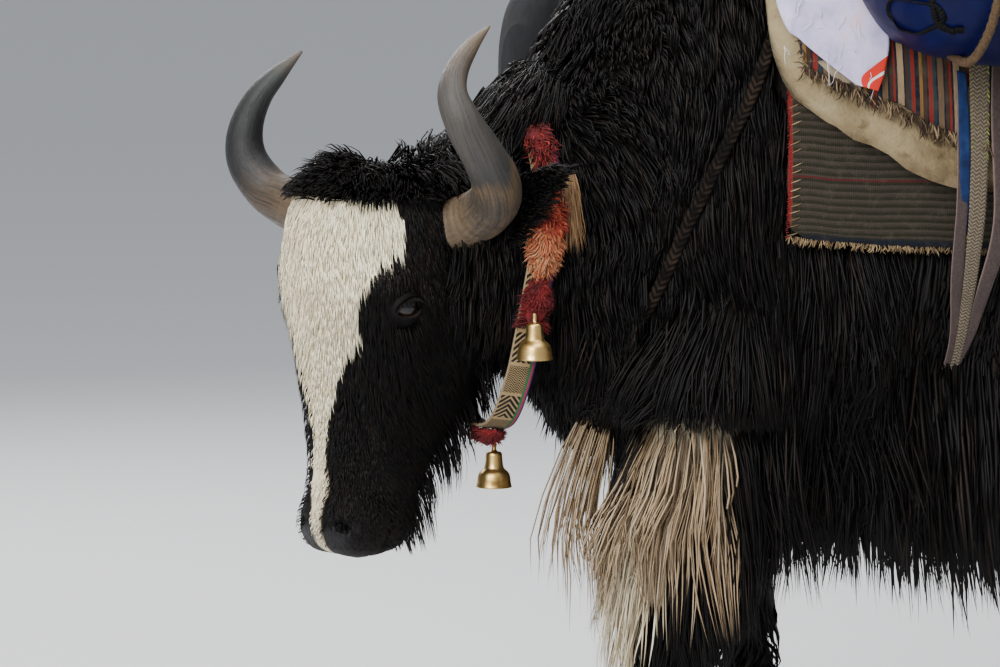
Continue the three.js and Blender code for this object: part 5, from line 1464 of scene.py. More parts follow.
iris = Finish("eye", Roughness=0.12, IOR=1.38, Specular_IOR_Level=0.3, Coat_Weight=0.4, Coat_Roughness=0.03)
gaze = iris.value("gaze")
spokes = iris.cloud(900.0, 2.0)
ring = iris.jittered(gaze, spokes, 0.05)
eye_finish = iris.done(Base_Color=iris.ramp(ring, (0.30, (0.002, 0.002, 0.003)),
                                            (0.36, (0.008, 0.005, 0.004)), (0.60, (0.014, 0.008, 0.005)),
                                            (0.72, (0.006, 0.004, 0.004)), (0.80, (0.05, 0.03, 0.022)),
                                            (1.0, (0.16, 0.11, 0.09))))
theta, phi = np.meshgrid(np.linspace(0, np.pi, 40), np.arange(56) * 2 * np.pi / 56, indexing="ij")
ball = np.stack([np.cos(theta), np.sin(theta) * np.cos(phi), np.sin(theta) * np.sin(phi)], -1)
bulge = EYE_RADIUS * (0.985 + 0.03 * np.exp(-((theta / 0.55) ** 2)))
off_axis = np.hypot(ball[..., 1] / 1.25, ball[..., 2])
for name, mirror in (("eye_left", 1), ("eye_right", -1)):
    rings = mirrored(EYE_AT + ball * bulge[..., None], mirror)
    mesh = lofted(name, rings)
    mark(mesh, "gaze", np.append(np.where(ball[..., 0] > 0, off_axis, 1.0).ravel(), [0.0, 1.0]))
    piece(name, mesh, eye_finish, [name])


# %% Lids
def skin_side(front, low):
    """How far to the side the face's skin lies at a front and down: the superellipse solved for its width,
    then moved by the face's own mounds."""
    _, _, _, width, fore, back, square = head.section(low)
    wide = through(HEAD, 0)(low)[..., 4]
    b = front - wide
    share = np.clip(np.abs(b) / np.where(b > 0, fore[..., 0], back[..., 0]), 0, 0.999)
    a = width[..., 0] * (1 - share ** square[..., 0]) ** (1 / square[..., 0])
    angle = np.degrees(np.arctan2(power(np.sign(b) * share, square[..., 0] / 2),
                                  power(a / width[..., 0], square[..., 0] / 2)))
    return to_head(face(low, angle))[..., 0]


LASHES = 70
LID_PHI = np.arange(120) * 2 * np.pi / 120
lid_steps = np.array([0.0, 0.02, 0.06, 0.12, 0.2, 0.32, 0.46, 0.62, 0.8, 1.0])
lid_radius = np.array([20.4, 21.6, 23.0, 24.2, 24.5, 24.6, 24.4, 24.2, 24.0, 24.0])


def lids(mirror):
    """Rings from the almond out: front = a cos(phi) and down = b sin(phi), tilted, growing to an oval of
    38 by 33 mm. The side is the lid's ball, sqrt(R^2 - r^2), blended with the skin's own side."""
    phi, share = np.meshgrid(LID_PHI, lid_steps, indexing="ij")
    a, b = 18.8 + 17 * share, np.where(np.sin(phi) < 0, 11.8, 9.2) + 17 * share
    x = a * np.cos(phi)
    y = b * np.sign(np.sin(phi)) * np.abs(np.sin(phi)) ** (1.25 - 0.25 * np.minimum(share * 4, 1))
    tilt = np.radians(14) * (1 - share)
    front, low = x * np.cos(tilt) - y * np.sin(tilt), x * np.sin(tilt) + y * np.cos(tilt)
    r = np.hypot(front, low)
    radius = np.interp(share, lid_steps, lid_radius)
    on_ball = np.sqrt(np.maximum(radius ** 2 - r ** 2, 0)) - np.maximum(r - radius, 0)
    flesh = skin_side(EYE_AT[1] + front, EYE_AT[2] + 1 + low) - EYE_AT[0]
    soft = 0.5 * (on_ball + flesh + np.sqrt((on_ball - flesh) ** 2 + 16))
    folds = (0.8 * np.cos(share * 34 + 0.6 * np.sin(3 * phi)) * step(share, 0.10, 0.25)
             * (1 - step(share, 0.6, 0.9)))
    side = np.where(share < 0.1, np.maximum(on_ball, 0), soft + folds) - 2.6 * step(share, 0.8, 1.0)
    top = EYE_AT + np.stack([side, front, low + 1], -1)
    under = top - np.array([3.5, 0, 0]) - np.stack([np.zeros_like(r), front, low], -1) * 0.02
    return mirrored(np.concatenate([top, under[:, ::-1]], 1), mirror)


lid_skin = Finish("lid skin", Roughness=0.5, IOR=1.45, Specular_IOR_Level=0.07)
creases = lid_skin.noise(lid_skin.place(scale=(1, 1, 2.5)), 380.0, 4.0)
rim = lid_skin.ramp(lid_skin.value("rim"), (0.0, (0.040, 0.028, 0.023)), (0.4, (0.012, 0.009, 0.008)),
                    (1.0, (0.0016, 0.0015, 0.0016)))
lid_finish = lid_skin.done(Base_Color=lid_skin.mix(creases, rim, (0.003, 0.0027, 0.003)),
                           Normal=lid_skin.bump(creases, 0.5, 0.0012))
for name, mirror in (("lids_left", 1), ("lids_right", -1)):
    rings = lids(mirror)
    mesh = hoop_mesh(name, rings)
    mark(mesh, "rim", np.tile(np.clip(np.concatenate([lid_steps, lid_steps[::-1]]) * 4, 0, 1), len(LID_PHI)))
    piece(name, mesh, lid_finish)
    upper = rings[(np.sin(LID_PHI) < -0.15), 1]
    spots = spaced(upper, np.linspace(0.02, 0.98, LASHES))
    fan = HEAD_FRONT * np.linspace(-0.5, 0.5, LASHES)[:, None]
    away = unit(np.tile(HEAD_SIDE * mirror, (LASHES, 1)) * 0.9 + DOWN * 0.15 + fan)
    free_strands(name.replace("lids", "lashes"), spots, np.tile(-DOWN, (LASHES, 1)), away,
                 spread_of(LASHES, 8, 15, 90), spread_of(LASHES, 0.7, 1.1, 91), 3, strand_finish, 92,
                 droop=0.55, wave=0.1, marks={"cream": np.zeros(LASHES)})


# %% [markdown]
# ## Horns
# Yak horns sweep out, forward and up. Near the skull the horn is wrinkled and pale with dirt; further up it
# is streaked lengthwise, almost black on the far side. The surface is a tube along a smooth line, with
# growth rings that fade with distance from the root.

# %% Horn shape
def horn(name, rows, finish, seed):
    """Rings of the horn's radius, raised by rings along it, 0.9 sin of the distance bent by noise, that
    fade by a third of its length, and by fine lengthwise ridges."""
    places = in_head(np.array(rows)[:, :3])
    radii = np.array(rows)[:, 3:4]
    tube = bent_tube(np.concatenate([places, radii, radii, radii, 2 + 0 * radii], 1).tolist(), X)
    t, angle = np.meshgrid(np.linspace(0, len(rows) - 1.0001, 150), np.arange(44) * 360 / 44, indexing="ij")
    base = tube.on(t, angle)
    far = run_of(tube.section(t[:, 0])[0])
    share = (far / far[-1])[:, None] + 0 * t
    rough = 1 - step(share, 0.12, 0.42)
    wander = noise(base, 26.0, seed) * 1.6
    lift = (0.34 * rough * np.sin(far[:, None] / 2.6 + wander * 2.2)
            + 1.3 * rough * noise(base, 16.0, seed + 1))
    unrolled = np.stack([angle * 0.9, far[:, None] / 14 + 0 * angle, 0 * angle], -1)
    lift += 0.35 * noise(unrolled, 3.0, seed + 2) * (1 - rough * 0.6)
    lift += 0.5 * noise(base, 40.0, seed + 3)
    fade = np.clip(radii[-1, 0] + (1 - share) * 60, 0, 12) / 12
    rings = tube.on(t, angle, lift * fade)
    mesh = lofted(name, rings)
    mark(mesh, "share", np.append(share.ravel(), [0, 1]))
    layer = mesh.attributes.new("grain", "FLOAT_VECTOR", "POINT")
    turn = np.radians(angle)
    grain = np.stack([np.cos(turn) * 0.03, np.sin(turn) * 0.03, far[:, None] * 0.001 + 0 * t],
                     -1).reshape(-1, 3)
    layer.data.foreach_set("vector",
                           np.concatenate([grain, grain[:1], grain[-1:]]).astype(np.float32).ravel())
    return piece(name, mesh, finish, [name])


def horn_finish(name, stops, streak):
    """Colours along the horn, crossed by fine lengthwise streaks, with dull scurf near the root."""
    made = Finish(name, IOR=1.5, Specular_IOR_Level=0.32)
    grain = made.add("Attribute", {"attribute_name": "grain"}).outputs["Vector"]
    streaks = made.noise(made.add("Mapping", Vector=grain, Scale=(1, 1, 0.035)), 420.0, 6.0, 0.75)
    blots = made.noise(made.add("Mapping", Vector=grain, Scale=(1, 1, 0.35)), 38.0, 4.0)
    share = made.jittered(made.value("share"), blots, 0.22)
    colour = made.ramp(share, *stops)
    lines = made.ramp(streaks, (0.42, 0), (0.60, 1))
    strength = made.ramp(share, (0.0, 0.15), (0.25, 0.75), (0.8, 0.6), (1.0, 0.2))
    colour = made.mix(made.mix(strength, 0, lines), colour, streak)
    scurf = made.cloud(160.0, 6.0, 0.7)
    base = made.ramp(share, (0.0, 1), (0.30, 0))
    colour = made.mix(made.mix(base, 0, made.ramp(scurf, (0.45, 0), (0.6, 1))), colour, (0.10, 0.070, 0.042))
    rough = made.ramp(scurf, (0.3, 0.38), (0.7, 0.62))
    under = made.bump(streaks, 0.6, 0.0012)
    return made.done(Base_Color=colour, Roughness=rough, Normal=made.bump(scurf, 0.6, 0.0011, under))


near_horn = horn_finish("horn near", [
    (0.0, (0.061, 0.042, 0.024)), (0.16, (0.108, 0.073, 0.042)), (0.34, (0.072, 0.056, 0.039)),
    (0.42, (0.122, 0.080, 0.042)), (0.47, (0.042, 0.038, 0.033)), (0.72, (0.052, 0.044, 0.035)),
    (0.88, (0.094, 0.068, 0.044)), (1.0, (0.122, 0.091, 0.059)),
], (0.013, 0.015, 0.018))
far_horn = horn_finish("horn far", [
    (0.0, (0.072, 0.049, 0.028)), (0.22, (0.090, 0.060, 0.033)), (0.40, (0.061, 0.042, 0.027)),
    (0.50, (0.010, 0.009, 0.009)), (0.76, (0.012, 0.013, 0.012)), (0.86, (0.032, 0.036, 0.031)),
    (0.93, (0.061, 0.053, 0.043)), (1.0, (0.094, 0.073, 0.057)),
], (0.006, 0.006, 0.007))
horn("horn_left", HORNS["horn_left"], near_horn, 101)
horn("horn_right", HORNS["horn_right"], far_horn, 111)

# %% [markdown]
# ## Hooves
# A cloven hoof is two claws side by side with a gap between them. Each claw is a loft of flattened ovals,
# widest at the ground, with the faint rings that growing leaves. The two small dewclaws sit behind.

# %% Claws
HOOF = through([[0, 50, 70, 48], [34, 46, 56, 46], [62, 40, 44, 42]], 0)
hoof_horn = Finish("hoof horn", IOR=1.45, Specular_IOR_Level=0.3)
growth = hoof_horn.add("TexWave", {"bands_direction": "Z"}, Vector=hoof_horn.place(), Scale=55.0,
                       Distortion=3.0, Detail=3.0)
fibre = hoof_horn.noise(hoof_horn.place(scale=(1, 1, 0.1)), 260.0, 4.0)
chipped = hoof_horn.ramp(fibre, (0.3, (0.022, 0.018, 0.015)), (0.6, (0.060, 0.050, 0.041)),
                         (0.85, (0.14, 0.115, 0.09)))
hoof_finish = hoof_horn.done(Base_Color=chipped, Roughness=hoof_horn.ramp(fibre, (0.3, 0.45), (0.8, 0.7)),
                             Normal=hoof_horn.bump(growth, 0.35, 0.0014, hoof_horn.bump(fibre, 0.4, 0.0008)))


def claw(x, y, side):
    """Half of a hoof: ovals from its own half width and the toe's and heel's reach at each height."""
    z, turn = np.meshgrid(np.linspace(0, 1, 26) ** 1.2 * 61.5, np.arange(40) * 2 * np.pi / 40, indexing="ij")
    _, width, toe, heel = np.moveaxis(HOOF(z), -1, 0)
    half = (width - 3.5) / 2
    reach = np.where(np.cos(turn) > 0, toe * 0.985, heel * 0.985)
    across = half * power(np.sin(turn), 0.85)
    lean = 1 - 0.10 * (np.sin(turn) * side < 0) * np.abs(np.sin(turn))
    ripple = 0.35 * np.sin(z * 0.9 + 0.7 * np.sin(turn))
    ahead = (reach + ripple) * power(np.cos(turn), 0.85) * lean
    return np.stack([x + ahead, y + side * (3.5 + half) + across, z], -1)


def dewclaw(x, y, side):
    """A small blunt cone of horn behind the pastern."""
    share, turn = np.meshgrid(np.linspace(0, 1, 9), np.arange(16) * 2 * np.pi / 16, indexing="ij")
    radius = 9.5 * np.sqrt(1 - (share * 0.97) ** 2)
    return np.stack([x - 40 - 16 * share, y + side * 20 + radius * np.cos(turn),
                     96 - 8 * share + 1.3 * radius * np.sin(turn)], -1)


for name, rows in LEGS.items():
    hoof = name.replace("leg", "hoof")
    x, y = rows[-1][:2]
    lofts = [closed_loft(part(x, y, side)) for part in (claw, dewclaw) for side in (1, -1)]
    starts = np.cumsum([0] + [len(points) for points, _ in lofts])
    faces = [f + start for (_, group), start in zip(lofts, starts) for f in group]
    mesh = outward_faces(mesh_of(hoof, np.concatenate([points for points, _ in lofts]), faces))
    piece(hoof, mesh, hoof_finish, [hoof])

# %% [markdown]
# ## The collar
# A woven band runs round the neck: dark, with cream chevrons, a cream cord along its front edge and green,
# crimson and blue lines along its back edge. Its pattern is worked out on the band's own map, in metres
# along and across it, so the chevrons follow every bend.

# %% The band and its map
COLLAR_WIDTH, COLLAR_THICK = 34.0, 5.0
shares = np.arange(300) / 300
at, along, out, across = on_collar(shares)
turn = np.arange(20) * 2 * np.pi / 20
flat_side = power(np.cos(turn), 0.35) * (COLLAR_WIDTH / 2 - 0.3)
raised = COLLAR_THICK / 2 + power(np.sin(turn), 0.45) * (COLLAR_THICK / 2 - 0.2)
band = at[:, None] + across[:, None] * flat_side[None, :, None] + out[:, None] * raised[None, :, None]
band_mesh = hoop_mesh("collar_band", band)
band_u = np.tile(np.abs(shares - 0.5)[:, None] * collar_length * 0.001, (1, 20))
own_map(band_mesh, "weave", np.stack([band_u, np.tile(flat_side * 0.001, (300, 1))], -1))

# %% Chevrons
weave = Finish("chevron weave", Roughness=0.85, Sheen_Weight=0.03)
run, wide = weave.along_weave()
vee = weave.plus(weave.times(run, 128.0),
                 weave.times(weave.maths("ABSOLUTE", weave.plus(wide, -0.003)), 140.0))
chevron = weave.maths("GREATER_THAN", weave.maths("FRACT", vee), 0.60)
herring = weave.plus(weave.times(run, 330.0),
                     weave.times(weave.maths("PINGPONG", weave.plus(wide, 0.1), 0.0045), 330.0))
small = weave.maths("GREATER_THAN", weave.maths("FRACT", herring), 0.56)
block = weave.maths("FRACT", weave.times(run, 12.5))
pattern = weave.mix(weave.maths("GREATER_THAN", block, 0.52), chevron, small)
bars = weave.maths("GREATER_THAN", weave.apart(weave.maths("FRACT", weave.times(run, 25.0)), 0.5), 0.45)
worn_cream = weave.mix(weave.cloud(70.0), (0.22, 0.145, 0.060), (0.42, 0.30, 0.145))
face_colour = weave.mix(weave.mix(bars, pattern, 1), (0.0035, 0.003, 0.004), worn_cream)
edge_colour = weave.ramp(weave.times(wide, 1 / 0.034, 0.5), (0.0, (0.012, 0.02, 0.07)),
                         (0.07, (0.012, 0.02, 0.07)), (0.075, (0.30, 0.015, 0.075)),
                         (0.145, (0.30, 0.015, 0.075)), (0.15, (0.015, 0.12, 0.04)),
                         (0.235, (0.015, 0.12, 0.04)), (0.24, 0), (0.94, 0), (0.945, (0.26, 0.19, 0.105)))
inner = weave.times(weave.maths("GREATER_THAN", wide, -0.0089), weave.maths("LESS_THAN", wide, 0.0150))
both = weave.times(weave.waves("X", 260.0, 0.6), weave.waves("Y", 300.0, 0.6))
dirty = weave.mix(weave.times(weave.cloud(26.0, 5.0), 0.30), weave.mix(inner, edge_colour, face_colour),
                  (0.03, 0.022, 0.016))
collar_finish = weave.done(Base_Color=dirty, Normal=weave.bump(both, 0.6, 0.0008))
piece("collar_band", band_mesh, collar_finish, ["collar_band"])


# %% [markdown]
# ## Wool, poms and tassels
# Loose dyed wool is bound on over the crest and down each side, in red that fades to orange and cream, with
# a tight dark red pom above each bell and a combed cream tassel behind the ears. Each is a soft lump
# covered in fine curly strands, since yarn ends against the light give wool its outline.

# %% Wool
def wool_finish(name, *stops):
    """Dyed wool: the dye along the bunch and the chance of each strand pick its colour."""
    made = Finish(name, Roughness=0.8, Sheen_Weight=0.06, Sheen_Roughness=0.5)
    fluff = made.cloud(260.0, 5.0)
    mixed = made.jittered(made.value("dye"), made.value("shade"), 0.34)
    colour = made.mix(made.times(fluff, 0.6), made.ramp(mixed, *stops), (0.02, 0.004, 0.004))
    return made.done(Base_Color=colour, Normal=made.bump(fluff, 0.7, 0.002))


dyes = wool_finish("dyed wool", (0.0, (0.045, 0.004, 0.006)), (0.25, (0.22, 0.013, 0.012)),
                   (0.5, (0.46, 0.052, 0.022)), (0.75, (0.60, 0.18, 0.072)), (1.0, (0.64, 0.36, 0.18)))
pom_wool = wool_finish("pom wool", (0.0, (0.055, 0.003, 0.005)), (0.5, (0.17, 0.007, 0.010)),
                       (1.0, (0.30, 0.020, 0.018)))
WOOL_CLEAR = 3.5


def bunch_point(share, angle, across, out_by, first, last):
    """A bunch's surface over the band, with its normal and the direction along the band: across cos and
    out sin of the angle, swelling by the square root of a half sine along it."""
    at, along, out, side = on_collar(share)
    u = np.clip((share - first) / (last - first), 0, 1)
    swell = np.sqrt(np.sin(np.pi * (0.03 + 0.94 * u)))[..., None]
    c, h = np.cos(np.radians(angle))[..., None], np.sin(np.radians(angle))[..., None]
    place = at + side * across * swell * c + out * (COLLAR_THICK + WOOL_CLEAR + out_by * swell * h)
    return place, unit(side * c / across + out * h / out_by), along


# %% Bunches of wool
def wool_bunch(name, first, last, across, out_by, count, length, width, finish, dye, seed, curl=0.7,
               droop=0.35):
    """A lump at three quarters of the bunch's size, covered with curly strands that lean down the band."""
    share, angle = np.meshgrid(np.linspace(first, last, 40), np.linspace(0, 180, 22), indexing="ij")
    surface, normal, _ = bunch_point(share, angle, across, out_by, first, last)
    lumpy = surface - normal * (out_by * 0.25) + normal * (2.2 * noise(surface, 9.0, seed))[..., None]
    mesh = lofted(name, lumpy)
    tint = np.append(dye((share - first) / (last - first), angle).ravel(), [0.3, 0.3])
    mark(mesh, "dye", tint)
    mark(mesh, "shade", 0.35 + 0 * tint)
    lump = piece(name, mesh, finish, [name])
    chance = np.random.default_rng(seed)
    share, angle = chance.uniform(first, last, count), chance.uniform(-8, 188, count)
    surface, normal, along = bunch_point(share, angle, across, out_by, first, last)
    sway = np.sign(along[:, 2:] * -1) * along
    way = unit(normal * 0.75 + sway * 0.55 + chance.normal(size=surface.shape) * 0.3)
    u = (share - first) / (last - first)
    long = (length(share) if callable(length) else length) * chance.uniform(0.6, 1.15, count)
    thick = width * chance.uniform(0.7, 1.2, count)
    tint = dye(u, angle) + chance.normal(0, 0.08, count)
    free_strands(f"{name}_fibres", surface - normal * (out_by * 0.32), normal, way, long, thick, 4, finish,
                 seed, droop=droop, wave=curl, wave_size=12.0, marks={"dye": tint},
                 uv=np.stack([0.02 + 0.96 * u, 0.05 + 0.9 * (angle + 8) / 196], -1),
                 bend=lambda p: np.where(near_bells(p, 1)[:, None], p - 9 * normal, p))
    return lump


def crest_dye(u, _):
    """The crest's dye: dark red, a little lighter towards both ends."""
    return 0.06 + 0.10 * np.sin(np.pi * u) ** 4 + 0.16 * np.exp(-(((np.abs(u - 0.5) - 0.42) / 0.07) ** 2))


def reach_of_crest(share):
    """The crest's fibres are short under the nape's hair and long below it."""
    return 7 + 13 * step(np.abs(share), 0.085, 0.11)


def side_dye(u, _):
    """The dye of the side bunches: red that fades to orange and cream down the neck."""
    return 0.38 + 0.12 * np.sin(u * 7) + 0.5 * step(u, 0.42, 0.62) * (1 - 0.4 * step(u, 0.85, 1.0))


wool_bunch("wool_crest", -0.13, 0.13, 25, 12, 1500, reach_of_crest, 1.8, dyes, crest_dye, 121)
wool_bunch("wool_left", 0.15, 0.245, 19, 18, 1700, 19, 1.7, dyes, side_dye, 122)
wool_bunch("wool_right", 0.755, 0.85, 19, 18, 700, 19, 2.4, dyes, lambda u, angle: side_dye(1 - u, angle),
           123)
POMS = (("pom_left", 0.25, 0.306, 20, 24, 1500, 124), ("pom_right", 0.694, 0.75, 20, 24, 800, 125),
        ("pom_throat", 0.452, 0.51, 19, 22, 1500, 126))
for name, first, last, across, out_by, count, seed in POMS:
    wool_bunch(name, first, last, across, out_by, count, 11.5, 1.5, pom_wool,
               lambda u, angle: 0.5 + 0.25 * np.sin(9 * u + angle / 20), seed, curl=0.45,
               droop=0.1)

# %% Tassels
combed = Finish("combed hair", Roughness=0.6, Sheen_Weight=0.03)
hairs = combed.noise(combed.place(scale=(1, 1, 0.1)), 300.0, 4.0)
strand_shade = combed.times(combed.value("shade"), 0.6, combed.times(hairs, 0.4))
tow = combed.ramp(strand_shade, (0.1, (0.050, 0.024, 0.010)), (0.45, (0.15, 0.080, 0.034)),
                  (0.9, (0.30, 0.19, 0.090)))
tassel_finish = combed.done(Base_Color=tow)
TASSEL_MIDDLE = 9.0  # the neck's middle line where the tassels hang
TASSEL_AT = np.array([446, 116, 845.0])


def swapped(points, side):
    """Points mirrored over the neck's middle for the right side, and as they are for the left."""
    return points * np.array([1, side, 1]) + np.array([0, TASSEL_MIDDLE * (1 - side), 0])


def clear_of_neck(points, side):
    """Points of a tassel kept just outside the neck's coat."""
    shown = swapped(points, side)
    return swapped(trunk.held(shown, low=CORE + 9 + 0 * shown[:, 0]), side)


n = 380
for name, side in (("tassel_left", 1), ("tassel_right", -1)):
    chance = np.random.default_rng(131 + side)
    spot = TASSEL_AT + chance.uniform(-1.3, 1.3, n)[:, None] * np.array([0, 5, -9.0])
    spot = spot + chance.normal(size=(n, 3)) * np.array([3, 2.5, 4])
    root = clear_of_neck(swapped(spot, side), side)
    out = unit(np.tile(np.array([-0.3, side, 0.2]), (n, 1)))
    way = unit(np.array([-0.06, 0.25 * side, -1.0]) + chance.normal(size=(n, 3)) * 0.10)
    tassel = free_strands(name, root, out, way, chance.uniform(38, 66, n), chance.uniform(1.2, 2.0, n), 4,
                          tassel_finish, 133 + side, droop=0.9, wave=0.22, wave_size=45.0,
                          bend=lambda points: clear_of_neck(points, side))
    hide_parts(name)

# %% [markdown]
# ## Bells
# The bells are cast brass, turned on a lathe: a tall narrow crown, a shoulder, and a bowl with a flared lip.
# So each is a profile carried round an axis. An iron clapper hangs inside, and a short stem at the top
# holds the bell to its pom.

# %% Lathe
BELL_PROFILE = [
    (0, 12), (2.4, 12), (2.6, 10), (2.6, 2), (4, 0.6), (7.5, 0), (9.3, -1.6), (9.9, -4), (10.2, -10),
    (10.9, -16), (11.6, -19.5), (13.6, -21.5), (16.8, -24), (18.9, -27.5), (19.8, -32), (20.2, -37),
    (21.0, -40.2), (21.6, -42), (21.2, -42.9), (20.2, -42.6), (19.0, -40), (18.0, -33), (16.0, -27),
    (11.5, -23), (9.4, -16), (8.2, -9), (5, -6.6), (0, -6),
]


def turned(name, profile, at, sides=44):
    """A profile of radius and height carried round a vertical axis, each ring a circle, and closed by a
    point at each end."""
    profile = np.array(profile, float)
    halves = [np.linspace(a, b, 2, endpoint=False) for a, b in zip(profile[:-1], profile[1:])]
    smooth = np.concatenate(halves + [profile[-1:]])
    smooth[1:-1] = (smooth[:-2] + 2 * smooth[1:-1] + smooth[2:]) / 4
    turn = np.arange(sides) * 2 * np.pi / sides
    radius, height = smooth[1:-1, :1], smooth[1:-1, 1:]
    rings = np.stack([radius * np.cos(turn), radius * np.sin(turn), height + 0 * turn], -1)
    points, faces = closed_loft(rings + np.array(at, float))
    points[-2:] = np.array(at, float) + np.array([[0, 0, smooth[0, 1]], [0, 0, smooth[-1, 1]]])
    return outward_faces(mesh_of(name, points, faces))


brass = Finish("brass", Metallic=1.0)
smudge = brass.cloud(55.0, 5.0)
scratch = brass.noise(brass.place(scale=(1, 1, 6)), 420.0, 3.0)
spots = brass.ramp(smudge, (0.32, (0.20, 0.115, 0.035)), (0.46, (0.52, 0.34, 0.115)),
                   (0.75, (0.68, 0.47, 0.19)))
brass_finish = brass.done(Base_Color=spots, Roughness=brass.ramp(smudge, (0.3, 0.52), (0.7, 0.27)),
                          Normal=brass.bump(scratch, 0.18, 0.0005, brass.bump(smudge, 0.2, 0.002)))
iron = Finish("clapper iron", Metallic=0.85)
pits = iron.cloud(600.0, 4.0)
iron_finish = iron.done(Base_Color=iron.ramp(pits, (0.35, (0.05, 0.035, 0.025)), (0.7, (0.17, 0.14, 0.11))),
                        Roughness=iron.ramp(pits, (0.3, 0.7), (0.8, 0.45)),
                        Normal=iron.bump(pits, 0.4, 0.0006))
CLAPPER_PROFILE = [(0, -7), (1.4, -7.2), (1.9, -8), (1.7, -20), (1.9, -34.8), (3.4, -36.4), (4.5, -39),
                   (4.5, -41), (3.3, -43.6), (1.5, -44.6), (0, -44.8)]
for place, crown in BELL_CROWNS.items():
    piece(f"bell_{place}", turned(f"bell_{place}", BELL_PROFILE, crown), brass_finish, [f"bell_{place}"])
    piece(f"clapper_{place}", turned(f"clapper_{place}", CLAPPER_PROFILE, crown, 28), iron_finish,
          [f"clapper_{place}"])

# %% [markdown]
# ## Saddle cloths
# Three cloths lie on the back: a dark striped blanket, a canvas pad and a striped rug with a worn edge.
# Each follows the same skin at its own height, so they can't cross. A cloth's map gives the metres along
# the yak and the metres down over its side, so that stripes and weave have their real size everywhere.

# %% Draped cloths
def cloth_grid(cut, rows, columns, ragged=0.0, seed=0, corner=0.0):
    """x from the front to the rear, and the angle from the left edge over the back to the right edge. The
    edges wander by ragged millimetres, and the front corners are quarter circles of that radius."""
    u, v = np.meshgrid(np.linspace(0, 1, rows), np.linspace(0, 1, columns), indexing="ij")
    wander = ragged * noise(np.stack([v * 1700, v * 0, v * 0], -1), 30.0, seed) if ragged else 0
    down = np.minimum(v, 1 - v) * 900
    inset = corner * (1 - np.sqrt(1 - (1 - np.minimum(down / corner, 1)) ** 2)) if corner else 0
    x = (cut["front"] - 1 - inset + wander * (1 - u) * 0.5) * (1 - u) + (cut["rear"] + 1) * u
    low = np.array(edge_angle(cut, x)) + 0.3
    if ragged:
        low = low + ragged * 0.22 * noise(np.stack([x, 0 * x, 900 * np.round(v)], -1), 22.0, seed + 1)
    angle = low + (180 - 2 * low) * v
    return u, v, x, angle


def cloth_measures(points):
    """Metres along the yak and down each row of a cloth, and the metres to its nearest lower edge."""
    down = run_of(points, 1) / 1000
    along = (points[..., 0] - points[..., 0].max()) / -1000
    return along, down, np.minimum(down, down[:, -1:] - down)


def finish_cloth(mesh, along, down, edge):
    """The map and edge attribute of a closed cloth made of two equal grids."""
    own_map(mesh, "weave", np.tile(np.stack([along, down], -1).reshape(-1, 2), (2, 1)))
    mark(mesh, "edge", np.tile(edge.ravel(), 2))
    return mesh


def threads(name, start, end, out, height, width, finish, seed, steps=4, stray=0.0):
    """Short threads from start to end as closed strands, arched outwards by height sin(pi s) and, if stray
    is given, wandering by that many millimetres towards the end."""
    s = np.linspace(0, 1, steps + 1)[None, :, None]
    height = (np.asarray(height) * np.ones(len(start)))[:, None, None]
    path = start[:, None] * (1 - s) + end[:, None] * s + out[:, None] * height * np.sin(np.pi * s)
    if stray:
        path = path + stray * s * drift(path, 9.0, seed)
    width = np.asarray(width) * np.ones(len(start))
    uv = np.stack([np.linspace(0.01, 0.99, len(start)), (np.arange(len(start)) % 29) / 29], -1)
    return piece(name, strands_mesh(name, path, out, width, uv, seed, flat=0.8), finish)


def hard(*bands):
    """Stops of a ramp for flat bands of colour, each given as its start and colour."""
    stops = []
    for (start, colour), following in zip(bands, list(bands[1:]) + [(1.0, None)]):
        stops += [(start, colour), (max(following[0] - 0.004, start + 0.001), colour)]
    return stops


def weave_bump(made, pitch, strength=0.5, distance=0.0006):
    """Threads over and under: the product of waves along and across the cloth's map, with that pitch in
    metres."""
    warp = made.waves("X", 0.314 / pitch, 0.4)
    weft = made.waves("Y", 0.314 / pitch, 0.4)
    return made.bump(made.times(warp, weft), strength, distance)


# %% Yarn and threads
def yarn(name, *stops):
    """Rough spun yarn whose strands differ in shade."""
    made = Finish(name, Roughness=0.85, Sheen_Weight=0.02)
    fluff = made.cloud(420.0, 3.0)
    shade = made.times(made.value("shade"), 0.75, made.times(fluff, 0.35))
    return made.done(Base_Color=made.ramp(shade, *stops), Normal=made.bump(fluff, 0.5, 0.0008))


tan_yarn = yarn("tan yarn", (0.1, (0.06, 0.037, 0.017)), (0.5, (0.155, 0.102, 0.050)),
                (0.95, (0.30, 0.215, 0.115)))
mixed_yarn = yarn("brown yarn", (0.1, (0.010, 0.006, 0.004)), (0.4, (0.045, 0.026, 0.014)),
                  (0.7, (0.125, 0.080, 0.042)), (0.97, (0.26, 0.185, 0.105)))
red_yarn = yarn("red yarn", (0.1, (0.07, 0.005, 0.005)), (0.9, (0.22, 0.014, 0.011)))
white_yarn = yarn("white yarn", (0.1, (0.45, 0.44, 0.46)), (0.9, (0.75, 0.74, 0.76)))

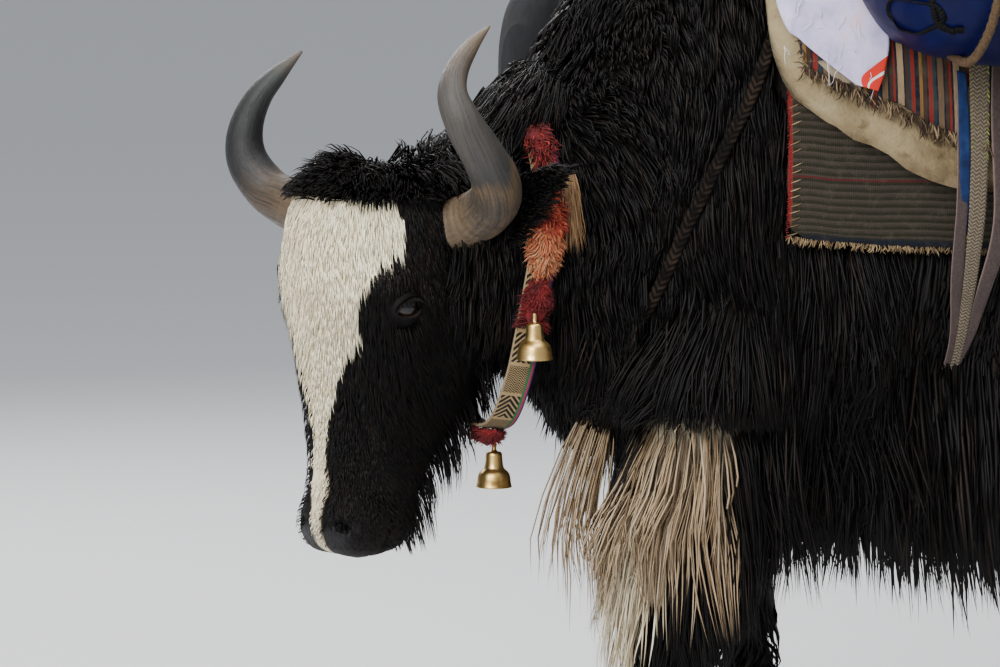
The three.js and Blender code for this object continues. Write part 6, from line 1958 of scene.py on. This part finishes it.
# %% Blanket
blanket_cut = CLOTHS["saddle_blanket"]
u, v, x, angle = cloth_grid(blanket_cut, 70, 112, ragged=3.0, seed=141, corner=24.0)
surface = trunk.on(x, angle)
hang = 1 - step(np.abs(folded(angle)) - edge_angle(blanket_cut, x), 0, 26)
ripple = 1.6 * hang * np.sin(x / 34 + 1.3 * noise(surface, 160.0, 142)) + 0.7 * noise(surface, 40.0, 143)
lower = trunk.on(x, angle, blanket_cut["lift"] + 2.0 + ripple)
upper = trunk.on(x, angle, blanket_cut["lift"] + 5.6 + ripple)
along, down, edge = cloth_measures(upper)
blanket_mesh = finish_cloth(shell("saddle_blanket", lower, upper), along, down, edge)
wool_cloth = Finish("blanket cloth", Roughness=0.9, Sheen_Weight=0.02, Sheen_Roughness=0.5)
run, across = wool_cloth.along_weave()
ground = wool_cloth.ramp(wool_cloth.maths("FRACT", wool_cloth.maths("DIVIDE", across, 0.0088)),
                         (0.0, (0.030, 0.023, 0.016)), (0.34, (0.044, 0.034, 0.024)),
                         (0.46, (0.012, 0.0115, 0.0045)), (0.80, (0.015, 0.014, 0.0055)),
                         (0.92, (0.030, 0.023, 0.016)))
broad = wool_cloth.noise(wool_cloth.place(scale=(1, 1, 5)), 5.0, 3.0)
ground = wool_cloth.mix(wool_cloth.times(broad, 0.45), ground, (0.014, 0.012, 0.010))
at_edge = wool_cloth.value("edge")
red_line = wool_cloth.maths("LESS_THAN", wool_cloth.apart(at_edge, 0.088), 0.0011)
ground = wool_cloth.mix(red_line, ground, (0.060, 0.007, 0.008))
fuzzy = wool_cloth.jittered(at_edge, wool_cloth.cloud(160.0, 3.0), 0.009)
border = wool_cloth.ramp(fuzzy, (0.0, 1), (0.013, 1), (0.017, 0))
ground = wool_cloth.mix(border, ground, (0.006, 0.008, 0.014))
piping = wool_cloth.maths("LESS_THAN", run, 0.005)
ground = wool_cloth.mix(piping, ground, (0.13, 0.010, 0.009))
dust = wool_cloth.cloud(75.0, 6.0, 0.7)
ground = wool_cloth.mix(wool_cloth.ramp(dust, (0.52, 0), (0.8, 0.35)), ground, (0.085, 0.072, 0.056))
blanket_finish = wool_cloth.done(Base_Color=ground, Normal=weave_bump(wool_cloth, 0.0022, 0.6, 0.0009))
blanket = piece("saddle_blanket", blanket_mesh, blanket_finish, ["saddle_blanket"])

# %% Blanket's fringe, stitches and piping
FRINGE, STITCHES = 1500, 150
chance = np.random.default_rng(144)
rear_to_front = chance.uniform(-596, 212, FRINGE)
side = np.where(chance.random(FRINGE) < 0.5, 1.0, -1.0)
low = edge_angle(blanket_cut, rear_to_front)
where = np.where(side > 0, low, 180 - low)
root = trunk.on(rear_to_front, where + side * 0.9, blanket_cut["lift"] + 4)
normal = trunk.out(rear_to_front, where)
tip_x = rear_to_front + chance.normal(0, 5, FRINGE)
tip_angle = where - side * chance.uniform(0.3, 1.2, FRINGE)
tips = trunk.on(tip_x, tip_angle, blanket_cut["lift"] + 3 + chance.uniform(-2, 5, FRINGE))
blanket_fringe = threads("blanket_fringe", root, tips, normal, chance.uniform(0.5, 4, FRINGE),
                         chance.uniform(1.2, 2.4, FRINGE), tan_yarn, 145, stray=3.0)
low = edge_angle(blanket_cut, np.array(212.0))
stitch_angle = (low + 1.2
                + (180 - 2 * low - 2.4) * (np.arange(STITCHES) + 0.35 * chance.random(STITCHES)) / STITCHES)
stitch_x = 202 - 3 * chance.random(STITCHES)
outer = trunk.out(stitch_x, stitch_angle)
start, end = trunk.on(stitch_x, stitch_angle, 26.0), trunk.on(stitch_x + 14, stitch_angle - 0.5, 24.0)
blanket_stitches = threads("blanket_stitches", start, end, outer, 2.4, 1.7, tan_yarn, 146)
low = edge_angle(blanket_cut, np.array(214.0))
rim_angle = np.linspace(low, 180 - low, 500)
rim_x = 215.5 + 0.6 * np.sin(np.arange(500) * 1.9)
start, end = trunk.on(rim_x - 3, rim_angle, 20.5), trunk.on(rim_x - 3, rim_angle + 0.4, 27.0)
outer = X + 0 * trunk.out(rim_x, rim_angle)
blanket_piping = threads("blanket_piping", start, end, outer, 2.6, 1.7, red_yarn, 147)

# %% Pad
pad_cut = CLOTHS["saddle_pad"]
u, v, x, angle = cloth_grid(pad_cut, 70, 96, ragged=2.0, seed=151, corner=60.0)
surface = trunk.on(x, angle)
along, down, edge = cloth_measures(trunk.on(x, angle, 47.0))
inwards = np.minimum(np.minimum(edge, along), along.max() - along) * 1000
roll = np.sqrt(1 - (1 - np.minimum(inwards / 38, 1)) ** 2)
valley = noise(np.stack([x * 0.6, 0 * x, down * 1000], -1), 48.0, 152)
crease = 5.0 * np.exp(-((valley / 0.10) ** 2)) * step(inwards, 6, 26) * (1 - step(along, 0.05, 0.20) * 0.75)
seam = 4.0 * np.exp(-(((inwards - 62) / 3.0) ** 2)) * (0.75 + 0.25 * np.sin(down * 1000 / 4.2))
swell = 3.2 * noise(surface, 60.0, 153) + 1.6 * noise(surface, 24.0, 154)
top = 47 + 16.6 * roll - (crease + seam + np.maximum(-swell, 0) * 1.5) * roll + np.minimum(swell, 0.4) * roll
upper = trunk.on(x, angle, np.minimum(top, 63.4))
lower = trunk.on(x, angle, 47 - 16.4 * roll)
pad_mesh = finish_cloth(shell("saddle_pad", lower, upper), along, down, edge)
canvas = Finish("pad canvas", Roughness=0.85, Sheen_Weight=0.02)
stain = canvas.cloud(11.0, 5.0, 0.6)
blotch = canvas.cloud(34.0, 4.0)
cream_cloth = canvas.ramp(stain, (0.30, (0.085, 0.056, 0.026)), (0.42, (0.195, 0.145, 0.075)),
                          (0.58, (0.26, 0.205, 0.112)), (0.8, (0.32, 0.26, 0.155)))
cream_cloth = canvas.mix(canvas.ramp(blotch, (0.58, 0), (0.70, 0.65)), cream_cloth, (0.075, 0.045, 0.019))
# the pad is darker along its lower edges, fading out over the first 45 mm from each edge
edge_darkening = canvas.ramp(canvas.plus(canvas.value("edge"), canvas.times(blotch, 0.02)), (0.0, 0.55), (0.045, 0))
cream_cloth = canvas.mix(edge_darkening, cream_cloth, (0.08, 0.058, 0.034))
wrinkle = canvas.cloud(55.0, 5.0, 0.65)
fine_weave = weave_bump(canvas, 0.0013, 0.35, 0.0005)
pad_finish = canvas.done(Base_Color=cream_cloth, Normal=canvas.bump(wrinkle, 0.6, 0.010, fine_weave))
pad = piece("saddle_pad", pad_mesh, pad_finish, ["saddle_pad"])

# %% Rug
rug_cut = CLOTHS["saddle_rug"]
u, v, x, angle = cloth_grid(rug_cut, 60, 92, ragged=6.0, seed=161, corner=26.0)
surface = trunk.on(x, angle)
ripple = 0.8 * noise(surface, 60.0, 162) + 0.4 * noise(surface, 18.0, 163)
lower = trunk.on(x, angle, rug_cut["lift"] + 1.2 + ripple)
upper = trunk.on(x, angle, rug_cut["lift"] + 5.4 + ripple)
along, down, edge = cloth_measures(upper)
rug_mesh = finish_cloth(shell("saddle_rug", lower, upper), along, down, edge)
NAVY, TEAL, RED = (0.005, 0.007, 0.016), (0.010, 0.026, 0.032), (0.16, 0.014, 0.009)
OCHRE, FAWN = (0.17, 0.088, 0.024), (0.115, 0.070, 0.038)
BROWN, SAND = (0.034, 0.018, 0.011), (0.25, 0.175, 0.098)
striped = Finish("rug stripes", Roughness=0.88, Sheen_Weight=0.02)
# a ramp holds 32 stops at most, so the bands are shared out over two
bands = hard((0.0, NAVY), (0.04, OCHRE), (0.10, BROWN), (0.17, NAVY), (0.20, RED), (0.28, TEAL),
             (0.34, NAVY), (0.37, FAWN), (0.47, NAVY), (0.50, BROWN), (0.57, RED), (0.61, NAVY),
             (0.65, SAND), (0.76, NAVY), (0.79, BROWN), (0.85, TEAL), (0.89, RED), (0.96, NAVY))
half_one, half_two = bands[:18], bands[18:]
run, _ = striped.along_weave()
wavering = striped.jittered(run, striped.cloud(120.0, 3.0), 0.0016)
share = striped.maths("FRACT", striped.maths("DIVIDE", wavering, 0.068))
first = striped.ramp(striped.times(share, 2.0),
                     *[(min(place * 2, 1.0), colour) for place, colour in half_one])
second = striped.ramp(striped.times(share, 2.0, -1.0),
                      *[(max(place * 2 - 1, 0.0), colour) for place, colour in half_two])
threads_on = striped.mix(striped.maths("GREATER_THAN", share, 0.5), first, second)
worn_here = striped.cloud(17.0, 6.0, 0.75)
worn_mask = striped.ramp(striped.times(striped.value("worn"), 0.55, striped.times(worn_here, 0.55)),
                         (0.52, 0), (0.60, 1))
threads_on = striped.mix(worn_mask, threads_on, (0.30, 0.24, 0.16))
soil = striped.cloud(42.0, 5.0)
threads_on = striped.mix(striped.ramp(soil, (0.45, 0), (0.75, 0.6)), threads_on, (0.07, 0.052, 0.036))
rug_finish = striped.done(Base_Color=threads_on, Normal=weave_bump(striped, 0.0017, 0.6, 0.0008))
worn_spot = np.exp(-(((x - 172) / 34) ** 2 + ((down - 0.030) / 0.022) ** 2))
worn_spot = worn_spot + np.exp(-(((x + 260) / 60) ** 2 + ((down - 0.05) / 0.03) ** 2))
mark(rug_mesh, "worn", np.tile(worn_spot.ravel(), 2))
rug = piece("saddle_rug", rug_mesh, rug_finish, ["saddle_rug"])

# %% Rug's fringe
chance = np.random.default_rng(164)
count = 1700
on_front = chance.random(count) < 0.26
side = np.where(chance.random(count) < 0.5, 1.0, -1.0)
fx = np.where(on_front, 212 + 0 * side, chance.uniform(-478, 212, count))
low = edge_angle(rug_cut, fx)
where = np.where(on_front, low + (180 - 2 * low) * chance.random(count), np.where(side > 0, low, 180 - low))
lift = rug_cut["lift"] + 3.5 + chance.uniform(-1.5, 2.5, count)
root = trunk.on(fx, where + np.where(on_front, 0, side * 1.1), lift)
normal = trunk.out(fx, where)
reach = chance.uniform(0.3, 1.8, count)
tip_x = fx + np.where(on_front, chance.uniform(2, 12, count), chance.normal(0, 7, count))
tip_angle = where - np.where(on_front, chance.normal(0, 1.4, count), side * reach)
tips = trunk.on(tip_x, tip_angle, rug_cut["lift"] + 2 + chance.uniform(-3, 7, count))
rug_fringe = threads("rug_fringe", root, tips, normal, chance.uniform(0, 7, count),
                     chance.uniform(1.4, 3.0, count), mixed_yarn, 165, stray=6.0)

# %% [markdown]
# ## Straps
# Flat straps hold the load: tan webbing, a soft grey felt strap whose edges wander, and a torn strip of
# blue cloth. They narrow as they run down into the flank's hair. A strap is a thin shell over the same
# surface as the cloths, and its own map carries a herringbone, a felt or a plain weave.

# %% Bands over the cloths
BRIDGED = 7  # rows of a strap on either side of each that it is drawn tight over


def taut(lift):
    """A strap's lift, bridging every dip: the highest of the rows nearby, then their mean."""
    for join in (np.max, np.mean):
        wide = np.pad(lift, ((BRIDGED, BRIDGED), (0, 0)), mode="edge")
        lift = join(np.lib.stride_tricks.sliding_window_view(wide, 2 * BRIDGED + 1, axis=0), axis=-1)
    return lift


HANG = 0.34  # how far back a strap runs for each millimetre that the cloth under it drops


def strap(name, run, finish, low, high, rows, half, sway, replaces=True):
    """A band along the angle from start to end; half(angle) is half its width and sway(angle) moves its
    middle in x; it stands from low to high over whatever cloth is on top."""
    angle = np.linspace(run["start"], run["end"], rows)
    turn = (run["first"] - angle) / (run["first"] - run["last"]) * run["spans"]
    middle = girth_x[run["route"]](turn)[..., 0] + sway(angle)
    side = np.linspace(-1, 1, 9)
    x = middle[:, None] + half(angle)[:, None] * side
    a = angle[:, None] + 0 * x
    x = x - HANG * (ON_RUG - taut(over_cloths(x, folded(a))))
    base = taut(over_cloths(x, folded(a)))
    rim = (1 - np.abs(side) ** 8)[None] * 0.5 + 0.5
    lower, upper = trunk.on(x, a, base + low), trunk.on(x, a, base + low + (high - low) * rim)
    mesh = shell(name, lower, upper)
    far = run_of(upper[:, 4]) / 1000
    place = np.stack([far[:, None] + 0 * x, (x - middle[:, None]) / 1000], -1)
    own_map(mesh, "weave", np.tile(place.reshape(-1, 2), (2, 1)))
    mark(mesh, "rim", np.tile(np.abs(side), 2 * rows))
    return piece(name, mesh, finish, [name] if replaces else ())


def girth_run(name, start=None, end=None):
    """The part of a girth's route between two angles."""
    run = GIRTHS[name]
    return {"route": name, "first": run["start"], "last": run["end"], "spans": len(run["x"]) - 1,
            "start": run["start"] if start is None else start, "end": run["end"] if end is None else end}


def narrowing(angle, full, small):
    """Half a strap's width: full over the cloths and small where it dives into the hair of either flank."""
    return small * 0.55 + (full - small * 0.55) * step(folded(angle), -56, 24)


webbing = Finish("strap webbing", Roughness=0.9, Sheen_Weight=0.02)
run, wide = webbing.along_weave()
folds = webbing.maths("PINGPONG", webbing.plus(wide, 0.1), 0.0040)
zig = webbing.times(run, 210.0, webbing.times(folds, 190.0))
rib = webbing.maths("SINE", webbing.times(zig, 6.283))
knit = webbing.noise(webbing.place(name="weave"), 500.0, 2.0)
tan_web = webbing.ramp(webbing.times(rib, 0.25, knit), (0.25, (0.045, 0.034, 0.021)),
                       (0.6, (0.125, 0.100, 0.068)), (0.95, (0.24, 0.20, 0.145)))
dirt = webbing.times(webbing.cloud(30.0, 5.0), 0.5)
webbing_finish = webbing.done(Base_Color=webbing.mix(dirt, tan_web, (0.10, 0.078, 0.055)),
                              Normal=webbing.bump(rib, 0.5, 0.0012, webbing.bump(knit, 0.4, 0.0006)))
felt = Finish("grey felt", Roughness=0.95, Sheen_Weight=0.05, Sheen_Roughness=0.6)
fuzz = felt.cloud(330.0, 5.0, 0.7)
mauve = felt.ramp(fuzz, (0.3, (0.028, 0.019, 0.0175)), (0.7, (0.064, 0.045, 0.041)))
pale_rim = felt.ramp(felt.value("rim"), (0.84, 0), (0.98, 0.8))
felt_finish = felt.done(Base_Color=felt.mix(pale_rim, mauve, (0.17, 0.115, 0.10)),
                        Normal=felt.bump(fuzz, 0.7, 0.0014))
rag = Finish("blue cloth", Roughness=0.8, Sheen_Weight=0.02)
faded = rag.cloud(60.0, 5.0)
blues = rag.ramp(faded, (0.3, (0.002, 0.007, 0.034)), (0.55, (0.004, 0.018, 0.075)),
                 (0.8, (0.016, 0.040, 0.11)))
rag_finish = rag.done(Base_Color=blues, Normal=weave_bump(rag, 0.0012))


# %% Girth, straps and stitches
def webbing_sway(angle):
    """The webbing's place ahead of its route, 8 mm above and none where it runs down the flank."""
    return 8 - 8 * (1 - step(folded(angle), -44, -8))


def webbing_half(angle):
    """Half the webbing's width."""
    return narrowing(angle, 12.5, 7.0)


strap("girth_webbing", girth_run("girth_webbing"), webbing_finish, 1.4, 3.6, 240,
      webbing_half, webbing_sway)
strap("girth_strap_grey", girth_run("girth_strap_grey"), felt_finish, 0.4, 2.9, 240,
      lambda a: narrowing(a, 14.0, 6.0) * (1 + 0.10 * np.sin(a / 5.5) * step(folded(a), -30, 0)),
      lambda a: 20 + 18 * (1 - step(folded(a), -44, 0)) + 1.5 * np.sin(a / 4))
strap("girth_strap_blue", girth_run("girth_strap_blue", start=13), rag_finish, 2.6, 4.6, 60,
      lambda a: 6.0 * (0.55 + 0.45 * step(a, -15, -4)) * (1 + 0.08 * np.sin(a / 2.3)),
      lambda a: -1.5 + 0.8 * np.sin(a / 6))
strap("felt_edge", girth_run("girth_webbing", start=11, end=-56), felt_finish, 0.2, 1.6, 60,
      lambda a: 7.5 * (1 + 0.12 * np.sin(a / 4.1)), lambda a: 26 - 22 * (1 - step(a, -44, -6)),
      replaces=False)
chance = np.random.default_rng(171)
n = 260
stitch_at = np.where(chance.random(n) < 0.5, chance.uniform(-24, 58, n), chance.uniform(-238, -158, n))
turn = (60 - stitch_at) / 300 * 4
mid = girth_x["girth_webbing"](turn)[..., 0] + webbing_sway(stitch_at)
edge_side = np.where(chance.random(n) < 0.5, 1.0, -1.0)
stitch_x = mid + edge_side * (webbing_half(stitch_at) - 1.4)
stitch_x = stitch_x - HANG * (ON_RUG - over_cloths(stitch_x, folded(stitch_at)))
base = over_cloths(stitch_x, folded(stitch_at))
green_yarn = yarn("green thread", (0.1, (0.10, 0.16, 0.02)), (0.9, (0.33, 0.42, 0.06)))
start = trunk.on(stitch_x + edge_side * 1.4, stitch_at, base + 3.2)
end = trunk.on(stitch_x - edge_side * 2.4, stitch_at + 0.5, base + 3.8)
threads("webbing_stitches", start, end, trunk.out(stitch_x, stitch_at), 0.7, 1.0, green_yarn, 172)

# %% Breast strap
braid = Finish("braid", Roughness=0.9, Specular_IOR_Level=0.08)
run, wide = braid.along_weave()
zig = braid.times(run, 120.0, braid.times(braid.maths("ABSOLUTE", wide), 110.0))
plait = braid.maths("ABSOLUTE", braid.maths("SINE", braid.times(zig, 3.1416)))
soiled = braid.cloud(60.0, 5.0)
braid_colour = braid.ramp(braid.times(plait, 0.35, soiled), (0.45, (0.0016, 0.0013, 0.0012)),
                          (0.75, (0.0045, 0.0032, 0.0025)), (1.0, (0.022, 0.014, 0.009)))
hairy = braid.bump(braid.cloud(400.0, 3.0), 0.4, 0.0006)
braid_finish = braid.done(Base_Color=braid_colour, Normal=braid.bump(plait, 0.7, 0.0016, hairy))
route = breast_rows(np.linspace(0, 16, 260))
line = trunk.on(route[:, 0], route[:, 1], BREAST_LIFT + 0.3)
way = unit(np.gradient(line, axis=0))
normal = trunk.out(route[:, 0], route[:, 1])
width = unit(np.cross(way, normal))
side = np.linspace(-1, 1, 9)
lower = line[:, None] + width[:, None] * (7.5 * side)[None, :, None]
raised = 0.5 + 2.0 * (1 - side ** 6)
upper = lower + normal[:, None] * raised[None, :, None]
mesh = shell("breast_strap", lower, upper)
far = run_of(line)[:, None] / 1000
place = np.stack([far + 0 * side, 0 * far + side * 0.0075], -1)
own_map(mesh, "weave", np.tile(place.reshape(-1, 2), (2, 1)))
piece("breast_strap", mesh, braid_finish, ["breast_strap"])

# %% [markdown]
# ## Load bags, ropes and a scrap of cloth
# A blue bag lies on the left of the load and a black one hangs lower on the right. Both are coated cloth,
# so they shine softly, sag under their own weight and crease where the rope presses. A bag is a loft of
# rounded sections whose underside is pushed out to lie on the cloths.

# %% Bags
BAGS = {
    "load_bag_left": [
        [166, 396, 1186, 70, 70, 70, 2.2], [152, 396, 1186, 118, 118, 118, 2.3],
        [118, 396, 1186, 152, 154, 156, 2.4], [50, 396, 1186, 170, 172, 174, 2.5],
        [-200, 398, 1182, 174, 174, 178, 2.5], [-460, 398, 1180, 170, 170, 174, 2.5],
        [-560, 396, 1180, 150, 150, 154, 2.4], [-606, 394, 1180, 112, 112, 114, 2.3],
        [-622, 394, 1180, 66, 66, 66, 2.2],
    ],
    "load_bag_right": [
        [286, -462, 962, 70, 66, 66, 2.2], [274, -462, 962, 112, 112, 112, 2.3],
        [238, -462, 962, 146, 150, 150, 2.3], [170, -462, 962, 162, 168, 168, 2.3],
        [-40, -464, 956, 166, 172, 174, 2.3], [-280, -462, 956, 160, 166, 168, 2.3],
        [-370, -460, 956, 138, 142, 144, 2.3], [-412, -460, 956, 104, 106, 108, 2.2],
        [-426, -460, 956, 60, 60, 60, 2.2],
    ],
}
ROPES = {"lashing_rope_front": (84, [66, 80, 94, 108]), "lashing_rope_rear": (-300, [])}
bags = {name: trunk_tube(rows) for name, rows in BAGS.items()}


def bag_surface(name, x, angle, extra=0.0):
    """The bag's sections, creased along its length and pinched a little under the ropes, and kept off
    the cloths."""
    tube = bags[name]
    points = tube.on(x, angle)
    folds = 2.6 * noise(points * np.array([0.4, 1, 1]), 60.0, 181)
    folds = folds + 1.4 * noise(points * np.array([1, 0.6, 0.6]), 28.0, 182)
    sharp = -2.6 * np.exp(-((noise(points * np.array([0.5, 1, 1]), 75.0, 183) / 0.07) ** 2))
    pinch = sum(-3.0 * np.exp(-(((x - at) / 16) ** 2)) for at, _ in ROPES.values())
    near_end = np.minimum(np.abs(x - tube.first), np.abs(x - tube.last))
    seam = 2.2 * np.exp(-(((near_end - 50) / 2.6) ** 2))
    lift = np.minimum(folds + sharp, 1.5) * np.clip(near_end / 30, 0, 1) + pinch + seam + extra - 1.5
    lifted = tube.on(x, angle, lift)
    return trunk.held(lifted, low=ON_RUG + 12.5 + 0 * x)


def bag_finish(name, deep, mid, pale, rough):
    """Coated cloth: a fine weave under a soft gloss, paler where it is rubbed."""
    made = Finish(name, IOR=1.48, Specular_IOR_Level=0.12, Coat_Weight=0.02, Coat_Roughness=0.3)
    cloud = made.cloud(9.0, 4.0)
    rubbed = made.cloud(38.0, 6.0, 0.7)
    crumple = made.add("TexVoronoi", {"feature": "SMOOTH_F1"}, Vector=made.place(), Scale=13.0)
    colour = made.mix(made.ramp(rubbed, (0.55, 0), (0.8, 0.5)), made.ramp(cloud, (0.3, deep), (0.7, mid)),
                      pale)
    grain = made.add("TexVoronoi", Vector=made.place(), Scale=700.0)
    under = made.bump(crumple.outputs["Distance"], 0.25, 0.012,
                      made.bump(grain.outputs["Distance"], 0.15, 0.0004))
    return made.done(Base_Color=colour, Roughness=made.ramp(rubbed, (0.35, rough), (0.75, rough + 0.22)),
                     Normal=under)


blue_coated = bag_finish("blue coated cloth", (0.0006, 0.0012, 0.016), (0.0009, 0.0024, 0.040),
                         (0.003, 0.007, 0.060), 0.42)
black_coated = bag_finish("black coated cloth", (0.0015, 0.0015, 0.002), (0.003, 0.003, 0.004),
                          (0.010, 0.010, 0.012), 0.5)
for name, material, slot in (("load_bag_left", blue_coated, "bag_blue"),
                             ("load_bag_right", black_coated, "bag_black")):
    tube = bags[name]
    share = 0.02 + 0.96 * np.linspace(0.0, 1.0, 110)
    stations = tube.first + (tube.last - tube.first) * (0.5 - 0.5 * np.cos(np.pi * share))
    x, angle = np.meshgrid(np.concatenate([[tube.first], stations, [tube.last]]), np.arange(90) * 360 / 90,
                           indexing="ij")
    shown = piece(name, lofted(name, bag_surface(name, x, angle)), material, [name])

# %% Webbing and a loop on the blue bag
black_web = Finish("black webbing", Roughness=0.8, Specular_IOR_Level=0.1)
run, _ = black_web.along_weave()
ridge = black_web.maths("SINE", black_web.times(run, 1500.0))
rubbed = black_web.cloud(200.0, 4.0)
blacks = black_web.ramp(rubbed, (0.3, (0.0015, 0.0015, 0.0018)), (0.8, (0.007, 0.0066, 0.0068)))
black_web_finish = black_web.done(Base_Color=blacks, Normal=black_web.bump(ridge, 0.6, 0.0008))
WEB_LOW, WEB_THICK = 1.0, 2.0


def bag_web(name, points, half, closed=False):
    """A flat web on the left bag along points of x and angle, as a closed shell."""
    curve = catmull(np.array([[x, angle, 0.0] for x, angle in points], float), closed)
    curve = curve[:-1] if closed else curve
    here = bag_surface("load_bag_left", curve[:, 0], curve[:, 1], WEB_LOW)
    above = bag_surface("load_bag_left", curve[:, 0], curve[:, 1], WEB_LOW + 4)
    normal = unit(above - here + 1e-9)
    way = (np.roll(here, -1, 0) - np.roll(here, 1, 0)) if closed else np.gradient(here, axis=0)
    across = unit(np.cross(unit(way), normal))
    corners = [(-half, 0), (half, 0), (half, WEB_THICK), (-half, WEB_THICK)]
    rings = np.stack([here + across * a + normal * b for a, b in corners], 1)
    mesh = hoop_mesh(name, rings) if closed else lofted(name, rings)
    far = run_of(here) / 1000
    place = np.stack([np.repeat(far, 4), np.tile([-half, half, half, -half], len(far)) / 1000], -1)
    own_map(mesh, "weave", place if closed else np.concatenate([place, place[:1], place[-1:]]))
    return piece(name, mesh, black_web_finish)


LOOP = [(155, -84), (145, -84), (138, -77), (133, -59), (127, -48), (137, -43), (153, -54), (158, -76)]
bag_web("bag_loop", LOOP, 3.4, closed=True)
bag_web("bag_web_upper", [(160, 20), (150, -20), (140, -42), (128, -52), (104, -50)], 5.0)
bag_web("bag_web_long", [(152, -2), (60, 6), (-60, 8), (-200, 6), (-340, 8), (-480, 6), (-608, 0)], 12.0)
bag_web("bag_web_round", [(-420, angle) for angle in range(-70, 121, 19)], 12.0)

# %% Ropes
fibre = Finish("rope", Roughness=0.9)
strand_noise = fibre.cloud(300.0, 5.0, 0.7)
hemp = fibre.ramp(strand_noise, (0.3, (0.028, 0.016, 0.008)), (0.6, (0.090, 0.056, 0.028)),
                  (0.85, (0.18, 0.120, 0.066)))
rope_finish = fibre.done(Base_Color=hemp, Normal=fibre.bump(strand_noise, 0.7, 0.0012))


def twisted(far, angle):
    """A rope's radius: three strands that wind round as it runs."""
    return 5.9 * (0.80 + 0.20 * np.abs(np.cos(np.radians(1.5 * (angle + far * 9.0)))))


def sweep(curve, radius, sides):
    """Rings across a curve: a frame carried along it without twist, and radius(distance, angle)."""
    way = unit(np.gradient(curve, axis=0))
    side = unit(np.cross(way, X))
    up = np.cross(side, way)
    far = run_of(curve)
    angle = np.arange(sides) * 360 / sides
    r = radius(far[:, None], angle[None])[..., None]
    c, s = np.cos(np.radians(angle))[None, :, None], np.sin(np.radians(angle))[None, :, None]
    return curve[:, None] + r * (side[:, None] * c + up[:, None] * s)


for name, (at, over) in ROPES.items():
    here = np.full(10, float(at))
    left = bags["load_bag_left"].on(here, np.linspace(-88, 98, 10), np.append(-12.0, np.full(9, 9.0)))
    back = trunk.on(np.full(len(over), float(at)), np.array(over, float), ON_RUG + 12)
    right = bags["load_bag_right"].on(here, np.linspace(82, 268, 10), 9.0)
    curve = catmull(np.concatenate([left, back, right]), fine=20)
    piece(name, lofted(name, sweep(curve, twisted, 12)), rope_finish, [name])

# %% Scrap of cloth
# x and height of its front edge, then of its rear edge, from top to bottom
SCRAP = through([
    [236, 1118, 128, 1132], [238, 1082, 118, 1080], [226, 1046, 116, 1034], [196, 1016, 124, 998],
    [158, 986, 132, 978],
])
u, v = np.meshgrid(np.linspace(0, 1, 60), np.linspace(0, 1, 40), indexing="ij")
rows = SCRAP(u * 4)
x = rows[..., 0] + (rows[..., 2] - rows[..., 0]) * v
z = rows[..., 1] + (rows[..., 3] - rows[..., 1]) * v
angle = side_angle(x, z, ON_RUG)
flutter = (1.3 * np.sin(v * 7 + u * 3) * step(u, 0.1, 0.4)
           + 0.8 * noise(np.stack([x, z, 0 * x], -1), 22.0, 191))
base = over_cloths(x, angle) + 6 + np.clip(flutter, -1.5, 0.8) * 0.5
scrap_mesh = shell("cloth_scrap", trunk.on(x, angle, base), trunk.on(x, angle, base + 1.2))
own_map(scrap_mesh, "weave", np.tile(np.stack([u * 0.15, v * 0.11], -1).reshape(-1, 2), (2, 1)))
cotton = Finish("scrap cotton", Roughness=0.75, Sheen_Weight=0.02)
run, wide = cotton.along_weave()
tint = cotton.cloud(26.0, 4.0)
pale = cotton.ramp(tint, (0.35, (0.36, 0.33, 0.49)), (0.55, (0.50, 0.46, 0.63)), (0.66, (0.56, 0.40, 0.47)),
                   (0.8, (0.55, 0.26, 0.30)))
slant = cotton.jittered(cotton.times(wide, 0.8, run), tint, 0.004)
patch = cotton.maths("GREATER_THAN", slant, 0.178)
line = cotton.maths("LESS_THAN", cotton.apart(slant, 0.199), 0.0030)
scrap_colour = cotton.mix(line, cotton.mix(patch, pale, (0.50, 0.022, 0.013)), (0.60, 0.56, 0.62))
soft_folds = cotton.cloud(60.0, 4.0)
fine_weave = weave_bump(cotton, 0.0008, 0.25, 0.0003)
scrap_finish = cotton.done(Base_Color=scrap_colour, Normal=cotton.bump(soft_folds, 0.4, 0.0018, fine_weave))
scrap = piece("cloth_scrap", scrap_mesh, scrap_finish, ["cloth_scrap"])

# %% Loose threads
chance = np.random.default_rng(192)
x = chance.uniform(140, 236, 26)
z = 1120 - chance.uniform(10, 110, 26)
angle = side_angle(x, z, ON_RUG)
base = over_cloths(x, angle)
start = trunk.on(x, angle, base + 7)
end = trunk.on(x + chance.uniform(-16, 20, 26), angle - chance.uniform(1, 6, 26), base + 5)
threads("loose_threads", start, end, trunk.out(x, angle), chance.uniform(0, 6, 26), 0.8, white_yarn, 193,
        steps=7, stray=12.0)

# %% Floor
floor_mesh = bpy.data.meshes.new("floor")
floor_mesh.from_pydata([(-60, -60, 0), (60, -60, 0), (60, 60, 0), (-60, 60, 0)], [], [(0, 1, 2, 3)])
floor = bpy.data.objects.new("floor", floor_mesh)
bpy.context.scene.collection.objects.link(floor)
ground = Finish("pale floor", Roughness=0.9)
grain = ground.cloud(60.0, 4.0)
floor_mesh.materials.append(ground.done(Base_Color=ground.mix(grain, 0.60, (0.66, 0.66, 0.67))))
